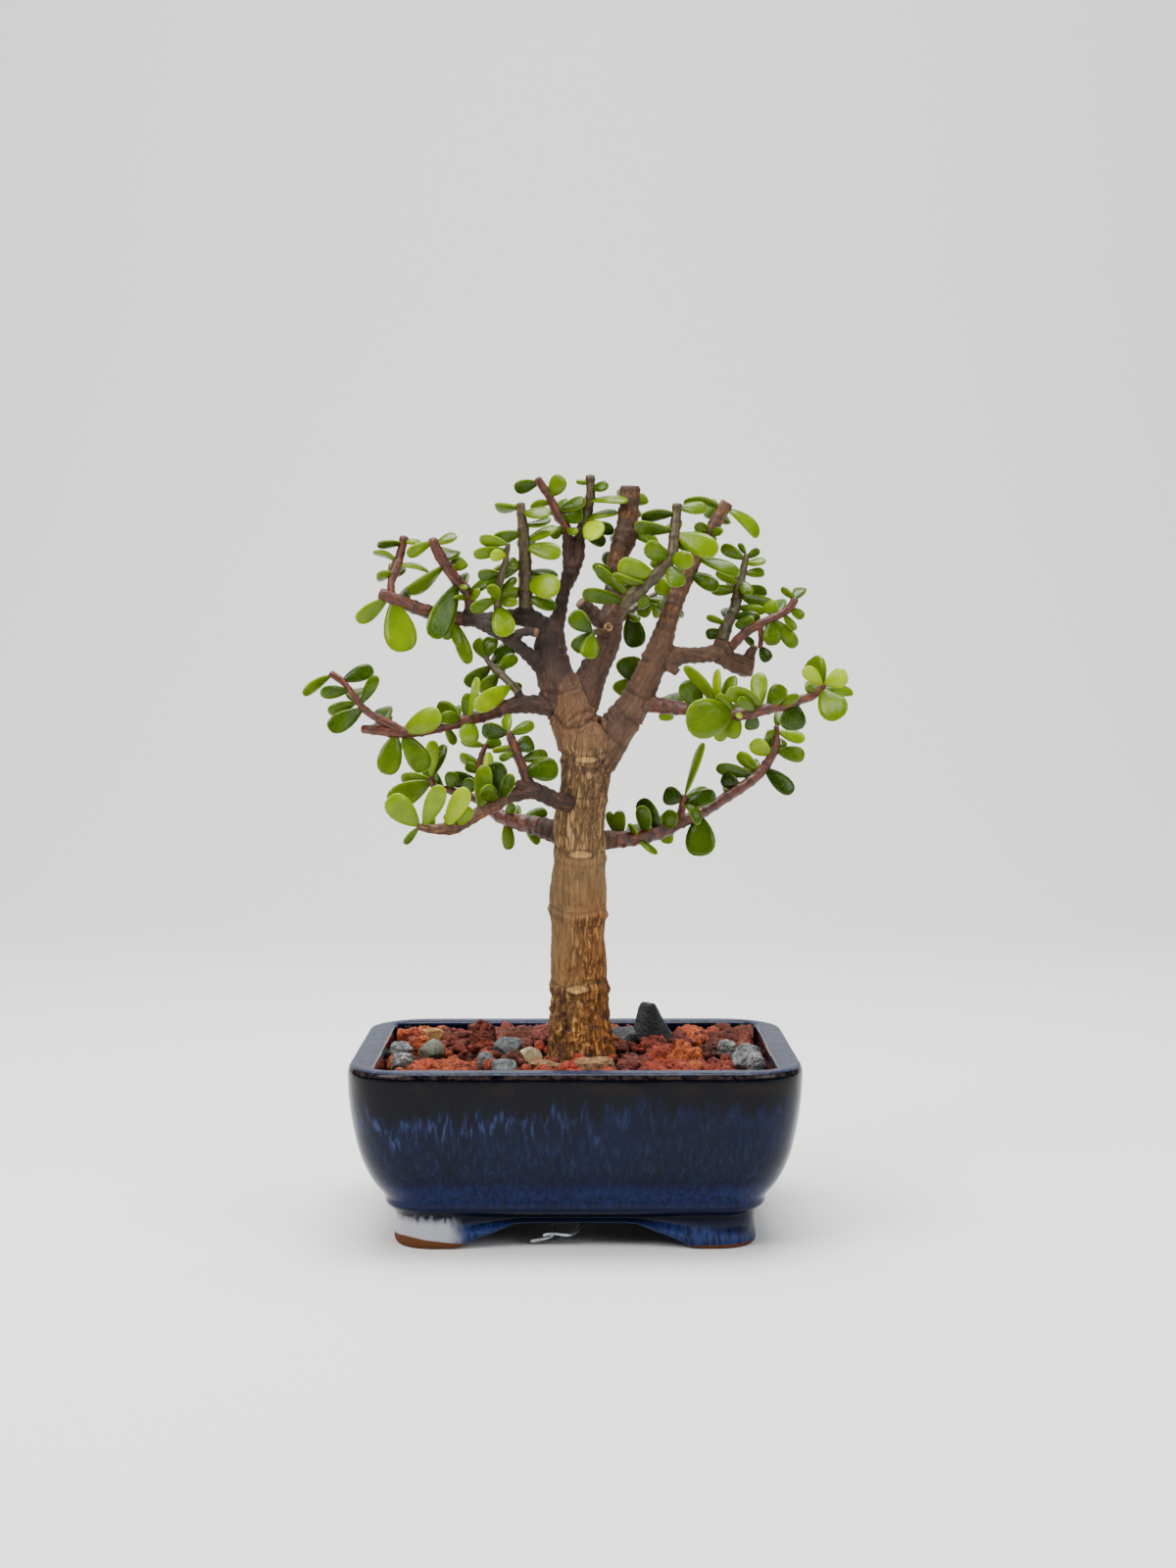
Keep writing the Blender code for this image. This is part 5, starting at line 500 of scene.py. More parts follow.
# How deep the cork is split, from 0 to 1, at each height.
CORK = (
    (50, 0.9), (80, 0.9), (84, 0.5), (106, 0.5), (110, 0.25), (127, 0.3), (130, 0.75), (146, 0.75), (149, 1.0),
    (160, 1.0), (168, 0.4), (190, 0.3),
)
# Brown sawn ends of stubs, as seen: x, z, y and radius.
SAWN_ENDS = ((-12.8, 205.3, -9.0, 2.2), (1.6, 216.6, -6.0, 2.7), (62.8, 201.2, 6.0, 1.9), (62.3, 193.4, 6.0, 3.0))

# Colours of the lava grit as seen: x, z and colour. Each stone takes the nearest.
LAVA_COLOURS = (
    (-57, 57, "#B8552C"), (-46.5, 63, "#BE6A35"), (-46, 57, "#A5552F"), (-43, 64, "#7C3B2C"), (-36, 58, "#8A4038"),
    (-30, 57, "#9A4A34"), (-20, 54, "#7F4A3C"), (-14, 66, "#7B4440"), (-10, 55, "#A94C30"), (-2, 56, "#B9452A"),
    (9.5, 54.5, "#B24A2C"), (15, 60, "#8E5038"), (22, 62, "#8B3A2A"), (21, 55.5, "#80403A"), (31, 59.5, "#A84A2E"),
    (34.5, 67, "#8C3428"), (36, 63, "#6E2C22"), (32, 54, "#A4482F"), (40.5, 58, "#C26A32"), (46.5, 65.5, "#B3592F"),
    (54, 65, "#7E4030"), (48, 58, "#6A3326"), (51, 53.5, "#96402F"), (65.5, 60.5, "#9C4430"), (60, 54, "#8A4A34"),
    (-64, 53, "#A85834"), (0, 70, "#8A4434"), (-50, 70, "#8F4A36"), (30, 75, "#8E4632"),
)


def linear(hex_colour, alpha=True):
    """An sRGB hex colour as linear red, green and blue, and alpha where it is asked for."""
    parts = [int(hex_colour[i : i + 2], 16) / 255 for i in (1, 3, 5)]
    parts = [p / 12.92 if p <= 0.04045 else ((p + 0.055) / 1.055) ** 2.4 for p in parts]
    return parts + [1.0] if alpha else parts


def colour_property(name, description, hex_colour):
    """A colour that a user can change, from its sRGB hex value."""
    return FloatVectorProperty(
        name=name, description=description, default=linear(hex_colour, False), subtype="COLOR", min=0.0, max=1.0
    )


class PotSettings(bpy.types.PropertyGroup):
    waviness: FloatProperty(
        name="Waviness", description="How far the thrown wall strays from true", default=0.25 * MM, unit="LENGTH"
    )
    glaze_dark: colour_property("Dark glaze", "Where the glaze pools", "#03071C")
    glaze_body: colour_property("Glaze", "The navy of the wall", "#080F2C")
    glaze_light: colour_property("Run glaze", "Where the glaze has run thin", "#35426E")


class GritSettings(bpy.types.PropertyGroup):
    filler_count: IntProperty(name="Small grit", description="Small lava bits between the stones", default=520, min=0)
    filler_size: FloatProperty(
        name="Small grit size", description="Half-size of a small bit", default=2.5 * MM, unit="LENGTH"
    )


class TreeSettings(bpy.types.PropertyGroup):
    bark_voxel: FloatProperty(
        name="Bark detail", description="Size of the trunk's faces", default=0.56 * MM, unit="LENGTH"
    )
    leaf_middle: colour_property("Leaf green", "A leaf in full light", "#4C6400")
    leaf_dark: colour_property("Shaded leaf", "A leaf turned from the light", "#182A04")
    leaf_young: colour_property("Young leaf", "A new leaf near a tip", "#9CB400")


class StageSettings(bpy.types.PropertyGroup):
    floor_colour: colour_property("Floor", "Pale studio paper", "#F0F0EE")
    light_power: FloatProperty(name="Light", description="Power of the main soft light", default=22.0, unit="POWER")


def wire_up(tree, shader_node, values):
    """Sets or links a shader node's inputs, each by its name or number."""
    for key, value in values.items():
        if isinstance(value, bpy.types.NodeSocket):
            tree.links.new(value, shader_node.inputs[key])
        else:
            shader_node.inputs[key].default_value = value


def add(tree, kind, values=None, stops=None, out=0, **settings):
    """Adds a shader node with its settings, values and links, and gives the output asked for.

    A kind in capitals is an operation of the Math node.
    """
    if kind.isupper():
        kind, settings = "Math", {"operation": kind}
    made = tree.nodes.new("ShaderNode" + kind)
    for key, value in settings.items():
        setattr(made, key, value)
    if stops:
        ramp = made.color_ramp
        while len(ramp.elements) < len(stops):
            ramp.elements.new(0.5)
        for element, (place, colour) in zip(ramp.elements, stops):
            element.position = place
            element.color = linear(colour) if isinstance(colour, str) else colour
    wire_up(tree, made, values or {})
    return made.outputs[out]


def met(tree, share, *others):
    """The share where all of these meet."""
    for other in others:
        share = add(tree, "MULTIPLY", {0: share, 1: other})
    return share


def coat(tree, colour, tint, *shares):
    """The colour with a tint laid over it where all the shares meet."""
    tint = linear(tint) if isinstance(tint, str) else tint
    return add(tree, "Mix", {0: met(tree, *shares), 6: colour, 7: tint}, out=2, data_type="RGBA")


def new_material(name):
    """An empty material, its tree, its Principled shader and the place on the object."""
    made = bpy.data.materials.new(name)
    made.use_nodes = True
    tree = made.node_tree
    return made, tree, tree.nodes["Principled BSDF"], add(tree, "TexCoord", out="Object")


def deselect():
    bpy.ops.object.select_all(action="DESELECT")


def only(target):
    """Makes this object the one that operators act on."""
    deselect()
    target.select_set(True)
    bpy.context.view_layer.objects.active = target


def places_of(target):
    found = np.empty(len(target.data.vertices) * 3)
    target.data.vertices.foreach_get("co", found)
    return found.reshape(-1, 3)


def put_places(target, places):
    target.data.vertices.foreach_set("co", np.asarray(places, dtype=np.float32).ravel())
    target.data.update()


def write_attribute(target, name, values, kind="FLOAT"):
    """Stores one value or one colour a point, for the material to read."""
    layer = target.data.attributes.new(name, kind, "POINT")
    key = {"FLOAT": "value", "FLOAT_VECTOR": "vector", "FLOAT_COLOR": "color"}[kind]
    layer.data.foreach_set(key, np.asarray(values, dtype=np.float32).ravel())


def select_edges(target, wanted):
    """In edit mode, selects the edges that pass the test, and nothing else."""
    bpy.ops.mesh.select_mode(type="EDGE")
    bpy.ops.mesh.select_all(action="DESELECT")
    shape = bmesh.from_edit_mesh(target.data)
    for edge in shape.edges:
        edge.select_set(wanted(edge))
    bmesh.update_edit_mesh(target.data)


def turn_outwards():
    """Turns every face outwards, and goes back from edit mode."""
    bpy.ops.mesh.select_all(action="SELECT")
    bpy.ops.mesh.normals_make_consistent(inside=False)
    bpy.ops.object.mode_set(mode="OBJECT")


def apply_modifier(target, kind, **settings):
    """Adds a modifier and makes it part of the mesh."""
    only(target)
    modifier = target.modifiers.new(kind, kind)
    for key, value in settings.items():
        setattr(modifier, key, value)
    bpy.ops.object.modifier_apply(modifier=modifier.name)


def joined(parts, name):
    """One object from several, under this name."""
    deselect()
    for part in parts:
        part.select_set(True)
    bpy.context.view_layer.objects.active = parts[0]
    if len(parts) > 1:
        bpy.ops.object.join()
    whole = bpy.context.object
    whole.name = name
    whole.data.name = name
    return whole


def finish_piece(piece, name, slot, *nodes):
    """Names a piece, shades it smooth, ties it to its body and hides the solids that it stands for; its slot is not
    used.
    """
    piece.name = name
    piece.data.name = name
    only(piece)
    bpy.ops.object.shade_smooth()
    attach(piece, "root")
    if nodes:
        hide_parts(*nodes)


def point_noise(places, scale, seed=0.0):
    """Perlin noise at each place, its features about this many millimetres wide."""
    step = 1.0 / scale
    return np.array([noise.noise((x * step + seed, y * step, z * step)) for x, y, z in places])


# ---- Finishes


def glazed_stoneware():
    """Wood-fired blue glaze, poured: a glass skin that mirrors soft light, dark where it pools, pale where it ran."""
    settings = bpy.context.scene.bonsai_pot
    made, tree, shader, place = new_material("Glazed stoneware, poured blue")
    x, y, z = (add(tree, "SeparateXYZ", {0: place}, out=k) for k in range(3))
    normal_z = add(tree, "SeparateXYZ", {0: add(tree, "NewGeometry", out="Normal")}, out=2)
    mottle = add(tree, "TexNoise", {"Vector": place, "Scale": 420.0, "Detail": 5.0, "Roughness": 0.65})
    clouds = add(tree, "TexNoise", {"Vector": place, "Scale": 46.0, "Detail": 3.0, "Distortion": 0.6})
    streak_place = add(tree, "Mapping", {"Vector": place, "Scale": (230.0, 230.0, 26.0)})
    streaks = add(tree, "TexNoise", {"Vector": streak_place, "Scale": 1.0, "Detail": 4.0, "Roughness": 0.6})
    both = add(tree, "MapRange", {0: add(tree, "ADD", {0: mottle, 1: clouds}), 1: 0.84, 2: 1.22})
    body = coat(tree, (*settings.glaze_dark, 1.0), (*settings.glaze_body, 1.0), both)

    def band(value, low, high, fade):
        """A share that rises over the first fade above low and falls over the last below high."""
        rise = add(tree, "MapRange", {0: value, 1: low, 2: low + fade}, **SOFT)
        fall = add(tree, "MapRange", {0: value, 1: high - fade, 2: high, 3: 1.0, 4: 0.0}, **SOFT)
        return met(tree, rise, fall)

    light = (*settings.glaze_light, 1.0)
    absolute_x = add(tree, "ABSOLUTE", {0: x})
    absolute_y = add(tree, "ABSOLUTE", {0: y})
    outside = add(tree, "MAXIMUM", {0: add(tree, "GREATER_THAN", {0: absolute_x, 1: 0.0685}),
                                    1: add(tree, "GREATER_THAN", {0: absolute_y, 1: 0.0535})})
    # Under the lip the glaze pools almost black; its lower edge is drawn down in drips.
    drips = add(tree, "ADD", {0: z, 1: met(tree, add(tree, "SUBTRACT", {0: streaks, 1: 0.5}), 0.03)})
    bow = add(tree, "MapRange", {0: x, 1: -0.075, 2: 0.03, 3: 0.0435, 4: 0.0485})
    over_line = add(tree, "SUBTRACT", {0: drips, 1: bow})
    pooled = met(tree, add(tree, "MapRange", {0: over_line, 1: -0.001, 2: 0.005, 4: 0.9}, **SOFT), outside)
    colour = coat(tree, body, "#040409", pooled)
    # The runs are thin pale threads along that edge, strongest on the left.
    left = add(tree, "MapRange", {0: x, 1: 0.030, 2: -0.03, 3: 0.16, 4: 1.0})
    near_line = add(tree, "MapRange", {0: add(tree, "ABSOLUTE", {0: add(tree, "ADD", {0: over_line, 1: 0.0015})}),
                                       1: 0.0048, 2: 0.0004}, **SOFT)
    thread_place = add(tree, "Mapping", {"Vector": place, "Scale": (760.0, 760.0, 120.0)})
    threads = add(tree, "TexNoise", {"Vector": thread_place, "Scale": 1.0, "Detail": 3.0, "Roughness": 0.6})
    runs = met(tree, near_line, add(tree, "MapRange", {0: threads, 1: 0.44, 2: 0.72}, **SOFT), left, outside)
    colour = coat(tree, colour, light, runs, 0.7)
    haze = met(tree, band(z, 0.018, 0.046, 0.012), add(tree, "MapRange", {0: threads, 1: 0.46, 2: 0.7}, **SOFT), 0.13)
    colour = coat(tree, colour, light, haze, outside)
    brown = met(tree, band(z, 0.0535, 0.0588, 0.0025), add(tree, "MapRange", {0: clouds, 1: 0.42, 2: 0.6}, **SOFT),
                0.6)
    colour = coat(tree, colour, "#1C100C", brown, outside)
    # The ledge and the edges of the feet shed their glaze and come out lighter.
    ledge = met(tree, band(z, 0.0125, 0.025, 0.005), add(tree, "MapRange", {0: threads, 1: 0.2, 2: 0.8}, **SOFT),
                0.55)
    colour = coat(tree, colour, "#1C2A60", ledge)
    # Painted shade: the band under the ledge, where the wall draws in, is darkened almost to black.
    shade_under_ledge = met(tree, band(z, 0.0088, 0.0134, 0.0012), 0.8)
    colour = coat(tree, colour, "#060914", shade_under_ledge)
    # The lip's level top holds a thin pale skin of glaze.
    level = met(tree, add(tree, "MapRange", {0: normal_z, 1: 0.55, 2: 0.93}, **SOFT),
                add(tree, "MapRange", {0: z, 1: 0.0595, 2: 0.0607}, **SOFT))
    rim = add(tree, "ValToRGB", {0: threads}, [(0.3, "#0B1020"), (0.5, "#182038"), (0.72, "#3A4462")])
    colour = coat(tree, colour, rim, level)
    lip_edge = met(tree, band(z, 0.0592, 0.0612, 0.0007), add(tree, "MapRange", {0: mottle, 1: 0.36, 2: 0.7}, **SOFT),
                   outside)
    colour = coat(tree, colour, "#4E4038", lip_edge, 0.5)
    # Painted shade: inside the pot, the wall above the filling is darkened almost to black up to the lip's top.
    inner = met(tree, add(tree, "SUBTRACT", {0: 1.0, 1: outside}),
                add(tree, "MapRange", {0: z, 1: 0.045, 2: 0.05}, **SOFT))
    shade_in = met(tree, inner, add(tree, "MapRange", {0: z, 1: 0.06, 2: 0.0612, 3: 0.85, 4: 0.0}))
    colour = coat(tree, colour, "#05070F", shade_in)
    # Feet: pale edges, a thick milky run on the left one, and bare fired clay at the bottom.
    arch_x = add(tree, "MapRange", {0: absolute_x, 1: 0.062, 2: 0.020, 3: 0.0005, 4: 0.0105})
    over_arch = add(tree, "SUBTRACT", {0: z, 1: arch_x})
    foot_edge = met(tree, add(tree, "MapRange", {0: over_arch, 1: 0.0045, 2: 0.0005}, **SOFT),
                    add(tree, "MapRange", {0: threads, 1: 0.3, 2: 0.6}, **SOFT), 0.75)
    foot_edge = met(tree, foot_edge, add(tree, "MapRange", {0: z, 1: 0.0098, 2: 0.0058}))
    colour = coat(tree, colour, "#2B3A6C", foot_edge)
    wave_x = add(tree, "ADD", {0: x, 1: met(tree, clouds, 0.022)})
    milky_x = add(tree, "MapRange", {0: wave_x, 1: -0.026, 2: -0.034}, **SOFT)
    front = add(tree, "MapRange", {0: y, 1: -0.03, 2: -0.036}, **SOFT)
    milky_z = add(tree, "MapRange", {0: add(tree, "SUBTRACT", {0: z, 1: met(tree, threads, 0.006)}), 1: 0.0085,
                                     2: 0.0045}, **SOFT)
    milky = met(tree, milky_x, front, milky_z)
    colour = coat(tree, colour, "#A8A9B2", milky, 0.9)
    bare_top = add(tree, "MapRange", {0: x, 1: -0.030, 2: -0.056, 3: 0.0006, 4: 0.0030})
    bare_line = add(tree, "ADD", {0: bare_top, 1: met(tree, clouds, 0.0016)})
    bare = add(tree, "MapRange", {0: add(tree, "SUBTRACT", {0: z, 1: bare_line}), 1: 0.0003, 2: -0.0002})
    colour = coat(tree, colour, "#5A3620", bare)
    cells = {"Vector": place, "Scale": 130.0}
    dots = add(tree, "TexVoronoi", cells)
    specks = add(tree, "MapRange", {0: dots, 1: 0.05, 2: 0.03})
    rare = add(tree, "TexWhiteNoise", {"Vector": add(tree, "TexVoronoi", cells, out="Position")})
    few = add(tree, "GREATER_THAN", {0: rare, 1: 0.93})
    colour = coat(tree, colour, "#C9CDDC", specks, few, 0.5)
    thin_skin = add(tree, "MapRange", {0: level, 3: 0.07, 4: 0.42})
    rough = add(tree, "Mix", {0: bare, 2: thin_skin, 3: 0.8}, out=0)
    waves = add(tree, "TexNoise", {"Vector": place, "Scale": 60.0, "Detail": 2.0})
    bump = add(tree, "Bump", {"Height": waves, "Distance": 0.0016, "Strength": 0.25})
    fine = add(tree, "Bump", {"Height": mottle, "Distance": 0.00025, "Strength": 0.25, "Normal": bump})
    wire_up(tree, shader, {"Base Color": colour, "Roughness": rough, "Normal": fine, "IOR": 1.48,
                           "Specular IOR Level": 0.13})
    return made


def rock(name, ramp, patch_mm, pit_mm, pit_depth, roughness, attribute=None):
    """A stone's finish: patches of colour of this size, pits or grains of that size, dry or smooth."""
    made, tree, shader, place = new_material(name)
    patches = add(tree, "TexNoise", {"Vector": place, "Scale": 1000.0 / patch_mm, "Detail": 6.0, "Roughness": 0.65})
    colour = add(tree, "ValToRGB", {0: patches}, ramp)
    if attribute:
        own = add(tree, "Attribute", attribute_name=attribute)
        colour = add(tree, "Mix", {0: 1.0, 6: own, 7: colour}, out=2, data_type="RGBA", blend_type="MULTIPLY")
    pores = add(tree, "TexVoronoi", {"Vector": place, "Scale": 1000.0 / pit_mm, "Randomness": 1.0})
    pits = add(tree, "MapRange", {0: pores, 1: 0.12, 2: 0.5}, **SOFT)
    # Painted shade: the pits are darkened towards a third of the stone's colour.
    shade = add(tree, "MapRange", {0: pits, 3: 0.45, 4: 1.0})
    colour = coat(tree, add(tree, "HueSaturation", {"Value": 0.35, "Color": colour}), colour, shade)
    crumbs = add(tree, "TexNoise", {"Vector": place, "Scale": 1400.0, "Detail": 4.0, "Roughness": 0.7})
    bump = add(tree, "Bump", {"Height": pits, "Distance": pit_depth * MM, "Strength": 0.9})
    fine = add(tree, "Bump", {"Height": crumbs, "Distance": max(0.5 * pit_depth, 0.2) * MM,
                              "Strength": 0.7, "Normal": bump})
    wire_up(tree, shader, {"Base Color": colour, "Roughness": roughness, "Normal": fine})
    return made


def rocks():
    """The stones' finishes by kind. Pores and grains are drawn at 0.6 mm or more, so that they show."""
    return {
        # Red scoria, crushed: dry, matt and full of gas holes; each stone's own colour is multiplied in.
        "lava": rock("Lava grit, crushed", [(0.3, "#7E5E4C"), (0.5, "#CBAE96"), (0.7, "#FFDFB4")],
                     5.0, 1.3, 0.95, 0.92, "stone_colour"),
        # The same scoria in a dense dark lump with large open pores.
        "lava_dark": rock("Lava stone, dark", [(0.35, "#3A140A"), (0.55, "#662614"), (0.72, "#944224")],
                          5.0, 1.7, 1.1, 0.9),
        # Pumice, riddled with holes: dusty grey, no gloss at all.
        "pumice": rock("Pumice, broken", [(0.35, "#4E5152"), (0.55, "#777A79"), (0.72, "#989A96")],
                       4.0, 1.1, 0.8, 0.95),
        # A river pebble, tumbled: smooth with a faint sheen and a green-grey grain.
        "olive": rock("Pebble, tumbled", [(0.35, "#4C4F44"), (0.55, "#6C6E5E"), (0.7, "#85866F")],
                      3.0, 0.8, 0.12, 0.62),
        "tan": rock("Sandstone chip", [(0.35, "#7A5730"), (0.55, "#9C7240"), (0.7, "#B8925C")], 4.0, 0.8, 0.2, 0.85),
        "grey": rock("Granite chip, broken", [(0.35, "#3E4344"), (0.52, "#5F6567"), (0.7, "#80847F")], 2.2, 0.9, 0.3,
                     0.82),
        # A quartz pebble: cream, closed surface, a little light at its edges.
        "pale": rock("Quartz pebble, tumbled", [(0.35, "#9A8A60"), (0.55, "#BDAF84"), (0.7, "#D6CCA8")], 4.0, 1.4, 0.1,
                     0.5),
        "bark": rock("Pine bark chip", [(0.35, "#4E3524"), (0.5, "#7F5C3B"), (0.68, "#A68154")], 3.0, 1.0, 0.35, 0.88),
        # Slate, split: dark with the faint silk of its cleavage.
        "slate": rock("Slate, split", [(0.35, "#1A1E20"), (0.52, "#303538"), (0.6, "#46494A"), (0.68, "#5A2A1E")],
                      6.0, 1.1, 0.2, 0.6),
        "soil": rock("Potting mix", [(0.35, "#211812"), (0.55, "#3A2B20"), (0.72, "#5A4632")], 2.5, 1.1, 0.6, 0.95),
    }


def moulded_plastic():
    """Polyethylene mesh, moulded: dull black with a soft highlight."""
    made, tree, shader, place = new_material("Polyethylene, moulded")
    tint = add(tree, "ValToRGB", {0: add(tree, "TexNoise", {"Vector": place, "Scale": 300.0})},
               [(0.3, "#191A1B"), (0.7, "#26282A")])
    grain = add(tree, "TexNoise", {"Vector": place, "Scale": 1500.0})
    bump = add(tree, "Bump", {"Height": grain, "Distance": 0.0001, "Strength": 0.4})
    wire_up(tree, shader, {"Base Color": tint, "Roughness": 0.5, "Normal": bump})
    return made


def drawn_aluminium():
    """Aluminium wire, drawn and left bare: bright metal with fine scratches that blur its highlight."""
    made, tree, shader, place = new_material("Aluminium, drawn")
    wear = add(tree, "TexNoise", {"Vector": place, "Scale": 900.0, "Detail": 4.0})
    tint = add(tree, "ValToRGB", {0: wear}, [(0.3, "#A9ACB0"), (0.7, "#D2D4D6")])
    rough = add(tree, "MapRange", {0: wear, 3: 0.22, 4: 0.42})
    bump = add(tree, "Bump", {"Height": wear, "Distance": 0.00008, "Strength": 0.5})
    wire_up(tree, shader, {"Base Color": tint, "Metallic": 1.0, "Roughness": rough, "Normal": bump})
    return made


def old_bark():
    """The trunk's bark, grown and weathered: matt, corky and golden low down, smoother and purple-brown on limbs."""
    made, tree, shader, place = new_material("Bark, old")
    x = add(tree, "SeparateXYZ", {0: place}, out=0)
    z = add(tree, "SeparateXYZ", {0: place}, out=2)
    grain = add(tree, "Attribute", attribute_name="grain", out="Vector")
    girth, scar, crease, sawn, furrow = (
        add(tree, "Attribute", attribute_name=key, out="Fac") for key in ("girth", "scar", "crease", "sawn", "furrow")
    )
    broad = add(tree, "TexNoise", {"Vector": place, "Scale": 110.0, "Detail": 5.0, "Roughness": 0.6})
    wander = met(tree, add(tree, "SUBTRACT", {0: broad, 1: 0.5}), 0.05)
    height = add(tree, "ADD", {0: z, 1: wander})
    by_height = add(tree, "MapRange", {0: height, 1: 0.050, 2: 0.190})
    main = add(tree, "ValToRGB", {0: by_height}, [
        (0.0, "#A66C38"), (0.12, "#C49452"), (0.22, "#B08C58"), (0.36, "#987A52"), (0.46, "#8D7652"), (0.58, "#AA8A5E"),
        (0.68, "#9C8058"), (0.8, "#9A7A5A"), (0.92, "#906E56"),
    ])
    fibre_place = add(tree, "Mapping", {"Vector": grain, "Scale": (1.1, 1.1, 0.2)})
    fibres = add(tree, "TexNoise", {"Vector": fibre_place, "Scale": 1.0, "Detail": 6.0, "Roughness": 0.68,
                                    "Distortion": 0.5})
    # Pale corky ridges a millimetre wide wander up between dark grooves.
    vein_place = add(tree, "Mapping", {"Vector": grain, "Scale": (0.62, 0.62, 0.13)})
    veins = add(tree, "TexNoise", {"Vector": vein_place, "Scale": 1.0, "Detail": 4.0, "Roughness": 0.6,
                                   "Distortion": 0.9})
    grooved = add(tree, "ValToRGB", {0: veins}, [
        (0.34, "#FFF6E0"), (0.43, "#DCC8A4"), (0.5, "#584028"), (0.57, "#CDB692"), (0.68, "#FAEBCE"),
    ])
    smooth = add(tree, "ValToRGB", {0: fibres}, [(0.34, "#77644C"), (0.5, "#AF9B7E"), (0.66, "#D6C8AC")])
    worn = add(tree, "MapRange", {0: furrow, 1: 0.25, 2: 0.7})
    light = coat(tree, smooth, grooved, worn)
    main = add(tree, "Mix", {0: 0.9, 6: main, 7: light}, out=2, data_type="RGBA", blend_type="MULTIPLY")
    main = add(tree, "Mix", {0: 0.5, 6: main, 7: main}, out=2, data_type="RGBA", blend_type="SCREEN")
    limb = add(tree, "ValToRGB", {0: add(tree, "Mix", {0: 0.4, 2: fibres, 3: broad}, out=0)}, [
        (0.4, "#1E0F09"), (0.5, "#3A2014"), (0.6, "#573522"), (0.72, "#7A5A42"),
    ])
    thick = add(tree, "MapRange", {0: girth, 1: 6.6, 2: 8.6}, **SOFT)
    # The left limbs stand in the crown's shade and stay darker.
    left = met(tree, add(tree, "MapRange", {0: x, 1: 0.0, 2: -0.012, 4: 0.6}), add(tree, "MapRange", {0: z, 1: 0.186,
            2: 0.196}))
    limb = coat(tree, limb, "#1C0D06", left)
    # Painted light: limbs to the right take the trunk's lighter colour, as if in full light.
    sunny = add(tree, "MapRange", {0: x, 1: 0.002, 2: 0.022, 3: 0.0, 4: 0.45})
    limb = coat(tree, limb, main, sunny)
    golden = add(tree, "MapRange", {0: x, 1: -0.004, 2: 0.008})
    golden = met(tree, golden, add(tree, "MapRange", {0: z, 1: 0.122, 2: 0.105, 4: 0.6}))
    main = add(tree, "Mix", {0: golden, 6: main, 7: linear("#F2B560")}, out=2, data_type="RGBA",
               blend_type="SOFT_LIGHT")
    colour = coat(tree, limb, main, thick)
    # Flakes below: dark red-brown patches where the cork has come away.
    flakes = add(tree, "TexVoronoi", {"Vector": place, "Scale": 240.0}, feature="F1")
    low = add(tree, "MapRange", {0: height, 1: 0.098, 2: 0.07}, **SOFT)
    bare = add(tree, "MapRange", {0: add(tree, "TexNoise", {"Vector": place, "Scale": 260.0, "Detail": 5.0,
                                                            "Roughness": 0.7}), 1: 0.52, 2: 0.6})
    colour = coat(tree, colour, "#5A3020", bare, low)
    cracks = add(tree, "MapRange", {0: flakes, 1: 0.5, 2: 0.8})
    colour = coat(tree, colour, "#4A2C1C", cracks, low, 0.5)
    # Creases and grooves hold shade and dirt.
    colour = coat(tree, colour, "#3A2618", crease, 0.8)
    pale = add(tree, "ValToRGB", {0: fibres}, [(0.35, "#A87C42"), (0.6, "#D6AC66")])
    colour = coat(tree, colour, pale, scar)
    colour = coat(tree, colour, "#7C5E40", sawn)
    off_groove = add(tree, "ABSOLUTE", {0: add(tree, "SUBTRACT", {0: veins, 1: 0.5})})
    ridges = add(tree, "MapRange", {0: off_groove, 1: 0.0, 2: 0.1}, **SOFT)
    ridges = add(tree, "ADD", {0: met(tree, ridges, furrow), 1: fibres})
    bump = add(tree, "Bump", {"Height": ridges, "Distance": 0.0009, "Strength": 1.0})
    grit = add(tree, "TexNoise", {"Vector": place, "Scale": 1300.0, "Detail": 3.0})
    fine = add(tree, "Bump", {"Height": grit, "Distance": 0.00025, "Strength": 0.6, "Normal": bump})
    rough = add(tree, "MapRange", {0: thick, 3: 0.62, 4: 0.84})
    wire_up(tree, shader, {"Base Color": colour, "Roughness": rough, "Normal": fine})
    return made


# Each kind of stem skin: its name, roughness and colours.
STEM_SKINS = {
    # Young bark: brown with orange-tan between its ring seams.
    "bark_young": ("Bark, young", 0.6, ((0.3, "#26150A"), (0.48, "#4C2D14"), (0.62, "#7A4C20"), (0.75, "#A67238"))),
    # Red-brown skin, still smooth and glossy, with streaks along it.
    "stem_red": ("Stem skin, red", 0.42, ((0.3, "#260C03"), (0.48, "#4A1D0A"), (0.62, "#6E3214"), (0.75, "#95582A"))),
    # Olive-brown skin, the green still showing.
    "stem_green": (
        "Stem skin, olive", 0.42, ((0.3, "#231C0A"), (0.48, "#3E3214"), (0.62, "#57481E"), (0.75, "#6E6830")),
    ),
}


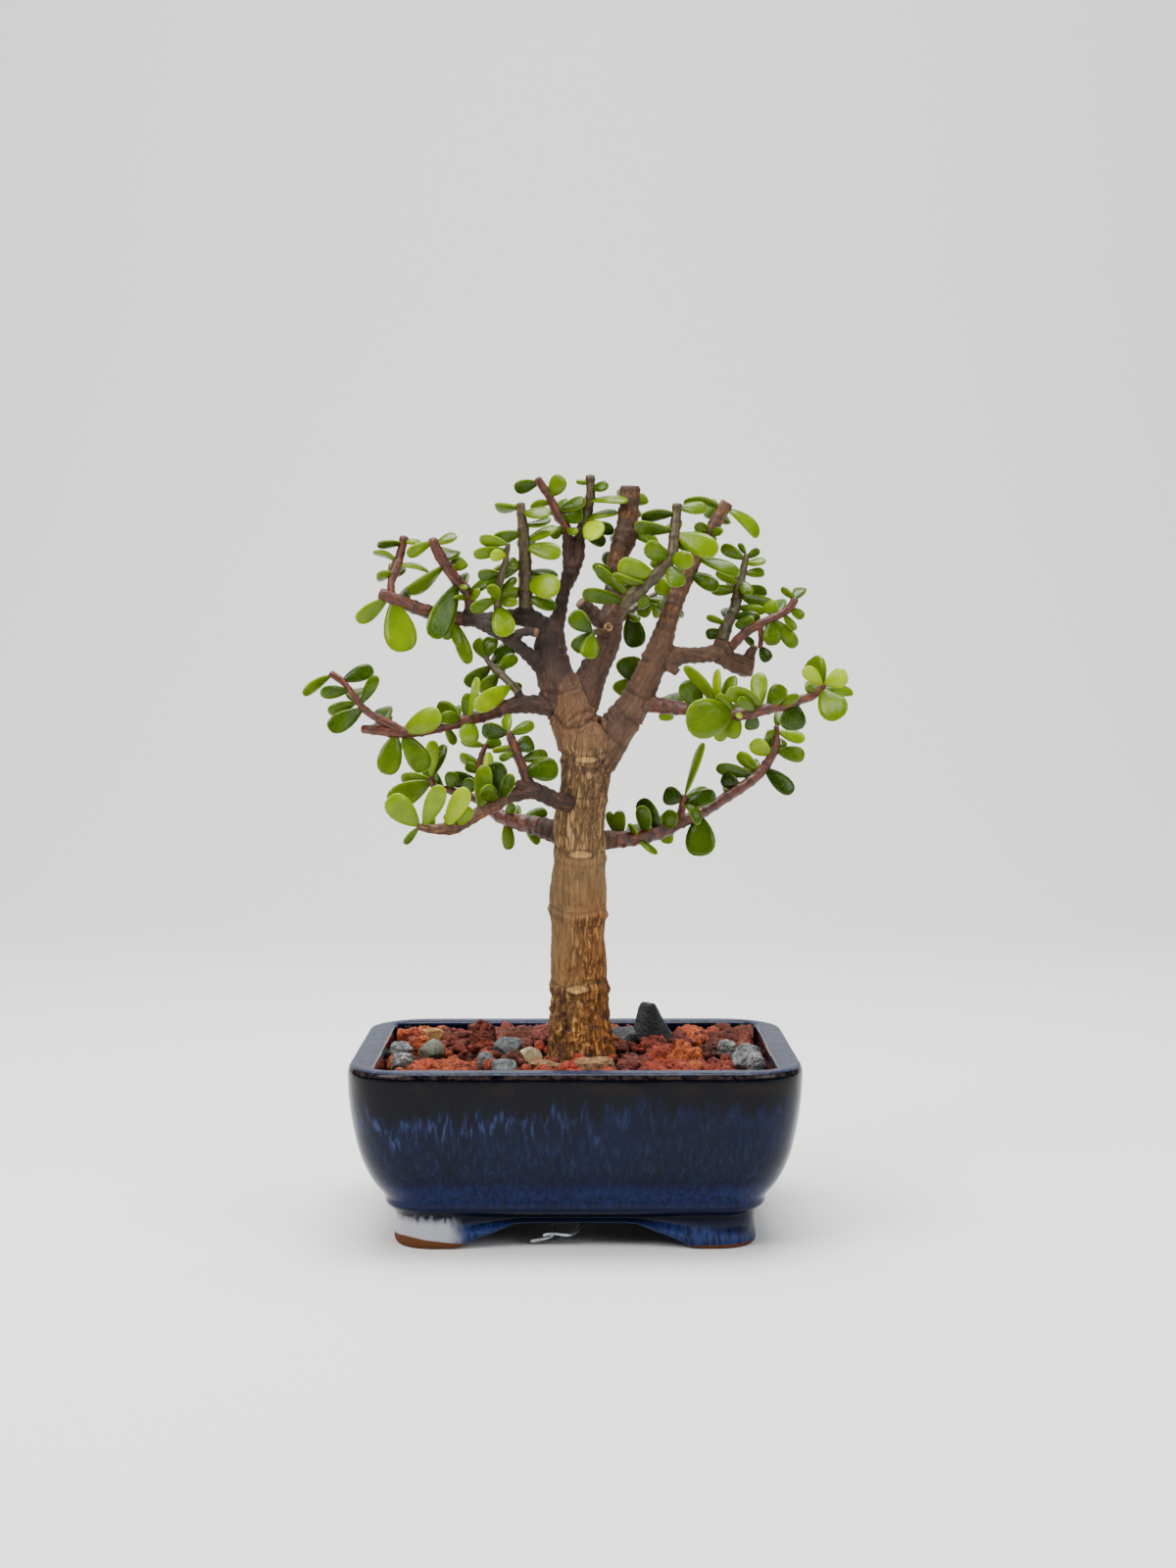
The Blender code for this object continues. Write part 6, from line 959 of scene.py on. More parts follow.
def young_bark(kind):
    """A leafy stem's skin, grown this year or last: smooth, a little waxy, ringed where leaves sat."""
    name, roughness, tints = STEM_SKINS[kind]
    made, tree, shader, place = new_material(name)
    grain = add(tree, "Attribute", attribute_name="grain", out="Vector")
    knot = add(tree, "Attribute", attribute_name="knot", out="Fac")
    streaks = add(tree, "TexNoise", {"Vector": add(tree, "Mapping", {"Vector": grain, "Scale": (1.6, 1.6, 0.3)}),
                                     "Scale": 1.0, "Detail": 5.0, "Roughness": 0.6})
    colour = add(tree, "ValToRGB", {0: streaks}, tints)
    # Each leaf joint is a dark seam.
    seam = add(tree, "MapRange", {0: knot, 1: 0.55, 2: 0.95}, **SOFT)
    colour = coat(tree, colour, "#2C1A10", seam, 0.6)
    bump = add(tree, "Bump", {"Height": streaks, "Distance": 0.0004, "Strength": 0.6})
    grit = add(tree, "TexNoise", {"Vector": place, "Scale": 1600.0, "Detail": 2.0})
    fine = add(tree, "Bump", {"Height": grit, "Distance": 0.00012, "Strength": 0.5, "Normal": bump})
    wire_up(tree, shader, {"Base Color": colour, "Roughness": roughness, "Normal": fine})
    return made


def leaf_skin():
    """A succulent leaf, grown: fleshy and waxy, so it shines and passes a little light, with a paler margin."""
    settings = bpy.context.scene.bonsai_tree
    made, tree, shader, place = new_material("Leaf, waxy succulent")
    leaf = add(tree, "Attribute", attribute_name="leaf", out="Vector")
    tone, rim, along = (add(tree, "SeparateXYZ", {0: leaf}, out=k) for k in range(3))
    clouds = add(tree, "TexNoise", {"Vector": place, "Scale": 190.0, "Detail": 3.0})
    drift = met(tree, add(tree, "SUBTRACT", {0: clouds, 1: 0.5}), 0.35)
    lightness = add(tree, "ADD", {0: tone, 1: drift})
    ends = add(tree, "MapRange", {0: along, 1: 0.0, 2: 0.55, 3: -0.1, 4: 0.04})
    lightness = add(tree, "ADD", {0: lightness, 1: ends})
    green = add(tree, "ValToRGB", {0: lightness})
    ramp = green.node.color_ramp
    ramp.elements[0].position, ramp.elements[0].color = 0.05, (*settings.leaf_dark, 1.0)
    ramp.elements[1].position, ramp.elements[1].color = 0.98, (*settings.leaf_young, 1.0)
    for position, value in ((0.3, "#2C4400"), (0.72, "#6C8600")):
        element = ramp.elements.new(position)
        element.color = linear(value)
    middle = ramp.elements.new(0.5)
    middle.color = (*settings.leaf_middle, 1.0)
    edge = add(tree, "MapRange", {0: rim, 1: 0.82, 2: 0.99}, **SOFT)
    colour = coat(tree, green, "#8FA516", edge, 0.45)
    # Water-storing cells show as fine pale dots, drawn at 0.5 mm.
    cells = add(tree, "TexVoronoi", {"Vector": place, "Scale": 2000.0})
    dots = add(tree, "MapRange", {0: cells, 1: 0.32, 2: 0.16, 4: 0.32})
    colour = coat(tree, colour, "#8EA62C", dots)
    bump = add(tree, "Bump", {"Height": cells, "Distance": 0.00008, "Strength": 0.35})
    soft = add(tree, "Bump", {"Height": clouds, "Distance": 0.0007, "Strength": 0.5, "Normal": bump})
    wire_up(tree, shader, {"Base Color": colour, "Roughness": 0.22, "Normal": soft, "IOR": 1.4,
                           "Specular IOR Level": 0.32, "Subsurface Weight": 0.1,
                           "Subsurface Radius": (0.5, 1.0, 0.15), "Subsurface Scale": 0.0022})
    return made


def studio_paper():
    """Seamless paper, pressed: an even matt sheet that takes a soft shadow."""
    made, tree, shader, place = new_material("Studio paper, pressed")
    fibre = add(tree, "TexNoise", {"Vector": place, "Scale": 900.0, "Detail": 3.0})
    bump = add(tree, "Bump", {"Height": fibre, "Distance": 0.0001, "Strength": 0.15})
    wire_up(tree, shader, {"Base Color": (*bpy.context.scene.bonsai_stage.floor_colour, 1.0), "Roughness": 0.9,
                           "Normal": bump})
    return made


def dress(target, finish):
    """Puts this finish alone on the object."""
    target.data.materials.clear()
    target.data.materials.append(finish)


# ---- Places on the tree, as the solids have them


def seen(x, z, y):
    """The point, in millimetres, that the eye sees at x and z on the trunk's plane and that lies y behind it."""
    reach = (y - EYE.y) / -EYE.y
    return Vector((x * reach, y, EYE.z + (z - EYE.z) * reach))


def as_seen(x, y, z):
    """Where on the trunk's plane, as x and z, the eye sees this place: the opposite of seen."""
    reach = (y - EYE.y) / -EYE.y
    return x / reach, EYE.z + (z - EYE.z) / reach


def grown(points):
    """Places and radii of a measured route, a radius growing with its distance as its place does."""
    return [seen(x, z, y) for x, z, y, _ in points], [r * (y - EYE.y) / -EYE.y for _, _, y, r in points]


def tangents(points):
    """The direction of a route at each of its points."""
    found = []
    for i in range(len(points)):
        before = points[max(i - 1, 0)]
        after = points[min(i + 1, len(points) - 1)]
        found.append((after - before).normalized())
    return found


def tube(points, radii, sides):
    """Rings round a route, turned as little as can be from one to the next."""
    along = tangents(points)
    side = along[0].orthogonal().normalized()
    rings = []
    for point, direction, radius in zip(points, along, radii):
        side = (side - direction * side.dot(direction)).normalized()
        other = direction.cross(side)
        rings.append([
            point + side * (radius * math.cos(k * math.tau / sides)) + other * (radius * math.sin(k * math.tau / sides))
            for k in range(sides)
        ])
    return rings


def lofted(rings):
    """Points and faces of a closed solid through rings of equal count, with a flat face at each end."""
    count = len(rings[0])
    points = [p for ring in rings for p in ring]
    faces = []
    for k in range(len(rings) - 1):
        for i in range(count):
            j = (i + 1) % count
            faces.append((k * count + i, k * count + j, (k + 1) * count + j, (k + 1) * count + i))
    faces.append(tuple(range(count)))
    faces.append(tuple(range(len(points) - count, len(points))))
    return points, faces


def leaf_frame(root, tip, roll):
    """A leaf's length and its directions: along it, across it, and out of the face that the eye sees."""
    axis = tip - root
    length = axis.length
    axis.normalize()
    away = (root - EYE).normalized()
    face = away.cross(axis).cross(axis)
    if face.length < 0.3:
        face = Vector((0.0, 0.0, 1.0)).cross(axis).cross(axis) * -1
    face.normalize()
    if face.dot(away) > 0:
        face.negate()
    normal = face * math.cos(math.radians(roll)) + face.cross(axis) * math.sin(math.radians(roll))
    return length, axis, axis.cross(normal), normal


def blade(root, tip, width, roll, curl, grow=0.0, start=0.0):
    """Points and faces of a plain leaf, to find which leaves would cross."""
    length, axis, side, normal = leaf_frame(root, tip, roll)
    rings = []
    for share, wide, thick in LEAF_RINGS if length > SMALL_LEAF_LENGTH else SMALL_LEAF_RINGS:
        share = max(share, start)
        middle = root + axis * (length * share) + normal * (4 * curl * length * share * (1 - share))
        out = side * (width * wide / 2 + grow)
        up = normal * (LEAF_THICKNESS * thick / 2 + grow)
        rings.append((middle + out, middle + up, middle - out, middle - up))
    first = root + axis * (length * start * 0.9)
    points = [first] + [p for ring in rings for p in ring] + [tip + axis * grow]
    faces = []
    for i in range(4):
        j = (i + 1) % 4
        faces.append((0, 1 + j, 1 + i))
        for k in range(len(rings) - 1):
            a, b = 1 + 4 * k, 5 + 4 * k
            faces.append((a + i, a + j, b + j))
            faces.append((a + i, b + j, b + i))
        faces.append((len(points) - 5 + i, len(points) - 5 + j, len(points) - 1))
    return points, faces


def nearest_on_route(x, z, points):
    """The place on a measured route that is nearest to x and z as seen."""
    best = None
    for (x0, z0, y0, _), (x1, z1, y1, _) in zip(points, points[1:]):
        run = (x1 - x0) ** 2 + (z1 - z0) ** 2
        share = min(max(((x - x0) * (x1 - x0) + (z - z0) * (z1 - z0)) / run, 0.0), 1.0)
        place = (x0 + share * (x1 - x0), z0 + share * (z1 - z0), y0 + share * (y1 - y0))
        far = math.hypot(place[0] - x, place[1] - z)
        if best is None or far < best[0]:
            best = (far, place)
    return best[1]


def back_leaves(name, points):
    """Leaves by rule for the side away from the eye: one to a step along the stem, each with a seeded lean."""
    rng = random.Random(name)
    route = [Vector((x, z)) for x, z, _, _ in points]
    length = sum((b - a).length for a, b in zip(route, route[1:]))
    rows = []
    for k in range(int(length / BACK_LEAF_STEP)):
        walk = (k + 0.6) * BACK_LEAF_STEP
        for (a, b) in zip(route, route[1:]):
            step = (b - a).length
            if walk <= step:
                break
            walk -= step
        place = a + (b - a) * min(walk / step, 1.0)
        turn = rng.uniform(-0.9, 0.9)
        tip = place + Vector((5.0 * math.sin(turn), 2.0 + 3.0 * math.cos(turn)))
        lean = rng.uniform(*BACK_LEAF_LEANS)
        width = rng.uniform(*BACK_LEAF_WIDTHS)
        rows.append((place.x, place.y, tip.x, tip.y, lean, width, BACK_LEAF_ROLL, BACK_LEAF_TONE))
    return rows


def stem_routes():
    """Each leafy stem's routes, the first of them from the end of the limb that it grows on."""
    ends = {name: points[-1] for name, _, points in LIMBS}
    return {name: ((ends[limb],) + points,) + shoots for name, limb, _, points, shoots, _ in STEMS}


def settled_leaves():
    """Every leaf's root, tip, width, roll, curl and tone, each leaned or shortened until it clears the rest."""
    tubes = {"trunk": []}
    for _, sides, points in LIMBS:
        places, radii = grown(points)
        tubes["trunk"].append(lofted(tube(places, radii, sides)))
    routes_of = stem_routes()
    for name, routes in routes_of.items():
        tubes[name] = [lofted(tube(*grown(route), STEM_SIDES)) for route in routes]
    solid = {name: [BVHTree.FromPolygons(*shape) for shape in shapes] for name, shapes in tubes.items()}
    full = []
    leaves = {}
    for name, _, _, _, _, read in STEMS:
        routes = routes_of[name]
        rows = list(read)
        for route in routes:
            rows += back_leaves(name, route)
        others = [tree for other, trees in solid.items() if other != name for tree in trees]
        kept = []
        own_outer = []
        for base_x, base_z, tip_x, tip_z, lean, width, roll, tone, *curls in rows:
            curl = curls[0] if curls else 0.0
            x, z, y = min(
                (nearest_on_route(base_x, base_z, route) for route in routes),
                key=lambda place: math.hypot(place[0] - base_x, place[1] - base_z),
            )
            root = seen(x, z, y)
            for share in LENGTH_TRIES:
                for more in LEAN_TRIES:
                    end = seen(x + (tip_x - x) * share, z + (tip_z - z) * share, y + (lean + more) * share)
                    spec = (root, end, width * share, roll, curl)
                    whole = BVHTree.FromPolygons(*blade(*spec, grow=CLEAR_BY))
                    if any(whole.overlap(tree) for tree in others):
                        continue
                    if any(whole.overlap(tree) for owner, tree in full if owner != name):
                        continue
                    outer = BVHTree.FromPolygons(*blade(*spec, start=OUTER_SHARE))
                    if any(outer.overlap(tree) for tree in own_outer + solid[name]):
                        continue
                    break
                else:
                    continue
                break
            else:
                continue
            full.append((name, BVHTree.FromPolygons(*blade(*spec))))
            own_outer.append(outer)
            kept.append(spec + (tone / 100,))
        leaves[name] = kept
    return leaves


# ---- Modelling


def ring_at(base, level):
    """The pot's base ring, drawn to another level's half-width and corner radius."""
    z, half_x, radius = level
    _, wide, corner = WIDEST
    inner = np.array([wide - corner, wide - HALF_DIFFERENCE - corner])
    straight = np.clip(base, -inner, inner)
    out = (base - straight) / corner
    there = np.array([half_x - radius, half_x - HALF_DIFFERENCE - radius])
    flat = straight * (there / inner) + out * radius
    return np.column_stack([flat, np.full(len(base), z)])


def arch_lift(x, y, half_x):
    """How high the arch between two feet is at this place on the foot's ring, by how far it lies from the corner."""
    lift = 0.0
    if abs(y) > half_x - HALF_DIFFERENCE - NEAR_EDGE:
        lift = np.interp(FOOT_LENGTHS[0] - ARCH_FROM_CORNER - abs(x), *zip(*ARCH), left=0.0)
    if abs(x) > half_x - NEAR_EDGE:
        lift = max(lift, np.interp(FOOT_LENGTHS[1] - ARCH_FROM_CORNER - abs(y), *zip(*ARCH), left=0.0))
    return float(lift)


def model_pot():
    """The pot, extruded ring by ring from a rounded plate: up the foot, out over the lip and down inside."""
    deselect()
    bpy.ops.mesh.primitive_plane_add(size=2.0)
    pot = bpy.context.object
    bpy.ops.object.mode_set(mode="EDIT")
    bpy.ops.transform.resize(value=(WIDEST[1] * MM, (WIDEST[1] - HALF_DIFFERENCE) * MM, 1.0))
    bpy.ops.mesh.bevel(offset=WIDEST[2] * MM, segments=CORNER_PIECES, affect="VERTICES")
    bpy.ops.mesh.delete(type="ONLY_FACE")
    for longest, pieces in ((0.08, FRONT_PIECES), (0.05, SIDE_PIECES)):
        select_edges(pot, lambda edge: edge.calc_length() > longest)
        bpy.ops.mesh.subdivide(number_cuts=pieces - 1)
    bpy.ops.mesh.select_all(action="SELECT")
    bpy.ops.mesh.edge_face_add()
    bpy.ops.object.mode_set(mode="OBJECT")
    count = len(pot.data.vertices)
    base = places_of(pot)[:, :2] / MM
    levels = FOOT_INSIDE + FOOT_UNDER + POT_OUTSIDE + POT_INSIDE
    put_places(pot, ring_at(base, levels[0]) * MM)
    rounds = base / np.linalg.norm(base, axis=1)[:, None] * DRAIN_RADIUS
    rings = [ring_at(base, level) for level in levels[1:]]
    rings += [np.column_stack([rounds, np.full(count, z)]) for z in DRAIN_LEVELS]
    before = ring_at(base, levels[0])
    for ring in rings:
        bpy.ops.object.mode_set(mode="EDIT")
        bpy.ops.mesh.select_mode(type="FACE")
        bpy.ops.mesh.extrude_region_move()
        bpy.ops.object.mode_set(mode="OBJECT")
        places = places_of(pot)
        moved = np.flatnonzero([v.select for v in pot.data.vertices])
        apart = places[moved][:, None, :] / MM - before[None, :, :]
        places[moved] = ring[np.argmin((apart**2).sum(axis=2), axis=1)] * MM
        put_places(pot, places)
        before = ring
    for face in pot.data.polygons:
        face.select = len(face.vertices) > 4
    bpy.ops.object.mode_set(mode="EDIT")
    bpy.ops.mesh.delete(type="ONLY_FACE")
    select_edges(pot, lambda edge: edge.is_boundary)
    bpy.ops.mesh.bridge_edge_loops()
    turn_outwards()
    places = places_of(pot) / MM
    foot_rings = len(FOOT_INSIDE + FOOT_UNDER) + sum(1 for level in POT_OUTSIDE if level[0] < ARCH_FADE)
    for k in range(1, foot_rings):
        half_x = levels[k][1]
        for i in range(k * count, (k + 1) * count):
            x, y, z = places[i]
            top = FOOT_INSIDE[0][0] if k < len(FOOT_INSIDE) else ARCH_FADE
            places[i][2] = z + arch_lift(x, y, half_x) * max(0.0, 1.0 - z / top)
    put_places(pot, places * MM)
    apply_modifier(pot, "SUBSURF", levels=1, render_levels=1)
    places = places_of(pot)
    waves = point_noise(places / MM, 27.0) * bpy.context.scene.bonsai_pot.waviness
    waves *= places[:, 2] > WAVY_FROM * MM
    outward = places * np.array([1.0, 1.0, 0.0])
    outward /= np.maximum(np.linalg.norm(outward, axis=1), 1e-9)[:, None]
    put_places(pot, places + outward * waves[:, None])
    return pot


def curve_tube(name, places, radii, resolution):
    """A round tube through these points, in millimetres, its ends closed: a bevelled curve made a mesh."""
    deselect()
    bpy.ops.curve.primitive_nurbs_path_add()
    path = bpy.context.object
    path.data.splines.clear()
    spline = path.data.splines.new("POLY")
    spline.points.add(len(places) - 1)
    spline.points.foreach_set("co", [c for p in places for c in (*(p * MM), 1.0)])
    spline.points.foreach_set("radius", [r * MM for r in radii])
    path.data.dimensions = "3D"
    path.data.bevel_depth = 1.0
    path.data.bevel_resolution = resolution
    path.data.use_fill_caps = True
    bpy.ops.object.convert(target="MESH")
    made = bpy.context.object
    made.name = name
    bpy.ops.object.mode_set(mode="EDIT")
    bpy.ops.mesh.select_all(action="SELECT")
    bpy.ops.mesh.remove_doubles(threshold=0.00001)
    turn_outwards()
    return made


def smooth_route(places, radii, step):
    """The route drawn as one smooth curve: its points about this far apart, with the distance walked to each."""
    fine, widths, walked = [], [], []
    far = 0.0
    last = len(places) - 1
    for i in range(last):
        p0, p1, p2, p3 = (places[min(max(k, 0), last)] for k in (i - 1, i, i + 1, i + 2))
        count = max(2, round((p2 - p1).length / step))
        for k in range(count):
            t = k / count
            point = 0.5 * (
                2 * p1 + (p2 - p0) * t + (2 * p0 - 5 * p1 + 4 * p2 - p3) * t**2 + (3 * p1 - p0 - 3 * p2 + p3) * t**3
            )
            if fine:
                far += (point - fine[-1]).length
            fine.append(point)
            walked.append(far)
            widths.append(radii[i] + (radii[i + 1] - radii[i]) * t)
    far += (places[-1] - fine[-1]).length
    return fine + [places[-1]], widths + [radii[-1]], walked + [far]


def grain_of(places, routes):
    """For each place: its offset from the nearest limb and its distance along it, and that limb's radius there."""
    best = np.full(len(places), 1e9)
    grain = np.zeros((len(places), 3))
    girth = np.zeros(len(places))
    for points, radii in routes:
        along = tangents(points)
        side = along[0].orthogonal().normalized()
        walked = 0.0
        for k in range(len(points) - 1):
            side = (side - along[k] * side.dot(along[k])).normalized()
            other = along[k].cross(side)
            start = np.array(points[k])
            run = np.array(points[k + 1]) - start
            length = float(np.linalg.norm(run))
            share = np.clip((places - start) @ run / length**2, 0.0, 1.0)
            offset = places - start - share[:, None] * run
            radius = radii[k] + (radii[k + 1] - radii[k]) * share
            score = np.linalg.norm(offset, axis=1) - radius
            near = score < best
            best[near] = score[near]
            girth[near] = radius[near]
            grain[near, 0] = (offset @ np.array(side))[near]
            grain[near, 1] = (offset @ np.array(other))[near]
            grain[near, 2] = (walked + share * length)[near]
            walked += length
    return grain, girth


def line_distance(x, z, points):
    """How far each seen place lies from a line drawn through these points."""
    best = np.full(len(x), 99.0)
    for (x0, z0), (x1, z1) in zip(points, points[1:]):
        along = ((x - x0) * (x1 - x0) + (z - z0) * (z1 - z0)) / ((x1 - x0) ** 2 + (z1 - z0) ** 2)
        along = np.clip(along, 0.0, 1.0)
        best = np.minimum(best, np.hypot(x - x0 - along * (x1 - x0), z - z0 - along * (z1 - z0)))
    return best


def bell(distance, sharpness=1.0):
    """1 on a line, and less with the distance from it."""
    return np.exp(-(distance**2) * sharpness)


def model_trunk():
    """The trunk: every limb a tube, fused by a voxel remesh, then rings, scars, creases and cork worked in."""
    routes = [grown(points) for _, _, points in LIMBS]
    limbs = []
    for places, radii in routes:
        fine, widths, _ = smooth_route(places, radii, 2.0)
        limbs.append(curve_tube("limb", fine, widths, 8 if max(radii) > 6 else 4))
    trunk = joined(limbs, "trunk_bark")
    coarse = 1.0
    apply_modifier(trunk, "REMESH", mode="VOXEL", voxel_size=bpy.context.scene.bonsai_tree.bark_voxel * coarse)
    apply_modifier(trunk, "CORRECTIVE_SMOOTH", iterations=3, use_only_smooth=True)
    places = places_of(trunk) / MM
    normals = np.array([v.normal for v in trunk.data.vertices])
    grain, girth = grain_of(places, routes)
    seen_x, seen_z = as_seen(*places.T)
    main = np.clip((girth - 6.0) / 2.0, 0.0, 1.0)
    push = np.zeros(len(places))
    crease = np.zeros(len(places))
    # Ring ridges, uneven round the trunk, with a dark line on each side.
    tilt = point_noise(places * np.array([1.0, 1.0, 0.2]), 14.0, 3.0) * 2.4
    for height, out, half in RIDGES:
        d = (places[:, 2] - height + tilt) / half
        push += out * bell(d) * main
        crease = np.maximum(crease, 0.85 * bell(d - 1.3, 14.0) * main)
        crease = np.maximum(crease, 0.5 * bell(d + 1.4, 14.0) * main)
    low, high, step = WRINKLES
    fade = np.clip((places[:, 2] - low) / 3.0, 0, 1) * np.clip((high + 2.0 - places[:, 2]) / 3.0, 0, 1)
    wave = np.sin((places[:, 2] + 0.09 * (seen_x - 4.0) ** 2 + tilt) * math.tau / (2 * step))
    push += 0.32 * wave * fade * (girth > 6.0)
    crease = np.maximum(crease, np.clip(-wave - 0.35, 0, 1) * fade * (girth > 6.0))
    for points in FORK_RINGS:
        d = line_distance(seen_x, seen_z, points)
        push += (0.35 * bell((d - 1.5) / 0.9) - 0.3 * bell(d / 0.6)) * (girth > 4.5)
        crease = np.maximum(crease, 0.95 * bell(d / 0.55) * (girth > 4.5))
    # Limbs: fine ring wrinkles where leaves once sat.
    thin = np.clip((6.5 - girth) / 1.5, 0.0, 1.0)
    rings = np.sin(grain[:, 2] * math.tau / 3.1 + point_noise(places, 6.0) * 2.2)
    push += 0.16 * rings * thin
    crease = np.maximum(crease, 0.55 * np.clip(-rings - 0.55, 0, 1) * thin)
    # Cork: fissures that run with the grain, deepest where the trunk is oldest or most furrowed.
    stretched = grain * np.array([1.0, 1.0, 0.22])
    fissure = 1.0 - np.abs(point_noise(stretched, 3.4)) * 3.2
    fissure = np.clip(fissure, 0.0, 1.0) ** 3
    depth = np.interp(places[:, 2], *zip(*CORK))
    golden = np.clip((seen_x + 5.0) / 8.0, 0.0, 1.0)
    depth = np.where((places[:, 2] > 82.0) & (places[:, 2] < 107.0), depth * (0.4 + 1.3 * golden), depth)
    depth = depth * main + 0.2 * thin
    push -= 0.95 * depth * fissure
    crease = np.maximum(crease, np.clip(fissure * depth * 0.75, 0, 1))
    push += point_noise(places, 2.1, 9.0) * 0.5 * np.interp(places[:, 2], (50, 78, 86), (2.0, 1.7, 0.35)) * main
    push += point_noise(places * np.array([1.0, 1.0, 0.6]), 8.0, 5.0) * 0.8 * main
    scar = np.zeros(len(places))
    for x, z, half_x, half_z in SCARS:
        d = np.hypot((seen_x - x) / half_x, (seen_z - z) / half_z)
        d[places[:, 1] > -1.0] = 9.0
        disc = np.clip(1.35 - d, 0.0, 0.35) / 0.35
        if half_x == half_z:
            # A small round one is a rim with a dark hollow.
            crease = np.maximum(crease, np.clip((0.8 - d) / 0.2, 0.0, 1.0))
            disc *= np.clip((d - 0.6) / 0.3, 0.0, 1.0)
        scar = np.maximum(scar, disc)
        push = push * np.clip(d - 0.4, 0.0, 1.0) + 0.45 * bell(d - 1.25, 12.0)
        crease = np.maximum(crease * np.clip(d, 0, 1), 0.95 * bell(d - 1.65, 7.0))
        beside = np.abs(seen_x - x) / half_x
        line = bell((seen_z - z + 0.5 * (beside - 1.0)) / 0.45) * np.clip(2.6 - beside, 0, 1) * (beside > 1.2)
        crease = np.maximum(crease, 0.9 * line * (places[:, 1] < -1.0))
    sawn = np.zeros(len(places))
    for x, z, y, radius in SAWN_ENDS:
        d = np.linalg.norm(places - np.array(seen(x, z, y)), axis=1) / radius
        sawn = np.maximum(sawn, np.clip((1.0 - d) / 0.15, 0.0, 1.0))
    push *= 1.0 - 0.8 * sawn
    put_places(trunk, (places + normals * push[:, None]) * MM)
    write_attribute(trunk, "grain", grain, "FLOAT_VECTOR")
    write_attribute(trunk, "girth", girth)
    for key, values in (("furrow", depth), ("scar", scar), ("crease", crease), ("sawn", sawn)):
        write_attribute(trunk, key, np.clip(values, 0.0, 1.0))
    return trunk


def leaf_form():
    """One leaf, 1 long, 1 wide and 1 thick, root at the origin: a sphere drawn ring by ring to a fleshy blade."""
    deselect()
    bpy.ops.mesh.primitive_uv_sphere_add(segments=10, ring_count=10, radius=1.0)
    form = bpy.context.object
    places = places_of(form)
    share = (places[:, 2] + 1.0) / 2.0
    ring = np.maximum(np.hypot(places[:, 0], places[:, 1]), 1e-6)
    across = places[:, 0] / ring
    up = places[:, 1] / ring
    at_pole = ring < 1e-3
    across[at_pole] = 0.0
    up[at_pole] = 0.0
    wide = share**0.85 * (1.0 - share) ** 0.42 / WIDE_PEAK
    thick = share**0.42 * (1.0 - share) ** 0.36 / THICK_PEAK
    put_places(form, np.column_stack([share, across * wide / 2.0, up * thick / 2.0]))
    write_attribute(form, "leaf", np.column_stack([np.zeros(len(share)), np.maximum(np.abs(across), share**6), share]),
                    "FLOAT_VECTOR")
    return form


def placed_leaf(form, spec, rng):
    """A copy of the leaf form with its own mesh, laid on a leaf's place."""
    root, tip, width, roll, curl, tone = spec
    length, axis, side, normal = leaf_frame(root, tip, roll)
    leaf = form.copy()
    leaf.data = form.data.copy()
    bpy.context.scene.collection.objects.link(leaf)
    unit = places_of(form)
    share, across, up = unit[:, 0:1], unit[:, 1:2], unit[:, 2:3]
    # The upper face is cupped a little: its margins stand higher than its middle.
    cup = width * 0.16 * across**2 * 4.0 * rng.uniform(0.3, 1.0) - width * 0.03
    bend = 4.0 * curl * length * share * (1.0 - share)
    tip_bend = rng.uniform(-0.05, 0.05) * length * share**3
    twist = rng.uniform(-0.25, 0.25) * share
    out = width * across
    lift = LEAF_THICKNESS * 1.05 * up + cup * share + bend + tip_bend + out * twist
    places = np.array(root) + share * length * np.array(axis) + out * np.array(side) + lift * np.array(normal)
    put_places(leaf, places * MM)
    kept = np.empty(len(unit) * 3, dtype=np.float32)
    leaf.data.attributes["leaf"].data.foreach_get("vector", kept)
    kept = kept.reshape(-1, 3)
    kept[:, 0] = tone + rng.uniform(-0.04, 0.04)
    leaf.data.attributes["leaf"].data.foreach_set("vector", kept.ravel())
    return leaf


def knots_along(walked, kind, rng):
    """How near each point of a stem is to a leaf joint, 1 on it."""
    step = JOINT_STEPS[kind]
    near = np.zeros(len(walked))
    place = rng.uniform(0.5, 1.0) * step
    while place < walked[-1]:
        near = np.maximum(near, np.exp(-(((np.array(walked) - place) / 0.55) ** 2)))
        place += step * rng.uniform(0.8, 1.25)
    return near


def model_stem(name, kind, routes, leaves, form):
    """One leafy stem: its skin a smooth tube swollen at each leaf joint, and every leaf on it."""
    rng = random.Random(name)
    parts = []
    for number, route in enumerate(routes):
        places, radii = grown(route)
        if number == 0:
            places[0] = places[0] - (places[1] - places[0]).normalized() * STEM_INTO_LIMB
        fine, widths, walked = smooth_route(places, radii, STEM_STEP)
        near = knots_along(walked, kind, rng)
        swell = 0.1 if kind == "bark_young" else 0.16
        widths = [w * (0.97 + swell * k) for w, k in zip(widths, near)]
        if not (kind == "bark_young" and number == 0):
            widths[-1] *= 0.6
        part = curve_tube("skin", fine, widths, 4)
        here = places_of(part) / MM
        grain, _ = grain_of(here, [(fine, widths)])
        write_attribute(part, "grain", grain, "FLOAT_VECTOR")
        write_attribute(part, "knot", np.interp(grain[:, 2], walked, near))
        parts.append(part)
    skin = joined(parts, name + "_skin")
    blades = [placed_leaf(form, spec, rng) for spec in leaves]
    return skin, joined(blades, name + "_blades")


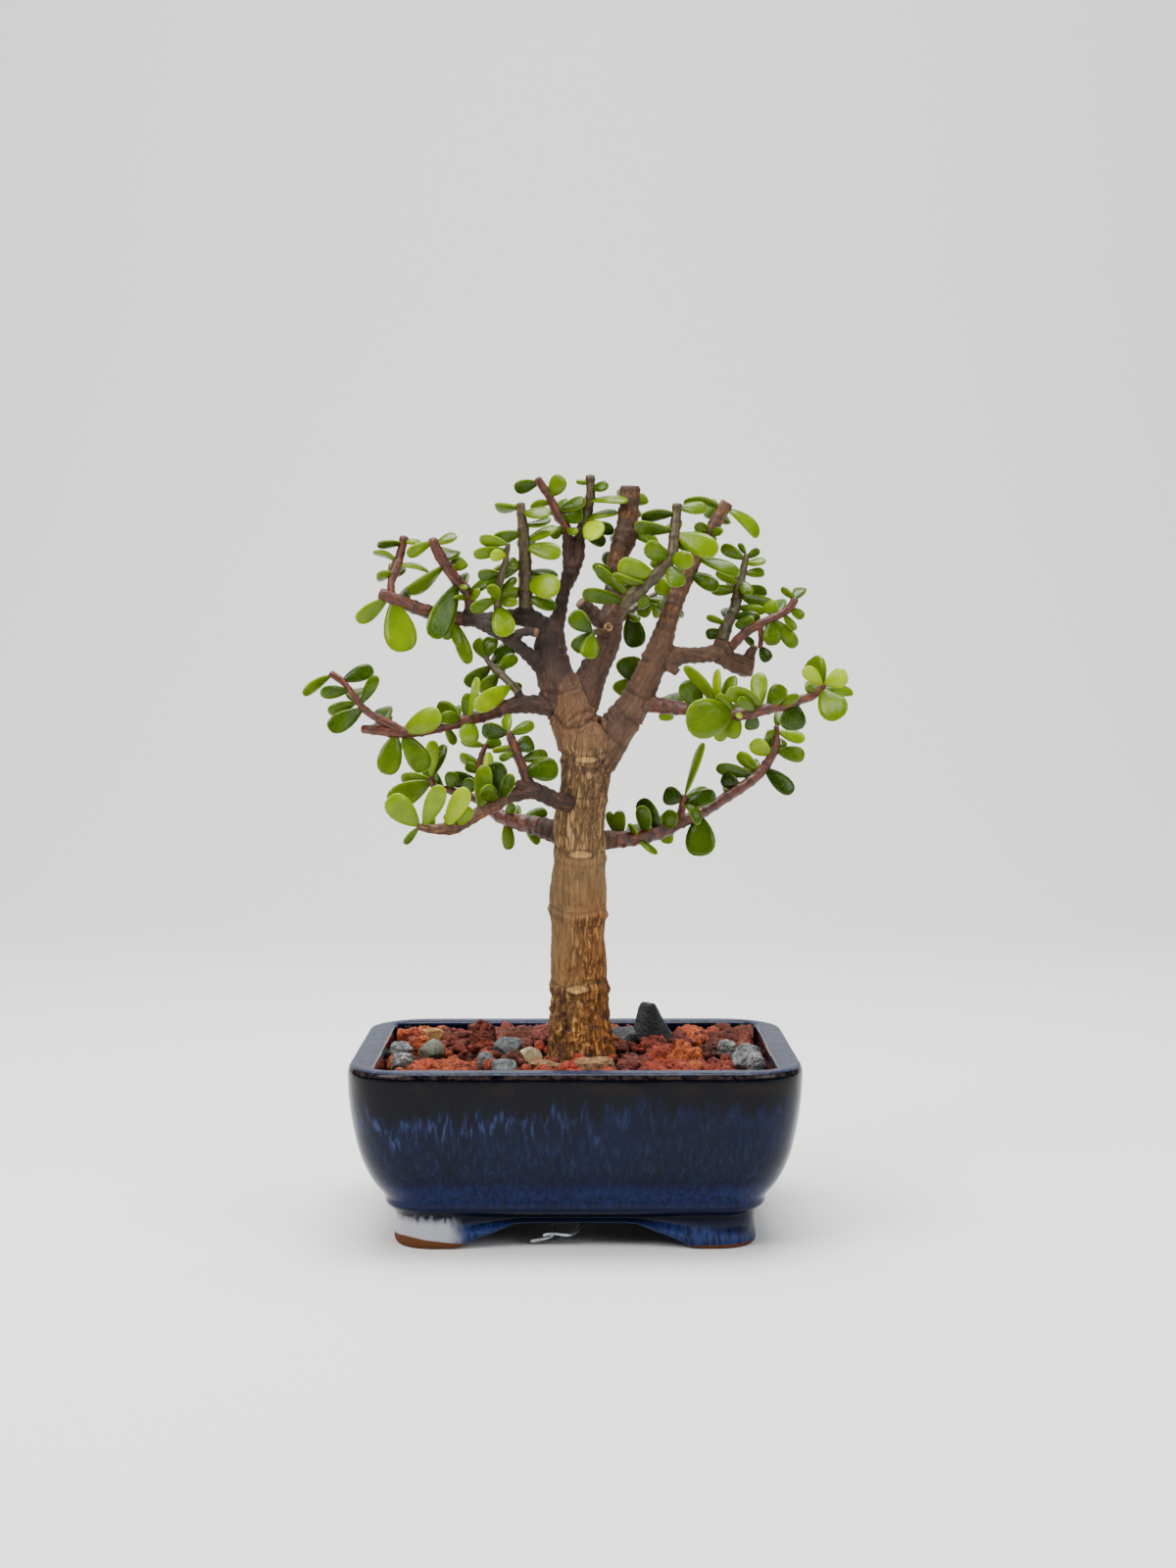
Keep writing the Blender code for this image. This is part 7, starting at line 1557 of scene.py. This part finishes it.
def lump(seed, levels, flats, depth, grain_size, boxiness=0.0):
    """A stone form of half-size 1: an ice-sphere struck flat on several sides, then roughened."""
    deselect()
    bpy.ops.mesh.primitive_ico_sphere_add(subdivisions=levels, radius=1.0)
    stone = bpy.context.object
    rng = random.Random(seed)
    places = places_of(stone)
    if boxiness:
        places = np.sign(places) * np.abs(places) ** (1.0 - boxiness)
    for _ in range(flats):
        facing = Vector((rng.gauss(0, 1), rng.gauss(0, 1), rng.gauss(0, 1))).normalized()
        over = places @ np.array(facing) - rng.uniform(0.6, 0.88)
        places -= np.outer(np.clip(over, 0.0, None), np.array(facing)) * 0.94
    rough = point_noise(places, grain_size, seed * 1.7) * depth
    rough += point_noise(places, grain_size / 2.3, seed + 5.0) * depth / 2
    places *= (1.0 + rough)[:, None]
    put_places(stone, places)
    return stone


def laid_copy(form, centre, half, spin, keep):
    """A copy of a form with its own mesh: sized, turned, set down, and each point put through keep."""
    made = form.copy()
    made.data = form.data.copy()
    bpy.context.scene.collection.objects.link(made)
    turned = (places_of(form) * np.array(half)) @ np.array(spin).T + np.array(centre)
    put_places(made, np.array([keep(Vector(p)) for p in turned]) * MM)
    return made


def held_in(point):
    """The point, drawn inwards where it would reach the pot's wall, and upwards off the soil."""
    half_x, radius = BED_PLAN
    point.z = max(point.z, SOIL_TOP + SOIL_TO_LAVA)
    inner_x = half_x - radius
    inner_y = inner_x - HALF_DIFFERENCE
    past = Vector((max(abs(point.x) - inner_x, 0.0), max(abs(point.y) - inner_y, 0.0), 0.0))
    most = radius - 1.25 * WALL_GAP
    if past.length <= most:
        return point
    kept = past * (most / past.length)
    return Vector((
        math.copysign(min(abs(point.x), inner_x) + kept.x, point.x),
        math.copysign(min(abs(point.y), inner_y) + kept.y, point.y),
        point.z,
    ))


def grit_colour(centre, rng):
    """The colour of the grit where the eye sees this place, a little lighter or darker by chance."""
    x, z = as_seen(*centre)
    near = min(LAVA_COLOURS, key=lambda row: math.hypot(row[0] - x, 1.6 * (row[1] - z)) * rng.uniform(0.6, 1.4))
    tint = rng.uniform(0.8, 1.2)
    return [min(c * tint, 1.0) for c in linear(near[2], False)] + [1.0]


def heaped(x, y):
    """How much higher the grit lies here: heaped round the trunk and along the back."""
    mound = MOUND_HEIGHT * max(0.0, 1.0 - math.hypot(x, y) / MOUND_RADIUS)
    return mound + BACK_HEAP * min(max((y + 5.0) / 35.0, 0.0), 1.0)


def model_bed():
    """The lava grit: its rough under-layer, the stones in their rows, and small bits in the gaps between."""
    settings = bpy.context.scene.bonsai_grit
    forms = [lump(seed, 4, 9, 0.24, 0.42, 0.2) for seed in range(1, 8)]
    bits = [lump(seed, 2, 5, 0.2, 0.6, 0.2) for seed in range(20, 25)]
    deselect()
    bpy.ops.mesh.primitive_grid_add(x_subdivisions=90, y_subdivisions=70, size=2.0)
    layer = bpy.context.object
    places = places_of(layer)
    places[:, 0] *= BED_PLAN[0]
    places[:, 1] *= BED_PLAN[0] - HALF_DIFFERENCE
    places[:, 2] = BED_TOP - 1.6
    places = np.array([held_in(Vector(p)) for p in places])
    places[:, 2] += point_noise(places, 5.0, 2.0) * 1.6 + point_noise(places, 2.0, 4.0) * 0.9
    put_places(layer, places * MM)
    bpy.ops.object.mode_set(mode="EDIT")
    bpy.ops.mesh.select_all(action="SELECT")
    bpy.ops.mesh.extrude_region_move()
    bpy.ops.object.mode_set(mode="OBJECT")
    places = places_of(layer)
    lowered = np.array([v.select for v in layer.data.vertices])
    places[lowered, 2] = (SOIL_TOP + GAP) * MM
    put_places(layer, places)
    bpy.ops.object.mode_set(mode="EDIT")
    turn_outwards()
    write_attribute(layer, "stone_colour", [linear("#6B3A2A")] * len(layer.data.vertices), "FLOAT_COLOR")
    parts = [layer]
    rng = random.Random(11)
    own = random.Random(12)
    low, high = LAVA_HALF_SIZES
    half_x = BED_PLAN[0] - WALL_GAP - low / 2
    half_y = half_x - HALF_DIFFERENCE
    taken = [(x, y, (sx + sy) / 4) for _, _, x, y, sx, sy, _, _ in STONES]
    taken.append((LIMBS[0][2][3][0], 0.0, LIMBS[0][2][3][3]))
    rows = int(2 * half_y / (LAVA_SPACING * 0.87)) + 1
    columns = int(2 * half_x / LAVA_SPACING) + 1

    def lay(form, centre, half, spin):
        made = laid_copy(form, centre, half, spin, held_in)
        write_attribute(made, "stone_colour", [grit_colour(centre, own)] * len(made.data.vertices), "FLOAT_COLOR")
        parts.append(made)

    for row in range(rows):
        for column in range(columns):
            x = -half_x + (column + 0.5 * (row % 2)) * LAVA_SPACING + rng.uniform(-1.0, 1.0)
            y = -half_y + row * 2 * half_y / (rows - 1) + rng.uniform(-1.0, 1.0)
            half = [rng.uniform(low, high), rng.uniform(low, high), rng.uniform(low, high) * 0.9]
            turn = rng.uniform(0, math.tau)
            if abs(x) > half_x or abs(y) > half_y:
                continue
            if any(math.hypot(x - tx, y - ty) < tr + 0.5 * (half[0] + half[1]) + 1.4 for tx, ty, tr in taken):
                continue
            centre = Vector((x, y, BED_TOP + LAVA_SINK + heaped(x, y) + rng.uniform(-0.7, 0.7)))
            spin = Matrix.Rotation(turn, 3, "Z") @ Matrix.Rotation(rng.uniform(-LAVA_TILT, LAVA_TILT), 3, "X")
            spin = spin @ Matrix.Rotation(rng.uniform(-LAVA_TILT, LAVA_TILT), 3, "Y")
            for _ in range(8):
                rng.uniform(0.0, 1.0)
            size = own.uniform(0.78, 1.0)
            lay(own.choice(forms), centre, [h * size * own.uniform(0.9, 1.1) for h in half], spin)
    for _ in range(settings.filler_count):
        x, y = own.uniform(-half_x, half_x), own.uniform(-half_y, half_y)
        size = settings.filler_size / MM * own.uniform(0.6, 1.35)
        if any(math.hypot(x - tx, y - ty) < tr + 0.3 * size for tx, ty, tr in taken):
            continue
        centre = Vector((x, y, BED_TOP + heaped(x, y) + own.uniform(-0.6, 1.6)))
        spin = Matrix.Rotation(own.uniform(0, math.tau), 3, "Z") @ Matrix.Rotation(own.uniform(-1, 1), 3, "X")
        lay(own.choice(bits), centre, [size, size * own.uniform(0.6, 0.95), size * own.uniform(0.5, 0.9)], spin)
    for form in forms + bits:
        bpy.data.objects.remove(form)
    return joined(parts, "lava_grit")


STONE_SHAPES = {
    # kind: flat sides struck off, roughness, size of its grains, boxiness, how far its half-size reaches
    "pumice": (7, 0.16, 0.4, 0.25, 0.58), "olive": (3, 0.04, 0.9, 0.0, 0.53), "tan": (8, 0.1, 0.5, 0.4, 0.58),
    "lava_dark": (7, 0.14, 0.4, 0.05, 0.56), "grey": (11, 0.06, 0.7, 0.35, 0.6), "pale": (5, 0.05, 0.8, 0.15, 0.54),
    "bark": (5, 0.12, 0.5, 0.5, 0.56), "slate": (6, 0.05, 0.6, 0.62, 0.56),
}


def model_stone(number):
    """One loose stone: a lump of its kind, sized, turned, and flat where it lies just clear of the bed."""
    name, kind, x, y, size_x, size_y, size_z, turn = STONES[number]
    flats, depth, grain_size, boxiness, reach = STONE_SHAPES[kind]
    form = lump(40 + number, 5, flats, depth, grain_size, boxiness)
    floor = BED_TOP + GAP
    centre = Vector((x, y, floor + size_z * STONE_SUNK_SHARE))
    half = [size_x * reach, size_y * reach, size_z * reach]

    def lifted(point):
        if name == "slate_chip_upright":
            # A broken wedge: broad at the bed, drawn in to a blunt point on its left.
            up = (point.z - floor) / size_z
            point.x = x + 0.8 + (point.x - x) * (1.75 - 1.05 * up) - 2.6 * max(up, 0.0)
        point.z = max(point.z, floor - 0.8)
        return point

    made = laid_copy(form, centre, half, Matrix.Rotation(math.radians(turn), 3, "Z"), lifted)
    bpy.data.objects.remove(form)
    return made


# ---- Operators


class BONSAI_OT_stage(bpy.types.Operator):
    """Set up the pale paper, the soft lights and the camera"""

    bl_idname = "bonsai.stage"
    bl_label = "Stage"

    def execute(self, context):
        deselect()
        bpy.ops.mesh.primitive_plane_add(size=3.0, location=(0.0, 0.0, 0.0))
        paper = context.object
        paper.name = "paper_sweep"
        bpy.ops.object.mode_set(mode="EDIT")
        select_edges(paper, lambda edge: all(v.co.y > 1.0 for v in edge.verts))
        bpy.ops.mesh.extrude_region_move(TRANSFORM_OT_translate={"value": (0.0, 0.0, 2.0)})
        select_edges(paper, lambda edge: all(v.co.y > 1.0 and abs(v.co.z) < 1e-6 for v in edge.verts))
        bpy.ops.mesh.bevel(offset=0.6, segments=16, affect="EDGES")
        bpy.ops.object.mode_set(mode="OBJECT")
        bpy.ops.object.shade_smooth()
        dress(paper, studio_paper())
        power = context.scene.bonsai_stage.light_power
        for name, place, target, size, share, tint in LIGHTS:
            bpy.ops.object.light_add(type="AREA", location=place)
            lamp = context.object
            lamp.name = name
            lamp.data.size = size
            lamp.data.energy = power * share
            lamp.data.color = tint
            aim = Vector(target) - Vector(place)
            lamp.rotation_euler = aim.to_track_quat("-Z", "Y").to_euler()
        world = bpy.data.worlds.new("Studio")
        context.scene.world = world
        world.use_nodes = True
        sky = world.node_tree.nodes["Background"]
        sky.inputs["Color"].default_value, sky.inputs["Strength"].default_value = SKY
        bpy.ops.object.camera_add(
            location=EYE * MM, rotation=(math.radians(90 - CAMERA_DOWN), 0.0, math.radians(-CAMERA_RIGHT))
        )
        camera = context.object
        camera.data.lens = LENS
        camera.data.sensor_width = 36.0
        camera.data.dof.use_dof = False
        context.scene.camera = camera
        return {"FINISHED"}


class BONSAI_OT_pot(bpy.types.Operator):
    """Model the glazed pot over its solid"""

    bl_idname = "bonsai.pot"
    bl_label = "Pot"

    def execute(self, context):
        pot = model_pot()
        dress(pot, glazed_stoneware())
        finish_piece(pot, "pot_glazed", "glaze", "pot")
        return {"FINISHED"}


class BONSAI_OT_drain(bpy.types.Operator):
    """Finish the drain mesh and the soil, and draw the wire clip"""

    bl_idname = "bonsai.drain"
    bl_label = "Drain and soil"

    def execute(self, context):
        route = [Vector(place) for place in WIRE_ROUTE]
        fine, widths, _ = smooth_route(route, [WIRE_RADIUS] * len(route), WIRE_STEP)
        wire = curve_tube("wire", fine, widths, 4)
        dress(wire, drawn_aluminium())
        finish_piece(wire, "wire_clip", "wire", "mesh_clip_wire")
        for name, finish in (("drain_mesh", moulded_plastic()), ("soil", ROCKS["soil"])):
            for slot in bpy.data.objects[name].material_slots:
                slot.material = finish
        return {"FINISHED"}


class BONSAI_OT_grit(bpy.types.Operator):
    """Model the lava grit over its solid"""

    bl_idname = "bonsai.grit"
    bl_label = "Lava grit"

    def execute(self, context):
        grit = model_bed()
        dress(grit, ROCKS["lava"])
        finish_piece(grit, "lava_grit", "lava", "lava_bed")
        return {"FINISHED"}


class BONSAI_OT_stones(bpy.types.Operator):
    """Model each loose stone over its solid"""

    bl_idname = "bonsai.stones"
    bl_label = "Loose stones"

    def execute(self, context):
        for number, (name, kind, *_) in enumerate(STONES):
            stone = model_stone(number)
            dress(stone, ROCKS[kind])
            finish_piece(stone, name + "_fine", "stone_" + kind, name)
        return {"FINISHED"}


class BONSAI_OT_trunk(bpy.types.Operator):
    """Model the trunk and its limbs over their solid"""

    bl_idname = "bonsai.trunk"
    bl_label = "Trunk"

    def execute(self, context):
        trunk = model_trunk()
        dress(trunk, old_bark())
        finish_piece(trunk, "trunk_bark", "bark_old", "trunk")
        return {"FINISHED"}


class BONSAI_OT_stems(bpy.types.Operator):
    """Model every leafy stem over its solid"""

    bl_idname = "bonsai.stems"
    bl_label = "Leafy stems"

    def execute(self, context):
        leaves = settled_leaves()
        routes = stem_routes()
        form = leaf_form()
        skin = leaf_skin()
        barks = {kind: young_bark(kind) for kind in STEM_SKINS}
        for name, _, kind, _, _, _ in STEMS:
            stem, blades = model_stem(name, kind, routes[name], leaves[name], form)
            dress(stem, barks[kind])
            dress(blades, skin)
            whole = joined([stem, blades], name + "_fine")
            finish_piece(whole, name + "_fine", "leaf_" + kind, name)
        bpy.data.objects.remove(form)
        return {"FINISHED"}


class BONSAI_PT_panel(bpy.types.Panel):
    """Every step of the bonsai, in order"""

    bl_label = "Dwarf jade bonsai"
    bl_space_type = "VIEW_3D"
    bl_region_type = "UI"
    bl_category = "Bonsai"

    def draw(self, context):
        for settings in ("bonsai_stage", "bonsai_pot", "bonsai_grit", "bonsai_tree"):
            group = getattr(context.scene, settings)
            for key in group.bl_rna.properties.keys():
                if key not in ("rna_type", "name"):
                    self.layout.prop(group, key)
        for step in STEPS:
            self.layout.operator(step.bl_idname)


STEPS = (
    BONSAI_OT_stage, BONSAI_OT_pot, BONSAI_OT_drain, BONSAI_OT_grit, BONSAI_OT_stones, BONSAI_OT_trunk, BONSAI_OT_stems,
)
SETTINGS = {
    "bonsai_stage": StageSettings, "bonsai_pot": PotSettings, "bonsai_grit": GritSettings, "bonsai_tree": TreeSettings,
}
ROCKS = {}


def register():
    for made in (*SETTINGS.values(), *STEPS, BONSAI_PT_panel):
        bpy.utils.register_class(made)
    for key, made in SETTINGS.items():
        setattr(bpy.types.Scene, key, PointerProperty(type=made))


def unregister():
    for key in SETTINGS:
        delattr(bpy.types.Scene, key)
    for made in reversed((*SETTINGS.values(), *STEPS, BONSAI_PT_panel)):
        bpy.utils.unregister_class(made)


def main():
    """Registers the add-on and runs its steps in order."""
    register()
    ROCKS.update(rocks())
    bpy.ops.bonsai.stage()
    bpy.ops.bonsai.pot()
    bpy.ops.bonsai.drain()
    bpy.ops.bonsai.grit()
    bpy.ops.bonsai.stones()
    bpy.ops.bonsai.trunk()
    bpy.ops.bonsai.stems()
    deselect()
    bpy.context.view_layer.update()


if __name__ == "__main__":
    main()
